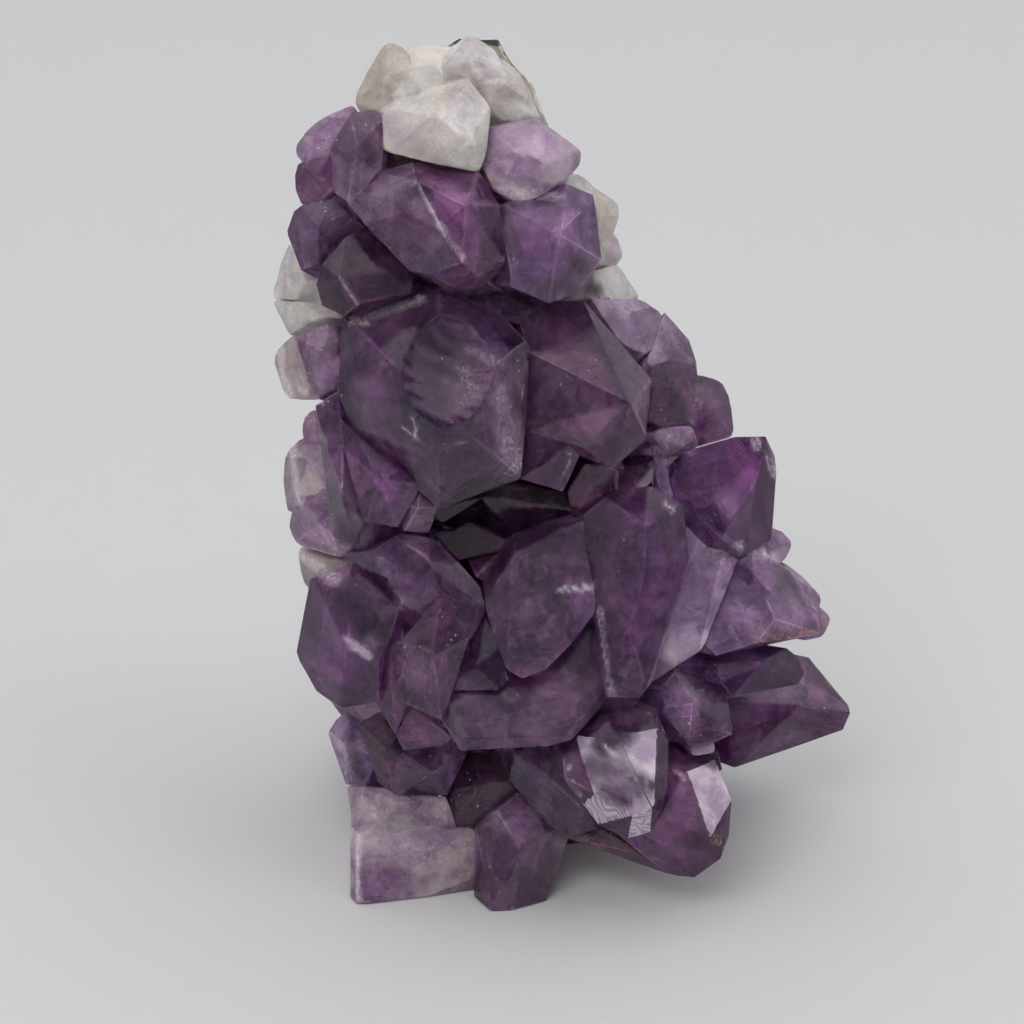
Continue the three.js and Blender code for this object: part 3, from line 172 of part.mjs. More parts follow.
  ["r_rnd", 165, "p", 0.77, -0.401, 0.496, [[24.83, -1.53, 67.56], [12.42, 2, 55.73], [12.17, 4.39, 59.7], [23.61, -1.4, 70.24], [19.41, -6.33, 69.82], [8.06, -1.47, 55.98], [20.04, -8.46, 63.26], [7.86, 3.39, 63.7], [10.62, 4.68, 62.14], [19.69, -2.68, 72.26], [23.22, -1.3, 70.62], [20.18, -8.41, 63.28], [25.12, -4.32, 62.92], [25.26, -4.09, 63.54], [21.88, -6.1, 68.14], [21.84, -6.13, 68.14], [19.28, -6.44, 69.63], [18.74, -7.74, 66.48], [6.86, -0.8, 58.56], [6.89, -0.82, 58.68], [7.81, 3.26, 63.58], [7.49, 0.2, 61.45]]],
  ["t_lump", 166, "w", 0.133, -0.264, 0.955, [[-12.88, 8.41, 120.11], [-13.27, 8.1, 120.21], [-16.35, 6.61, 118.33], [-13.31, 8.08, 120.2], [-15.01, 12.19, 104.62], [-17.9, 10.67, 103.14], [-17.89, 10.69, 103.18], [-8.78, 7.01, 117.25], [-10.11, 8.27, 118.48], [-11.5, 11.05, 102], [-12.63, 12.13, 102.94], [-12.48, 12, 102.56], [-18.72, 7.02, 101.91], [-17.29, 2.28, 117.08], [-17.25, 2.28, 117.1], [-17.27, 2.27, 117.09], [-7.96, 3.45, 115.44], [-10.77, 7.97, 100.68], [-13.9, 5.78, 100.47], [-8.15, 3.3, 115.49], [-12.62, 3.73, 118.2], [-13.05, 2.91, 117.77], [-11.63, 0.83, 115.36]]],
  ["t_back", 167, "w", 0, -0.259, 0.966, [[-15.43, 10.23, 105.74], [-22.34, 5.37, 104.07], [-16.82, 5.68, 103.83], [-14.79, 7.14, 118.52], [-22.94, 1.38, 116.48], [-16.44, 1.75, 116.21], [-22.33, 6.47, 118.73], [-20.87, 7.21, 118.97], [-21.82, 9.7, 105.94], [-20.66, 10.3, 106.12]]],
  ["t_right", 168, "w", 0.492, -0.335, 0.803, [[-18.5, 6.72, 102.13], [-17.37, 5.19, 100.01], [-16.46, 12.77, 103.75], [-6.16, 8.07, 114.75], [-8.88, 8.13, 116.86], [-8.78, 8.11, 116.84], [-9.93, -0.82, 112.51], [-11.06, 0.83, 115.36], [-15.84, 5.86, 98.83], [-15.45, 5.95, 98.71], [-12.87, 9.03, 99.3], [-13.18, 11.22, 100.64], [-15.11, 12.82, 102.37], [-14.15, 12.73, 101.91], [-8.14, 1.54, 114.97], [-8.02, 1.65, 114.98], [-7.71, 0.1, 110.92], [-9.39, -0.73, 112.38], [-7.73, 1.82, 114.78], [-4.96, 6.24, 113.31], [-5.15, 6.58, 113.67], [-4.54, 3.64, 111.83], [-4.78, 3.14, 111.91]]],
  ["t_rim", 169, "w", 0.694, -0.446, 0.565, [[-16.16, 13.77, 103.64], [-4.92, 7.15, 113.03], [-4.96, 7.07, 113.03], [-2.63, 3.52, 108.7], [-20.04, 7.22, 102.43], [-14.09, 10.61, 100.02], [-15.58, 12.63, 101.93], [-18.39, 7.38, 100.95], [-18.99, 7.4, 101.32], [-9.65, -0.36, 111.45], [-2.68, 3.47, 108.72], [-7.67, -0.2, 109.74], [-6.67, 1.21, 112.09]]],
  ["r_b1", 170, "p", 0.814, -0.328, 0.48, [[30.19, -10.27, 47.79], [30.5, -7.65, 50.13], [33.16, -6.48, 48.42], [33.11, -8.72, 45.15], [34.04, -6.89, 46.82], [33.91, -6.82, 47.24], [31.39, -10.6, 45.03], [30.52, -10.38, 47.32], [22.96, -2.76, 40.53], [19.7, -5.62, 41.35], [20.21, -3.5, 43.5], [22.29, -2.44, 41.93], [20.91, -5.98, 39.12], [22.34, -4.38, 39.22]]],
  ["r_b2", 171, "p", 0.858, -0.504, 0.102, [[33.31, -9.28, 43.11], [32.56, -8.2, 44.71], [33.26, -9.13, 43.43], [35.39, -6.49, 41.74], [38.79, -5.76, 37.64], [38.24, -6.4, 36.3], [38.8, -5.86, 37.59], [38.81, -5.8, 37.6], [37.68, -8.39, 36.14], [23.75, -0.21, 35.08], [20.01, -0.95, 41], [19.52, -0.12, 42.38], [24.29, 1.45, 35.23], [24.78, 1.98, 36.37], [21.76, 1.43, 39.84], [21.4, 1.33, 40.11]]],
  ["r_b3", 172, "p", 0.858, -0.504, 0.102, [[22.63, -3.55, 32.14], [26.17, 1.62, 32.8], [25.06, -0.77, 31.32], [36.12, -12.19, 33.58], [40.3, -6.09, 34.35], [39, -8.88, 32.61], [22.26, -1.81, 35.86], [24.49, 0.62, 34.92], [35.68, -10.14, 37.97], [38.3, -7.27, 36.86]]],
  ["f_und", 173, "d", 0.296, -0.797, -0.526, [[5.4, -28.85, 11.39], [10.73, -22.4, 13.61], [7.17, -22.15, 16.33], [15.58, -33.58, 6.57], [5.93, -22.84, 5.66], [15.5, -33.63, 6.62], [0.79, -26.88, 8.79], [11.42, -33.1, 9.8], [4.99, -15.7, 13.47], [2.57, -13.39, 12.76], [2.51, -18.72, 17.65], [-1.89, -16.81, 15.5], [2.42, -13.43, 12.88], [2.04, -18.49, 17.71]]],
  ["c_re1", 174, "d", 0.25, -0.968, -0.026, [[-17.87, -15.88, 56.99], [-11.55, -15.79, 58.54], [-18.77, -16, 53.25], [-18.74, -16.02, 53.34], [-15.31, -14.8, 52.63], [-11.86, -14.77, 55.22], [-11.55, -15.8, 58.33], [-14.49, -6.55, 55.46], [-19.61, -7.47, 56.97], [-14.28, -7.23, 58.28], [-20.38, -7.55, 53.79], [-19.66, -7.43, 56.81], [-17.45, -6.44, 53.27], [-17.15, -6.34, 53.52]]],
  ["c_re2", 175, "d", 0.171, -0.983, -0.06, [[-2, -5.27, 58.45], [-5.94, -13.81, 49.81], [-7.27, -5.4, 51.18], [2.71, -13.74, 54.73], [-0.16, -13.63, 52.27], [0.01, -5.06, 55.39], [-2.37, -5.15, 53.29], [2.24, -13.91, 55.49], [0.22, -13.57, 58.34], [-8.07, -14.62, 60.25], [-11.55, -15.7, 58.54], [-11.86, -14.53, 55.1], [-5.98, -13.81, 49.84], [-11.56, -15.74, 58.39], [-11.32, -15.73, 58.24], [-9.03, -5.76, 60.05], [-9.11, -5.82, 60.07], [-12.04, -7.04, 58.61], [-12.3, -5.96, 55.69], [-12.17, -5.83, 55.57]]],
  ["c_re3", 176, "d", 0, -0.707, 0.707, [[-9.41, -9.74, 43.57], [-12.1, -12.93, 41.97], [-13.46, -10.14, 43.89], [-9.04, -12.72, 40.09], [-13.9, -15.02, 49.26], [-8.69, -18.06, 44.79], [-9.13, -14.56, 48.88], [-12.29, -18.31, 47]]],
  ["c_re5", 177, "d", 0, -0.707, 0.707, [[-14.84, -17.12, 49.12], [-5.91, -13.55, 49.61], [-14.43, -11.61, 44.23], [-9.12, -11.46, 53.71], [-18.77, -15.48, 52.98], [-14.51, -11.49, 44.24], [-6.84, -8.59, 44.65], [-9.35, -8.75, 43.73], [-10.17, -6.95, 48.06], [-9.61, -6.76, 48.15], [-9.44, -6.83, 47.87], [-13.59, -9.44, 44.17], [-9.98, -8.65, 43.8], [-14.08, -8.51, 46.76], [-13.84, -9.41, 44.4], [-17.82, -10.21, 47.56]]],
  ["u_fill", 178, "w", 0.754, -0.526, 0.392, [[-6.82, 10.95, 90.31], [-11.76, 6.87, 93.16], [-9.06, 6.98, 90.54], [-9.95, 11.46, 94.43], [-11.39, 8.13, 93.43], [-7.4, 11.88, 91.37], [-0.28, -2.07, 99.56], [2.92, -1.95, 96.48], [1.82, 3.36, 101.03], [-7.48, 12.04, 91.61], [-8.42, 12.44, 93.22], [3.54, 4.24, 99.9], [3.76, 4.41, 99.69], [4.88, 3.94, 97.79], [5.49, 2.77, 96.18], [3.71, -0.79, 96.46]]],
  ["l_fill", 179, "w", -0.754, -0.526, 0.392, [[-26.51, 5.55, 79.31], [-24.67, 3.14, 80.54], [-26.83, 8.38, 83.7], [-26.46, 5.88, 79.69], [-25.4, 7.07, 84.71], [-23.21, 3.87, 83.92], [-23.29, 3.84, 83.66], [-38.74, -2.85, 85], [-36.53, -5.64, 86.43], [-39.02, 0.54, 90.13], [-37.5, -1.11, 91.4], [-37.67, -0.99, 91.31], [-34.79, -4.76, 90.39], [-36.5, -5.63, 86.53]]],
];

// Shell-shaped fractures: the crystal, the middle of the hollow, its half
// sizes across, in depth and upwards, and its tilt about X in degrees.
const FRACTURES = [
  ["c_big", -14.92, -23.24, 81.52, 8.66, 5.49, 12.71, 59],
];

// ---- helpers ----------------------------------------------------------------
const wasm = await Module();
wasm.setup();

// A repeatable number between -1 and 1.
function jitter(seed, k) {
  const v = Math.sin(seed * 12.9898 + k * 78.233) * 43758.5453;
  return (v - Math.floor(v)) * 2 - 1;
}

function solidFrom(geometry) {
  const bare = geometry.clone();
  bare.deleteAttribute("normal");
  bare.deleteAttribute("uv");
  const g = mergeVertices(bare, 1e-4);
  return new wasm.Manifold(
    new wasm.Mesh({
      numProp: 3,
      vertProperties: new Float32Array(g.attributes.position.array),
      triVerts: new Uint32Array(g.index.array),
    }),
  );
}

function geometryFrom(solid) {
  const m = solid.getMesh();
  const g = new THREE.BufferGeometry();
  g.setAttribute("position", new THREE.BufferAttribute(new Float32Array(m.vertProperties), 3));
  g.setIndex(new THREE.BufferAttribute(new Uint32Array(m.triVerts), 1));
  g.computeVertexNormals();
  return g;
}

// The crystal's own frame: the front frame turned the short way onto the axis.
function crystalFrame(axis) {
  const a = axis.clone().normalize();
  const q = new THREE.Quaternion().setFromUnitVectors(FRONT, a);
  return [FRONT_X.clone().applyQuaternion(q), FRONT_Y.clone().applyQuaternion(q), a];
}

// A crystal is the space behind six prism faces, six pyramid faces and a root
// face. Its corners are where three of the planes meet.
function crystalSolid(row) {
  const [, x, y, z, ax, ay, az, R, roll, L, seed, , pyr, pri, chips] = row;
  const tip = new THREE.Vector3(x, y, z);
  const [ex, ey, a] = crystalFrame(new THREE.Vector3(ax, ay, az));
  const inradius = R * Math.cos(Math.PI / 6);
  const beta = THREE.MathUtils.degToRad(PYRAMID_NORMAL_DEG);
  const planes = [];
  const plane = (n, through, out) => planes.push([n, n.dot(through) + out]);
  for (let i = 0; i < 6; i++) {
    const t = THREE.MathUtils.degToRad(roll + 30 + 60 * i);
    const e = ex.clone().multiplyScalar(Math.cos(t)).addScaledVector(ey, Math.sin(t));
    const po = pri ? pri[i] : PRISM_IRREGULARITY * jitter(seed, i);
    const yo = pyr ? pyr[i] : PYRAMID_IRREGULARITY * Math.max(-0.2, jitter(seed, 10 + i));
    plane(e, tip, inradius * (1 + po));
    plane(a.clone().multiplyScalar(Math.cos(beta)).addScaledVector(e, Math.sin(beta)), tip, inradius * yo);
  }
  plane(a.clone().negate(), tip, L);
  for (const [u, v, w, depth] of chips || []) {
    const n = ex.clone().multiplyScalar(u).addScaledVector(ey, v).addScaledVector(a, w).normalize();
    plane(n, tip, -depth * R);
  }
  const corners = [];
  const cross = new THREE.Vector3();
  for (let i = 0; i < planes.length; i++)
    for (let j = i + 1; j < planes.length; j++)
      for (let k = j + 1; k < planes.length; k++) {
        const [n1, d1] = planes[i], [n2, d2] = planes[j], [n3, d3] = planes[k];
        const det = n1.dot(cross.crossVectors(n2, n3));
        if (Math.abs(det) < 1e-6) continue;
        const p = new THREE.Vector3()
          .addScaledVector(new THREE.Vector3().crossVectors(n2, n3), d1 / det)
          .addScaledVector(new THREE.Vector3().crossVectors(n3, n1), d2 / det)
          .addScaledVector(new THREE.Vector3().crossVectors(n1, n2), d3 / det);
        if (planes.every(([n, d]) => n.dot(p) < d + 1e-5) && !corners.some((c) => c.distanceTo(p) < 1e-3)) corners.push(p);
      }
  return solidFrom(new ConvexGeometry(corners));
}

// The hollow that a blow left in a crystal.
function fractureSolid([, x, y, z, sx, sy, sz, tilt]) {
  const g = new THREE.IcosahedronGeometry(1, 3);
  g.scale(sx, sy, sz);
  g.rotateX(THREE.MathUtils.degToRad(-tilt));
  g.translate(x, y, z);
  return solidFrom(g);
}

// A closed body through ring sections, with flat ends.
function loft(rings) {
  const n = rings[0].length, pos = [], index = [];
  for (const ring of rings) for (const p of ring) pos.push(...p);
  for (let s = 0; s < rings.length - 1; s++)
    for (let k = 0; k < n; k++) {
      const a = s * n + k, b = s * n + ((k + 1) % n), c = a + n, d = b + n;
      index.push(a, b, d, a, d, c);
    }
  for (const [first, up] of [[0, false], [(rings.length - 1) * n, true]]) {
    const mid = [0, 1, 2].map((q) => rings[up ? rings.length - 1 : 0].reduce((t, p) => t + p[q], 0) / n);
    const m = pos.length / 3;
    pos.push(...mid);
    for (let k = 0; k < n; k++) {
      const a = first + k, b = first + ((k + 1) % n);
      if (up) index.push(m, a, b);
      else index.push(m, b, a);
    }
  }
  const g = new THREE.BufferGeometry();
  g.setAttribute("position", new THREE.BufferAttribute(new Float32Array(pos), 3));
  g.setIndex(index);
  return solidFrom(g);
}

const ellipseRing = (z, cx, cy, rx, ry, sides, lump) =>
  Array.from({ length: sides }, (_, k) => {
    const t = (2 * Math.PI * k) / sides;
    const r = lump ? lump(t, z) : 0;
    return [cx + (rx + r) * Math.cos(t), cy + (ry + r) * Math.sin(t), z];
  });

// Lumps of the rough rind.
const lumps = (t, z) =>
  RIND_ROUGHNESS *
  (0.6 * Math.sin(3.1 * t + 0.11 * z) + 0.45 * Math.sin(7.3 * t - 0.19 * z + 1.3) +
    0.35 * Math.sin(13 * t + 0.43 * z + 0.7) + 0.3 * Math.sin(0.9 * z + 5 * t));

// Body between the rind's outer surface, moved in by inset, and nothing else.
const rindBody = (inset, lower, rough) =>
  loft(
    RIND.flatMap((row, i) => {
      const next = RIND[i + 1];
      return rough && next ? [row, row.map((v, q) => (v + next[q]) / 2)] : [row];
    }).map(([z, cx, cy, rx, ry]) =>
      ellipseRing(z <= 0 ? z - lower : z, cx, cy, Math.max(0.6, rx - inset), Math.max(0.6, ry - inset), rough ? RIND_SIDES : CORE_SIDES, rough ? lumps : null)),
  );

// A big wedge behind the slanted plane where the rind starts, moved by shift.
function behind(shift) {
  const g = new THREE.BoxGeometry(300, 200, 400);
  g.translate(0, 100, 0);
  g.rotateZ(Math.atan(RIND_SLANT));
  g.translate(0, RIND_FRONT + shift, 60);
  return solidFrom(g);
}

// ---- the crystals, grown together as one solid --------------------------------
const above = new THREE.BoxGeometry(400, 400, 300);
above.translate(0, 0, 150);
const ground = solidFrom(above);

let druse = loft(CORE.map(([z, cx, cy, rx, ry]) => ellipseRing(z, cx, cy, rx, ry, CORE_SIDES)));
druse = druse.add(rindBody(RIND_THICKNESS + GAP, 0, false));
for (const row of CRYSTALS) druse = druse.add(crystalSolid(row));
for (const [name, , , , , , corners] of CROWDED) {
  let crystal = solidFrom(new ConvexGeometry(corners.map((c) => new THREE.Vector3(...c))));
  for (const f of FRACTURES) if (f[0] === name) crystal = crystal.subtract(fractureSolid(f));
  druse = druse.add(crystal);
}
const rindSpace = rindBody(-GAP, 5, true).intersect(behind(-GAP)).subtract(rindBody(RIND_THICKNESS + GAP, 10, false));
druse = druse.subtract(rindSpace).intersect(ground).asOriginal().simplify(SLIVER);
druse = druse.decompose().sort((p, q) => q.volume() - p.volume())[0];

// ---- the rind at the back -----------------------------------------------------
let rind = rindBody(0, 0, true).intersect(behind(0)).subtract(rindBody(RIND_THICKNESS, 5, false)).intersect(ground).asOriginal().simplify(SLIVER);
rind = rind.decompose().sort((p, q) => q.volume() - p.volume())[0];

// ---- the scene graph ------------------------------------------------------------
const cluster = new THREE.Group();
cluster.name = "amethyst_cluster";

const crystals = new THREE.Mesh(
  geometryFrom(druse),
  new THREE.MeshStandardMaterial({ color: 0x6f5080, roughness: 0.12, metalness: 0, flatShading: true }),
);
crystals.name = "crystal_druse";
cluster.add(crystals);

const hostRock = new THREE.Mesh(
  geometryFrom(rind),
  new THREE.MeshStandardMaterial({ color: 0x3c4236, roughness: 0.85, metalness: 0, flatShading: true }),
);
hostRock.name = "host_rock_rind";
cluster.add(hostRock);

// The origin is on the base under the middle of the piece.
cluster.position.set(-MIDDLE[0], -MIDDLE[1], 0);

export default cluster;
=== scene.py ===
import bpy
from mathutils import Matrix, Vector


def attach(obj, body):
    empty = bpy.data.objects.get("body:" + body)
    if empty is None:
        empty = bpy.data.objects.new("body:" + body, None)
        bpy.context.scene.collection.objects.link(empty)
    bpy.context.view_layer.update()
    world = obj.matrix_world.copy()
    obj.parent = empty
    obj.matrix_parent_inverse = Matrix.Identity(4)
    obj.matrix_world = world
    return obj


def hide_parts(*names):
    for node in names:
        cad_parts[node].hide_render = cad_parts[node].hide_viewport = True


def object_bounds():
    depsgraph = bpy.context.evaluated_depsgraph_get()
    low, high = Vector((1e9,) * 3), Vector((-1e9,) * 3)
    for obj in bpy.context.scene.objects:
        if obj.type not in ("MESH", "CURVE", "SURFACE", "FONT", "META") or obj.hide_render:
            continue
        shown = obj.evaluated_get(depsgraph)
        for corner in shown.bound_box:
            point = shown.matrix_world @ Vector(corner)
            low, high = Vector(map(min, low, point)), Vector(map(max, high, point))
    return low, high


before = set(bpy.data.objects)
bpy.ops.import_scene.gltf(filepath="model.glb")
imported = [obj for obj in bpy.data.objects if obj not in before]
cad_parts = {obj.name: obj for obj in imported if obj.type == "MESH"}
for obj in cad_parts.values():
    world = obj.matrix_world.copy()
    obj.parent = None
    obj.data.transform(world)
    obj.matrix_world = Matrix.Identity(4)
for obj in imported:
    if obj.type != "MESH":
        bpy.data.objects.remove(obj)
CAD_BOX = [list(map(float, c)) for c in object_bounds()]

import math
import time

import bmesh
import bpy
import numpy as np
from mathutils import Vector
from mathutils.bvhtree import BVHTree

START = time.time()
MM = 0.001
scene = bpy.context.scene


def note(*words):
    print("[%5.1f s]" % (time.time() - START), *words)


# ---- camera ---------------------------------------------------------------------
ELEVATION = math.radians(25.0)
DISTANCE = 0.620
FIELD = math.radians(13.6)
MIDDLE = (1.0200, -5.0996)
TARGET = Vector((-7.1 - MIDDLE[0], -13.3 - MIDDLE[1], 55.0)) * MM
BACK = Vector((0.0, -math.cos(ELEVATION), math.sin(ELEVATION)))
RIGHT = Vector((1.0, 0.0, 0.0))
UP = Vector((0.0, math.sin(ELEVATION), math.cos(ELEVATION)))
FOCAL = 512 / math.tan(FIELD / 2)
camera_data = bpy.data.cameras.new("camera")
camera = bpy.data.objects.new("camera", camera_data)
scene.collection.objects.link(camera)
camera_data.sensor_fit = "HORIZONTAL"
camera_data.sensor_width = 36.0
camera_data.lens = 18.0 / math.tan(FIELD / 2)
camera_data.clip_start = 0.01
camera_data.clip_end = 20.0
camera.location = TARGET + BACK * DISTANCE
camera.rotation_euler = BACK.to_track_quat("Z", "Y").to_euler()
scene.camera = camera

# ---- the crystals' tables (mm, in the frame of the cad tables) --------------------
BETA = math.radians(51.8)
PRISM_IRREGULARITY = 0.05
PYRAMID_IRREGULARITY = 0.11
FRONT = np.array([0.0, -0.906308, 0.422618])
FRONT_X = np.array([1.0, 0.0, 0.0])
FRONT_Y = np.array([0.0, 0.422618, 0.906308])
# massive quartz: height, centre x, centre y, radius x, radius y
CORE = [
    [0, -5, 6, 23, 20],
    [20, -4, 7, 24, 18],
    [40, -6, 8, 22, 16],
    [60, -9, 9, 19, 14],
    [80, -14, 9, 15, 11],
    [98, -18, 9, 11, 8],
    [110, -18, 9, 8, 5.5],
    [116, -17, 9, 5, 3.5],
]
# outside of the host rock: height, centre x, centre y, radius x, radius y
RIND = [
    [0, -5, 6, 27, 21.5],
    [14, -4.5, 6.6, 28.2, 21.4],
    [28, -4.5, 7.4, 27.6, 20.4],
    [42, -5.5, 8, 26.4, 19.2],
    [56, -7, 8.6, 24.6, 17.6],
    [70, -9, 9, 22.6, 15.8],
    [84, -11, 9, 19.6, 13.6],
    [96, -12.5, 9, 16.2, 11.2],
    [106, -14, 9, 12.2, 8.8],
    [112, -14.5, 9, 9.8, 7],
    [116.2, -13.6, 9.2, 5.4, 4.2],
    [118.4, -12.4, 9.6, 2.6, 2.2],
]
RIND_THICKNESS = 3.6
null = None
# name, tip, axis, radius, roll, length, seed, zone[, pyramid, prism, chips]
CRYSTALS = [
    ["d1", 22.24, 8.48, 2.05, 0.931, 0.291, -0.222, 7.14, 56.8, 11.3, 201, "p"],
    ["d6", -31.3, 21.73, 7.32, -0.635, 0.741, 0.217, 5.14, 10.3, 16.1, 206, "p"],
    ["d7", -33.74, 6.02, 7.25, -0.948, -0.039, 0.316, 4.71, 44.7, 13.1, 207, "p"],
    ["d13", 26.75, 10.59, 13.71, 0.997, -0.061, 0.052, 7.36, -45.1, 15.1, 213, "p"],
    ["d18", -36.57, 10.12, 15.42, -0.984, 0.061, -0.168, 6.65, 28.4, 16, 218, "p"],
    ["d19", -35, 0.43, 17.61, -0.943, -0.077, 0.325, 7.59, 39.8, 15.6, 219, "p"],
    ["d20", -22.6, -9.7, 16.97, -0.701, -0.533, 0.474, 5.04, 58.4, 11.3, 220, "a"],
    ["d21", -8.8, -16.6, 16.55, -0.05, -0.945, 0.325, 5.92, -32.5, 12.4, 221, "a"],
    ["d24", 27.31, 3.72, 16.84, 0.957, 0, 0.291, 6.44, 21, 15.6, 224, "p"],
    ["d25", 25.77, 4.83, 32.07, 0.779, -0.144, 0.611, 4.46, 38, 16.1, 225, "p"],
    ["d30", -32.2, 14.48, 23.76, -0.92, 0.286, 0.268, 5.43, 19.8, 12.9, 230, "p"],
    ["d31", -31.95, -1.25, 28.54, -0.732, -0.484, 0.48, 6.44, -16.5, 13.9, 231, "p"],
    ["d32", -23.99, -9, 23.96, -0.717, -0.612, 0.333, 5.03, -3, 12, 232, "a"],
    ["d34", 7.43, -12.94, 25.44, 0.303, -0.826, 0.475, 3.72, 31.5, 12, 234, "a"],
    ["d35", 18.21, -6.84, 26.46, 0.79, -0.599, 0.129, 4.1, -49.2, 12.6, 235, "p"],
    ["d36", 21.71, 15.8, 37.9, 0.848, 0.405, 0.341, 7.66, 6.5, 14, 236, "p"],
    ["d41", -35.16, 4.92, 37.14, -0.905, -0.163, 0.392, 5.13, 59.8, 15, 241, "p"],
    ["d42", -28.51, -4.74, 33.07, -0.845, -0.52, 0.125, 5.58, -20.2, 12.4, 242, "p"],
    ["d45", 12.53, -5.95, 39.21, 0.554, -0.555, 0.62, 5.71, -39.6, 11.2, 245, "a"],
    ["d46", 21.74, 2.9, 36.21, 0.833, -0.172, 0.526, 4.96, -10.5, 12.9, 246, "p"],
    ["d47", 19.71, 6.53, 47.33, 0.992, -0.011, 0.128, 5.56, 27.1, 12.9, 247, "p"],
    ["d52", -36.51, 6.37, 46.52, -0.92, -0.266, 0.287, 6.93, 34.9, 16.3, 252, "p"],
    ["d54", -15.84, -11.68, 44.38, -0.057, -0.989, 0.138, 6.07, -1.4, 12.7, 254, "a"],
    ["d57", 18.14, 16.92, 58.19, 0.817, 0.428, 0.386, 5, -7.7, 16.1, 257, "p"],
    ["d61", -34.83, 11.58, 55.41, -0.964, 0.256, -0.07, 6.56, 15.5, 14.1, 261, "p"],
    ["d62", -22.5, -6.4, 53.38, -0.23, -0.965, -0.126, 5.76, 47.3, 11.4, 262, "a"],
    ["d65", 16.17, 2.97, 58.27, 0.825, -0.25, 0.507, 7.17, 7.4, 13.6, 265, "p"],
    ["d66", 15.46, 4.27, 70.02, 0.732, -0.3, 0.612, 5.86, 37.5, 17.1, 266, "p"],
    ["d70", -35.19, 16.38, 65.47, -0.919, 0.372, 0.129, 5.18, -18.6, 15.6, 270, "p"],
    ["d71", -35.11, -0.47, 67.37, -0.805, -0.525, 0.278, 5.28, 15.8, 16.8, 271, "p"],
    ["d75", 7.69, 14.42, 79.56, 0.805, 0.227, 0.549, 5.09, -23.2, 14, 275, "p"],
    ["d78", -34.17, 13.53, 75.76, -0.919, 0.291, 0.265, 5.92, -55.3, 13.4, 278, "p"],
    ["d83", 8.15, 10.55, 85.76, 0.848, 0.085, 0.523, 4.28, 20.9, 16, 283, "p"],
    ["d86", -32.12, 18.65, 82.17, -0.599, 0.781, -0.177, 6.3, 50.1, 14.1, 286, "p"],
    ["d87", -33.64, 2.87, 84.87, -0.86, -0.498, 0.112, 7.48, -10.9, 13.1, 287, "p"],
    ["d92", -37.16, 2.71, 94.28, -0.861, -0.417, 0.291, 6.25, 48.4, 16.9, 292, "p"],
    ["d97", -32.69, 5.42, 103.68, -0.924, -0.35, 0.156, 5.03, -53.9, 12.6, 297, "w"],
]
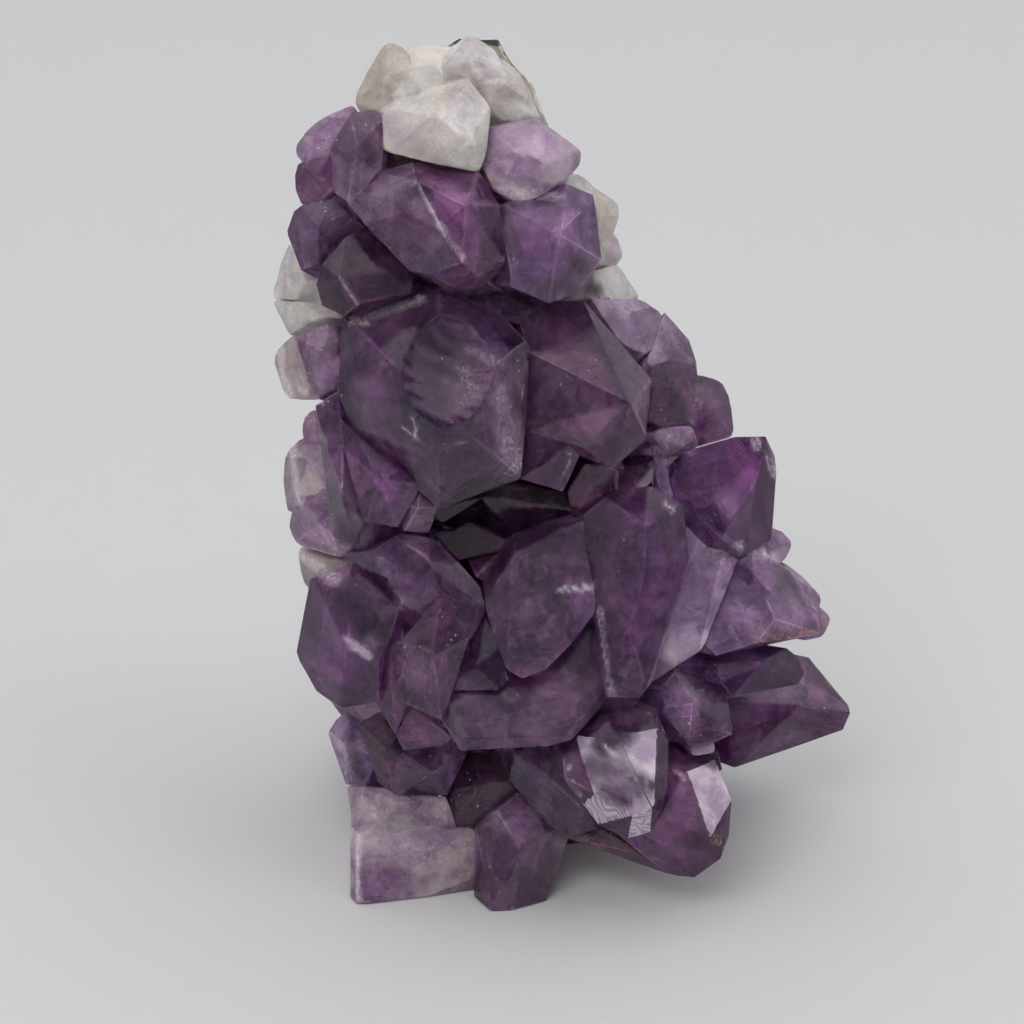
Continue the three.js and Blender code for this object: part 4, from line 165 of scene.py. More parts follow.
# crowded crystals: name, seed, zone, axis, corners
CROWDED = [
    ["c_big", 100, "a", 0.052, -0.901, 0.43, [[-8.79, -0.78, 56.02], [-18.62, -2.37, 52.64], [-7.75, 6.73, 70.06], [-11.32, 8.81, 73.78], [-8.83, -9.47, 84.58], [-30.91, 4.41, 64.75], [-28.69, 2.08, 60.5], [-29.25, -18.1, 69.3], [-4.57, -12.76, 80.79], [-5.09, -12.77, 81.57], [-5.01, -18.11, 73.18], [-17.06, -27.24, 77.46], [-30.38, 9.03, 73.38], [-19.67, 10.64, 76.84], [-5.85, -21.17, 64.13], [-5.9, -21.09, 63.79], [-17.34, -27.49, 77.42], [-17.55, -27.54, 77.45], [-17.58, -22.49, 59.89], [-17.39, -22.39, 59.66], [-17.39, -8.11, 88.06], [-18.63, -7.37, 88.21], [-17.94, -26.88, 77.94], [-18.05, -27.18, 77.27], [-17.57, -27.53, 77.47], [-31.89, -15.36, 74.39], [-31.27, -9.79, 84.43]]],
    ["c_rt", 101, "a", 0.397, -0.882, 0.252, [[-5.43, -16.01, 69.24], [-4.96, -13.07, 80.09], [0.85, 6.35, 74.23], [-6, -8.7, 82.78], [9.43, -21.43, 75.8], [12.9, -11.35, 74.9], [12.86, -11.1, 74.99], [-1.95, -5.72, 84.93], [3.46, -6.21, 84.81], [3.34, -6.37, 84.88], [-3.15, 7.82, 79.13], [-1.97, 6.87, 75.11], [-11.46, 6.41, 77.26], [-7.52, 8.36, 79.16], [-7.96, 8.31, 79.21], [-10.7, -0.66, 65.83], [-8.31, -0.89, 64.75], [-0.25, -2.85, 61.56], [2.97, -19.35, 67.99], [-4.96, -16.28, 69.11], [-0.12, -2.74, 61.71], [3.79, -2.13, 65.24], [4.46, 4.1, 70.9], [4.65, 3.87, 70.86], [9.49, -21.48, 75.73], [7.13, -18.89, 64.2], [11.93, -18.14, 68.54]]],
    ["c_top", 102, "a", 0.059, -0.709, 0.702, [[-5.94, 2.27, 76.13], [-4.63, 0.69, 73.48], [-8.81, -9.48, 83.69], [-9.1, -9.5, 83.92], [-3.09, -7.54, 81.04], [-4.49, -6.05, 84.2], [-7.9, -6.88, 86.2], [-13.04, 2.8, 77.96], [-15.24, -6.33, 85.14], [-13.18, -5.31, 86.35], [-9.5, -0.9, 75.69], [-4.81, 0.69, 73.51], [-14.97, 1.72, 76.97], [-14.85, 1.94, 76.87]]],
    ["c_sm", 103, "a", 0.171, -0.977, 0.129, [[0.19, -18.11, 60.4], [-6.78, -5.09, 66.98], [-5.96, -17.85, 62.32], [-5.39, -16.01, 69], [0.86, -17.87, 68.42], [0.37, -6.74, 65.2], [-1.54, -6.26, 66.42], [0.61, -18.33, 61.29], [2.98, -17.85, 66.88], [1.3, -18.11, 68.18], [-2.22, -18.73, 64.92], [-2.08, -18.71, 65.21], [-7.27, -6.56, 61.29], [-6.82, -5.1, 66.56], [-2.05, -6.78, 59.65], [-1.69, -6.51, 60.57]]],
    ["c_dk", 104, "d", 0.171, -0.977, 0.129, [[3.34, -15.78, 64.04], [3.25, -15.84, 63.84], [0.8, -14.66, 58.82], [1.7, -14.57, 54.32], [1.64, -14.68, 54.68], [5.41, -3.48, 60.39], [4.09, -3.43, 55.97], [0.08, -3.38, 53.62], [4.41, -16.04, 60.73], [4.4, -16.03, 60.64], [7.96, -14.68, 62.29], [6.43, -14.72, 57.09], [-0.68, -3.48, 57.45], [-0.64, -3.42, 57.24], [1.48, -4.39, 61.88], [5.32, -3.48, 60.42]]],
    ["f_F", 105, "a", 0.087, -0.993, -0.08, [[-7.06, -20.6, 51.19], [-11.53, -4.89, 46.82], [-11.25, -23.31, 45.38], [1.95, -5.84, 45.66], [2.14, -4.93, 46.56], [-11.02, -5.72, 45.72], [3.12, -1.98, 50.43], [-6.67, -20.16, 51.75], [-0.19, -17.9, 54.5], [-3.93, -10.81, 40.75], [-2.47, -30.71, 38.13], [0.56, -17.81, 54.61], [3.57, -16.34, 55.06], [5.96, -19.78, 49.63], [4.68, -24.65, 44.11], [1.22, -28.35, 41.07], [-2.16, 0.01, 54.58], [1.21, 1.14, 54.59], [1.05, 1.18, 55.05], [-11.11, -4.42, 47.43], [-7.63, -2.3, 52.24], [-8.86, -10.62, 40.91], [-6.78, -11.68, 39.89], [-5.66, -31.49, 37.19], [-7.68, -30.77, 38.16], [-8.09, -30.4, 38.38]]],
    ["f_dp", 106, "a", -0.1, -0.981, -0.166, [[-13.51, -10.61, 40.14], [-14.48, -12.43, 36.82], [-6.68, -13.93, 38.83], [-8.01, -14.17, 37.73], [-9.24, -30.13, 34.63], [-7.65, -11.33, 43.23], [-9.49, -8.88, 44.99], [-16.85, -28.07, 33.57], [-8.81, -26.79, 41.11], [-7.66, -29.72, 35.95], [-8.72, -30.22, 35.04], [-8.73, -27.38, 40.57], [-12.11, -28.79, 37.98], [-12.07, -28.72, 38.11], [-11.91, -28.59, 38.36], [-15.71, -25.94, 37.47], [-10.97, -23.91, 43.18]]],
    ["f_H", 107, "a", 0.041, -0.998, -0.051, [[-5.95, -23.66, 39.55], [-14.53, -33.43, 26.86], [-17.14, -29.95, 29.54], [-14.42, -33.6, 26.85], [6.38, -28.12, 31.88], [1.05, -32.82, 28.8], [5.87, -6.42, 37.02], [-15.78, -8.89, 34.14], [-6.39, -5.17, 39.45], [2.41, -4.13, 40.67], [-15.88, -10.97, 30.95], [-6.11, -23.74, 39.46], [-14.81, -33.22, 28.68], [-14.58, -33.35, 28.63], [-14.71, -33.36, 28.59], [-17.01, -27.24, 33.3], [-1.96, -33.13, 27.26], [1.5, -32.78, 28.25], [1.35, -32.9, 28.2], [8.44, -24.43, 36.68], [7.94, -25.57, 35.45], [1.65, -32.07, 29.65], [4.21, -22.19, 40.96], [4.42, -22.11, 40.98], [-13.66, -13.79, 28.69], [-15.86, -10.98, 30.93], [-2.97, -13.92, 28.99], [-0.07, -12.97, 29.89], [4.11, -9.49, 32.94], [4.36, -8.67, 33.62]]],
    ["r_G", 108, "a", 0.171, -0.586, 0.792, [[0.58, -6.05, 39.38], [12.68, -11.48, 31.98], [3.47, -17.18, 21.8], [3.69, -18.02, 20.83], [8.37, -14.33, 59.32], [5.77, -4.41, 42.59], [9.8, -4.48, 42.93], [9.31, -17.87, 22.93], [7.88, -18.73, 21.39], [12.87, -30.01, 35.99], [18.36, -20.35, 50.87], [6.22, -30.45, 33.76], [11.14, -30.88, 34], [12.21, -30.63, 35.42], [6.52, -30.65, 33.96], [17.57, -15.95, 57.27], [13.92, -9.46, 35.37], [13.32, -5.9, 41.03], [12.14, -20.12, 55.88], [17.32, -15.9, 57.53], [12.58, -14.45, 59.75], [13.45, -14.34, 59.61], [11.92, -24.08, 50.83], [9.49, -28.78, 43.25], [9.17, -28.82, 43], [12.02, -20.28, 55.76], [6.19, -15.32, 58.39], [2.47, -15.91, 55.27], [2.82, -17.29, 53.72]]],
    ["r_D", 109, "a", 0.663, -0.218, 0.716, [[16.58, -6.45, 47.91], [16.05, -11.29, 59.68], [17.65, -9.87, 63.15], [5.34, -5.99, 47.98], [17.44, -13.19, 57.15], [27.57, -14.86, 60.19], [16.36, -9.85, 37.99], [24.91, -10.77, 65.85], [29.29, -11.9, 66.46], [29.97, -10.18, 62.2], [30.81, -10.56, 62.7], [28.02, -14.68, 60.78], [30.42, -14.44, 51.12], [29.32, -12.13, 66.07], [28.14, -14.61, 60.98], [31.11, -11.65, 60.2], [30.53, -14.33, 51.63], [26.06, -16.77, 49.62], [15.9, -9.92, 37.72], [5.29, -9.06, 42.23], [12.57, -11.79, 36.64], [12.49, -11.78, 36.67], [3.89, -7.08, 45], [3.94, -6.89, 45.21], [17.7, -13.72, 56.15], [5.44, -9.19, 42.16], [10.03, -11.91, 39.25], [23.11, -16.91, 52.72]]],
    ["r_col", 110, "p", 0.587, -0.374, 0.718, [[12.93, -24.86, 37.49], [18.06, -11.78, 56.21], [18.14, -12.29, 55.98], [26.13, -15.24, 50.16], [17.23, -25.55, 36.77], [26.13, -15.61, 50.03], [23.61, -15.63, 51.52], [20.31, -24.37, 38.36], [19.69, -24.74, 38.11], [13.3, -8.23, 34.96], [6.3, -5.21, 39.89], [2.12, -16.44, 24.23], [5.54, -16.85, 23.35], [8.08, -15.8, 24.61]]],
    ["r_I", 111, "a", 0.858, -0.504, 0.102, [[20.26, -21.59, 38.5], [28.23, -22.31, 38.37], [22.32, -22.86, 36.55], [22.42, -22.94, 36.65], [37.35, -12.96, 39.23], [3.28, -7.13, 41.24], [6.01, -3.48, 44.56], [33.68, -10.28, 43.9], [14.11, -0.24, 41.33], [11.34, -0.43, 44.02], [37.47, -13.29, 38.96], [30.81, -20.61, 41.39], [30.46, -20, 42.31], [37.77, -15.84, 36.57], [24.21, -14.15, 47.72], [30.08, -10.33, 47.02], [30.35, -10.4, 46.93], [17.57, -2.69, 37.4], [14.16, -0.29, 41.18], [17.7, -5.02, 35.13], [4.63, -11.02, 35.11], [3, -10.02, 36.78], [2.92, -9.79, 37.04], [30.3, -19.85, 42.53], [28.28, -16.37, 46.04], [24.43, -14.73, 47.51], [20.69, -18.7, 43.13], [20.46, -18.12, 43.72]]],
    ["r_fr", 112, "a", 0.383, -0.302, 0.873, [[25.66, -16.37, 49.1], [27.02, -14.41, 50.57], [31.04, -16.79, 46.07], [29.59, -13.57, 49.76], [27.44, -14.32, 50.57], [30.37, -18.91, 44.74], [27.89, -18.28, 46.93], [27.69, -18.11, 47.21], [24.46, -10.07, 38.12], [25.65, -12.77, 34.91], [22.21, -10.73, 38.65], [23.04, -14.09, 35.78], [21.12, -12.44, 37.57], [25.03, -14.53, 33.68], [25.03, -14.41, 33.66]]],
    ["r_J", 113, "a", 0.853, -0.517, 0.075, [[7.83, -13.25, 31.3], [9.63, -13.85, 29.32], [22.71, -21.51, 34.77], [34.42, -18.98, 29.84], [35.73, -16.77, 30.5], [34.66, -18.85, 29.91], [28.99, -21.49, 35], [34.51, -15.9, 33.02], [32.92, -16.43, 34.66], [29, -21.83, 34.66], [28.98, -21.83, 34.69], [24.84, -24.14, 30.39], [23.08, -23.67, 32.75], [10.44, -13.32, 29.26], [17.69, -9.41, 28.85], [18.78, -7.53, 29.41], [15.89, -7.14, 33.12], [7.83, -11.44, 33.23], [7.8, -11.48, 33.17], [17.83, -6.83, 31.55], [18.55, -7.39, 29.54], [17.38, -7.99, 29.63]]],
    ["r_K", 114, "a", 0.837, -0.548, 0.008, [[24.59, -10.67, 23.05], [25.79, -14.67, 13.79], [25.78, -14.69, 13.72], [16.76, 14.47, 22.62], [42.54, -4.59, 14.77], [21.89, 11.34, 17.26], [21.14, 8.63, 15.12], [42.65, -4.5, 14.78], [5.69, 3.46, 22.16], [16.52, 14.33, 22.61], [6.72, 0.03, 14.23], [7.02, 0.35, 14.26], [24.75, -10.61, 23.06], [37.59, 2.29, 23.59], [35.79, -7.42, 20.49], [35.94, -7.35, 20.41], [35.66, -7.43, 20.59], [37.68, 2.24, 23.54], [43.69, -1.42, 17.28], [43.89, -2.53, 16.61]]],
    ["r_L", 115, "a", 0.763, -0.611, 0.211, [[14.79, -27.04, 29.63], [10.9, -14.47, 21.97], [3.89, -11.94, 29.8], [2.08, -14.25, 27.96], [24.2, -22.18, 29.05], [10.36, -12.07, 25.44], [8.1, -11.11, 28.15], [24.91, -25.06, 25], [24.95, -24.84, 25.44], [22.4, -26.84, 24.63], [18.84, -26.53, 30.72], [18.53, -29.11, 25.19], [16.61, -22.05, 34.19], [21.89, -21.31, 32.35], [22.14, -21.45, 32.17], [2.3, -16.16, 25.92], [2.07, -14.45, 27.7], [5.44, -17.88, 22.13], [8.76, -15.98, 21.66], [9.54, -15.3, 21.77], [16.47, -22.79, 33.86], [14.97, -26.76, 30.23], [14.42, -24.71, 32], [18.83, -26.52, 30.75], [18.87, -26.19, 31.04]]],
    ["r_L2", 116, "p", 0.492, -0.869, -0.051, [[11.79, -14.7, 24.99], [14.87, -14.04, 25.21], [12.04, -15.09, 23.54], [14.9, -14.47, 23.76], [22.25, -26.5, 24.62], [18.62, -27.28, 24.37], [22.28, -27.01, 22.91], [18.91, -27.73, 22.66]]],
    ["r_L3", 117, "d", 0.413, -0.902, -0.123, [[18.15, -27.54, 19.86], [18.19, -26.6, 22.09], [22.87, -25.56, 22.37], [23.53, -26.56, 19.67], [21.88, -27.08, 19.21], [13.15, -14.7, 23.48], [13.11, -15.5, 21.6], [17.12, -13.81, 23.73], [16.28, -15.1, 21.05], [17.68, -14.66, 21.44]]],
    ["f_P", 118, "a", 0.406, -0.914, -0.021, [[0.19, -31.01, 24.32], [2.07, -30.59, 27.16], [6.93, -25.59, 30.92], [-1.48, -7.18, 30.13], [6.79, -26.01, 30.77], [2.23, -30.39, 27.49], [2.23, -30.23, 27.58], [12.7, -36.1, 14.96], [0.54, -15.84, 15.54], [10.11, -39.17, 19.54], [-7.07, -12.95, 22.1], [-2.87, -15.36, 17.14], [-7.28, -11.65, 24.5], [-7.32, -11.61, 24.34], [-5.58, -10.9, 27.28], [-1.66, -7.28, 30.02], [13.75, -29.99, 28.43], [8.35, -32.2, 27.81], [8.98, -31.36, 28.38], [12.76, -39.25, 20.59], [15.4, -30.04, 26.4], [3.88, -6.91, 29.26], [9.96, -39.02, 19.24], [9.42, -36.03, 13.77], [9.47, -36.06, 13.78], [5.3, -35.46, 15.71], [5.22, -35.51, 15.86], [2.93, -34.61, 18.78], [4.48, -35.9, 21.34], [4.89, -36.22, 21.1], [0.57, -32.76, 21.93], [0.48, -32.67, 21.4], [13.93, -29.69, 28.53], [13.5, -26.22, 29.97], [13.67, -25.65, 29.88], [15.46, -30.42, 26.31], [15.43, -30.08, 26.45], [13.1, -38.81, 20.89], [15.1, -35.7, 21.77], [5.66, -10.83, 26.27], [3.33, -15.9, 16.55], [4.15, -7.01, 29.23], [12.79, -39.24, 20.59], [12.82, -39.22, 20.61], [14.2, -36.7, 18.57], [12.72, -36.11, 14.99], [12.97, -36.14, 15.46]]],
    ["f_Q", 119, "a", 0.671, -0.718, -0.183, [[10.9, -34.71, 13.19], [14.5, -35.94, 18], [14.33, -35.9, 17.73], [14.55, -35.94, 18.01], [0.68, -19.96, 21.29], [15.43, -34.61, 7.2], [11.36, -34.87, 10.8], [11.59, -34.94, 10.64], [-2.18, -18.83, 15.23], [1.52, -18.89, 12.09], [7.53, -11.74, 23.89], [4.13, -18.27, 11.42], [3.61, -15.04, 24.29], [22.46, -26.13, 21.31], [17.98, -30.18, 21.53], [18.26, -30.01, 21.51], [24.3, -32.38, 12.36], [24.77, -29.16, 16.43], [24.75, -29.13, 16.51], [5.94, -19.5, 10.85], [4.57, -18.39, 11.3], [10.27, -15.05, 19.71], [9.13, -13.86, 20.44], [7.5, -11.68, 24.06], [7.51, -11.67, 24.1], [3.67, -14.61, 24.32], [-2.22, -18.8, 15.33], [-2.35, -18.96, 17.19], [-2.29, -18.93, 17.36], [23.29, -34.47, 11.21], [23.14, -34.07, 9.43], [20.77, -35.59, 14.01], [19.33, -33.98, 6.19], [16.78, -34.59, 6.84], [21.36, -35.43, 13.76], [21.39, -35.42, 13.75]]],
    ["r_thin", 120, "p", 0.062, -0.343, 0.937, [[15.49, -8.24, 61.75], [16.29, -12.45, 56.83], [14.38, -13.25, 56.65], [16, -12.67, 57.03], [13.43, -10.58, 60.66], [13.72, -7.9, 64.36], [13.87, -7.96, 64.24], [14.56, -4.12, 49.32], [13.63, -8.41, 45.07], [15.24, -7.68, 45.1], [12.8, -6.01, 48.15], [12.82, -6.07, 48.02], [13.06, -3.85, 51.62], [14.54, -4.11, 49.34]]],
    ["l_drk", 121, "a", -0.397, -0.882, 0.252, [[-21, -10.18, 91.31], [-21.56, -10.21, 91.76], [-27.86, -7.07, 96.78], [-15.9, 3.61, 87.16], [-30.24, -13.98, 85.62], [-30.8, -14.3, 85.86], [-30.72, -9.52, 95.94], [-31.09, -14.99, 91.54], [-31.21, -14.89, 91.82], [-16.53, 1.59, 84.86], [-24.07, -0.3, 82.49], [-21.82, 6.05, 91.88], [-21.79, 6.07, 91.85], [-33.93, -13, 86.99], [-33.99, -13, 87.16], [-28.83, -15.6, 88.45], [-28.86, -15.57, 88.32], [-27, -14.13, 87.04], [-21.51, -11.92, 88.64], [-21.46, -11.79, 88.38], [-31.36, -14.72, 92.01], [-31.33, -14.8, 91.94], [-34.77, -12.32, 89.9], [-16, 3.27, 86.56], [-16.39, 1.99, 84.94], [-24.18, 0.21, 82.51], [-26.95, 1.07, 83.52], [-26.91, 2.29, 88.46], [-24.47, 4.08, 90.85], [-31.1, -9.64, 95.66], [-33.9, -11.61, 92.8], [-21.88, 6, 91.74], [-26.8, 1.24, 83.74], [-26.96, 1.12, 83.59], [-27.63, 1.71, 85.98], [-27.5, 1.86, 86.27]]],
    ["u_prs", 122, "a", -0.497, -0.621, 0.606, [[-18.58, -14.56, 92.45], [-10.52, -3.28, 83.01], [-14.64, -14.99, 94.23], [-6.98, -3.35, 84.27], [-12.97, 4.28, 94.76], [-12.76, 4.71, 94.23], [-9.44, -2.91, 89.4], [-7.15, -2.96, 84.78], [-30.13, -6.92, 99.9], [-16.93, 4.9, 92.9], [-27.7, -10.01, 97.96], [-21.6, -13.68, 92.63], [-20.16, -14.27, 92.65], [-21.08, -5.26, 105.78], [-13.28, -2.81, 83.39], [-12.68, -2.65, 83.13], [-20.58, 2.99, 89.62], [-20.03, 3.43, 89.49], [-22.58, -11.52, 100.63], [-17.73, -13.85, 99.09], [-17.05, -13.74, 99.64], [-16.94, -13.95, 99.32], [-29.78, -6.78, 100.41], [-21.28, -10.14, 103.71], [-20.35, -9.92, 104.5], [-20.33, -9.98, 104.47], [-26.18, -5.04, 104.16]]],
    ["u_mag", 123, "a", 0.25, -0.602, 0.758, [[-23.75, 0.19, 90.17], [-24.25, 4.54, 91.48], [-15.18, -4.8, 105.8], [-20.88, -5.21, 105.75], [-19.35, 4.8, 91.83], [-24.25, 4.6, 91.58], [-17, -13.41, 99.39], [-20.48, -9.86, 103.29], [-20.42, -9.49, 104.19], [-7.95, -11.75, 93.16], [-18.95, 4.66, 91.58], [-16.3, 3.18, 91], [-14, 1.03, 87.41], [-13.18, -1.15, 81.13], [-13.27, -1.13, 81.05], [-13.53, -13.76, 102.52], [-11.95, -6.6, 105.09], [-11.61, -6.66, 104.76], [-8.79, -9.44, 100.86], [-16.62, -2.04, 79.49], [-16.58, -2.04, 79.49], [-18.72, -4.03, 82.29], [-11.89, -12.92, 91.36], [-14.66, -14.71, 94.06], [-14.11, -14.83, 94.08]]],
    ["u_pur", 124, "a", 0.401, -0.858, 0.322, [[-14.24, 5.54, 94.22], [-1.99, 5.44, 87.53], [-4.45, 2.99, 84.04], [2.3, -10.67, 88.06], [-1.79, -13.11, 87.41], [-12.59, 1.49, 85.41], [-8.19, 1.61, 83.3], [4.41, -3.89, 100.34], [-2.65, 8.82, 94.49], [-6.16, 8.62, 95.97], [4.6, -4.41, 99.91], [5.69, -8.81, 92.46], [5.66, -8.9, 92.4], [0.39, -4.48, 102.27], [0.59, -4.55, 102.24], [-0.35, -12.87, 97.79], [-0.13, -12.35, 98.08], [-9.35, -7.53, 99.95], [-8.52, -7.76, 100.3], [-0.42, -12.91, 97.77], [-0.85, -12.87, 97.78], [-1.9, -13.18, 87.5], [-7.31, -12.55, 89.72], [-7.39, -12.43, 92.4]]],
    ["t_big", 125, "w", 0.262, -0.945, 0.198, [[-11.59, -7.27, 104.9], [-16.25, -8.54, 106.17], [-25.11, -5.76, 107.51], [-24.64, -6.06, 107.46], [-13.56, -8.27, 110.2], [-25.28, -2.82, 112.33], [-27.45, 9.38, 109.4], [-24.99, 10.78, 111.32], [-15.22, 4.27, 103.29], [-15.46, 5.65, 103.6], [-27.18, 6.19, 105.48], [-27.26, 6.74, 105.6], [-18.22, -6.38, 113.06], [-22.46, -0.58, 114.48], [-24.59, -2.87, 112.91], [-14.28, 9.84, 109.57], [-16.92, 11.86, 112.58], [-10.57, -7.28, 107.58], [-13.11, -8.15, 110.1], [-9.98, -2.02, 112.74], [-10.14, -1.98, 113.01], [-17.82, -6.47, 113.12], [-17.85, -6.46, 113.12], [-18.26, -1.06, 115.38], [-13.11, 0.81, 115.9], [-12.87, 0.49, 115.75]]],
    ["t_lil", 126, "p", 0.341, -0.864, 0.37, [[-10.44, -1.13, 109.62], [-6.69, -7.12, 100.27], [-2.79, 8.71, 99.43], [-8.38, 5.14, 96.44], [-10.72, 4.44, 96.3], [-13.86, 9.35, 104.32], [-10.44, -1.43, 109.5], [-6.13, -7.25, 107.39], [-4.71, -7.21, 107.46], [-14.87, 6.32, 100.43], [-13.42, 4.83, 97.82], [2.64, -2.13, 103.98], [-3.65, 0.1, 110.4], [-3.44, -0.05, 110.35], [-2.7, 9.8, 100.93], [-8.28, 11.03, 104.66], [2.86, -1.09, 105.83], [2.51, -1.29, 106.31], [-6.26, -7.26, 107.3], [-9.12, -7.22, 101.9], [-9.78, -6.92, 102.16], [-11.33, -5.7, 105.46], [-2.61, -7.12, 106.31], [-2.11, -6.89, 106.14], [0.17, -5.57, 102.87], [-3.86, -7.04, 100.67], [-3.72, -6.98, 100.67]]],
    ["t_left", 127, "w", -0.241, -0.442, 0.864, [[-24.7, 4.91, 120.33], [-21.97, 4.32, 119.33], [-18.87, 7.36, 105.68], [-20.57, 5.19, 102.63], [-22.21, 4.85, 101.31], [-25.43, 8.03, 102.31], [-19.39, 9.64, 107.7], [-19.29, 9.37, 107.29], [-29.63, 1.81, 112.66], [-25.8, 7.65, 101.73], [-25.02, 6.35, 101.01], [-26.66, 4.73, 118.04], [-24.72, 4.93, 120.32], [-23.35, 10.01, 106.58], [-21.59, 10.39, 108.01], [-25.33, -1.39, 111.97], [-28.61, 0.41, 111.56], [-29.47, 1.43, 112.57], [-25.83, -1.27, 112.12], [-24.73, -0.03, 116.74], [-21.39, 1.6, 117.03], [-21.46, 1.75, 117.35], [-24.65, -0.13, 116.64], [-24.63, -0.22, 116.48], [-23.48, -1.16, 113.83]]],
    ["t_fac", 128, "w", 0.062, -0.343, 0.937, [[-24.32, -1.04, 114.08], [-22.47, -1.98, 114.12], [-17.71, 2.47, 117.72], [-16.42, -0.2, 115.84], [-22.11, -1.92, 114.32], [-22.81, 2.01, 117.15], [-22.89, 1.82, 117.01], [-17.86, 4.3, 103.73], [-23.02, 2.87, 102.03], [-24.59, 3.59, 102.21], [-23.3, 6.2, 104.8], [-24.49, 3.8, 102.35], [-18.97, 6.63, 105.15], [-18.79, 6.26, 104.77]]],
    ["t_l2", 129, "p", -0.504, -0.247, 0.827, [[-29.8, 1.16, 110.58], [-32.86, -2.07, 106.32], [-30.36, 0.62, 110.11], [-23.83, 4.43, 99.28], [-26.47, 1.66, 95.74], [-29.49, 2.58, 93.81], [-36.35, -0.95, 103.95], [-33.93, -1.81, 105.8], [-38, 1.04, 104.45], [-38.02, 2.16, 105.83], [-37.44, 2.29, 106.7], [-23.74, 6.11, 100.21], [-29.62, 3.19, 111.52], [-34.58, 3.07, 109.23], [-34.19, 3.07, 109.49], [-30.71, 4.36, 93.97], [-30.52, 4.24, 93.84], [-30.92, 5.22, 95.43], [-27.95, 6.02, 98.2]]],
    ["u_l1", 130, "a", -0.72, -0.472, 0.509, [[-32.34, -4.21, 101.13], [-32.5, -1.39, 105.82], [-38, -0.94, 99.88], [-37.19, -2.46, 98.41], [-38.09, -0.09, 101.88], [-34.91, -3.39, 98.68], [-32.62, -4.29, 101.13], [-32.74, -1.41, 105.9], [-34.78, -3.38, 103.54], [-34.81, -3.37, 103.53], [-34.35, -0.22, 105.51], [-37.58, -0.03, 103.57], [-37.61, -0.04, 103.54], [-29.3, 4.39, 94.31], [-24.66, 3.99, 99.38], [-24.33, 1.73, 95.26], [-26.72, 2.27, 93.32], [-26.31, 4.94, 99.18], [-28.46, 3.2, 92.97], [-28.59, 5.38, 97.19], [-29.26, 5.18, 95.93]]],
    ["u_rnd", 131, "a", -0.166, -0.432, 0.886, [[-29.95, 3.1, 94.89], [-23.84, 0.23, 93.39], [-24.87, -1.28, 111.75], [-29.58, -0.51, 111.67], [-23.41, 3.82, 99.76], [-27.26, 4.7, 99.13], [-24.92, -1.61, 111.54], [-25.5, -5.94, 105.24], [-29.69, 0.61, 90.78], [-27.67, -0.88, 89.35], [-32.26, -5.01, 101.16], [-29.92, -0.78, 111.45], [-32.82, -2.56, 107.08], [-32.83, -3.03, 106.69], [-28.88, -5.92, 108.32], [-29.04, -6.32, 107.84], [-25.58, -5.99, 105.23], [-28.97, -6.45, 107.57], [-29.99, -7.01, 99.93], [-30.31, -7.03, 100.46]]],
    ["l_a", 132, "a", -0.663, -0.421, 0.619, [[-28.33, -1.63, 82.96], [-25.73, -3.38, 84.6], [-39.22, -3.13, 94.5], [-38.23, -2.32, 97.21], [-29.22, 2.59, 89], [-39.05, -3.89, 93.91], [-37.24, -7.3, 90.11], [-28.33, -1.56, 82.99], [-29.93, 1.98, 86.63], [-29.65, 2.18, 87.11], [-21.94, -0.53, 88.98], [-37.03, -3.02, 98.49], [-32.22, -3.87, 100.21], [-34.94, -7.08, 97.28], [-34.5, -7.59, 97.22], [-34.46, -7.66, 97.16], [-34.31, -9.4, 92.08], [-34.61, -9.4, 92.12], [-21.87, -0.48, 89.1], [-22, -0.32, 89.23], [-24.14, 1.29, 91.53], [-32.17, -3.87, 100.2], [-32.84, -8.25, 95.15], [-34.12, -7.64, 97.14], [-29.73, -5.94, 97.59], [-30.53, -5.76, 98.45]]],
    ["l_gry", 133, "p", -0.621, -0.624, 0.475, [[-38.16, -7.63, 80.15], [-38.12, -7.94, 79.84], [-36.08, -11.42, 73.98], [-34.8, -12.82, 72.42], [-35.02, -12.76, 72.65], [-34.07, -11.82, 79.31], [-31.33, -12.92, 74.95], [-23.66, -3.13, 73.07], [-29.63, -0.06, 73.68], [-23.81, -4.56, 69.25], [-25.01, -1.36, 75.94], [-26.5, -4.2, 66.92], [-27.67, -3.1, 68.31], [-34.11, -11.72, 79.53], [-34.07, -11.78, 79.42], [-33.03, -9.45, 83.07], [-31.3, -11.4, 79.57]]],
    ["l_wht", 134, "w", -0.863, -0.485, 0.143, [[-29.82, 1.18, 73.21], [-28.39, -1.5, 69.39], [-39.68, -7.83, 70.59], [-39.52, -8.08, 70.64], [-39.73, -7.68, 75.33], [-41.55, -4.79, 75.1], [-41.5, -4.87, 75.6], [-25.72, -3.7, 69.94], [-36.63, -10.49, 71.25], [-39.41, -7.94, 75.56], [-36, -10.86, 73.91], [-36.05, -10.86, 73.8], [-37.46, -8.33, 77.96], [-37.71, -8.07, 78.19], [-26.32, -1.81, 75.62], [-25.27, -4.07, 72.21], [-25.58, -3.71, 70.27], [-28.96, 1.17, 75.29], [-40.41, -4.73, 77.54], [-38.52, -5.62, 79.62], [-27.49, 0.46, 76.94], [-27.44, 0.37, 77.08]]],
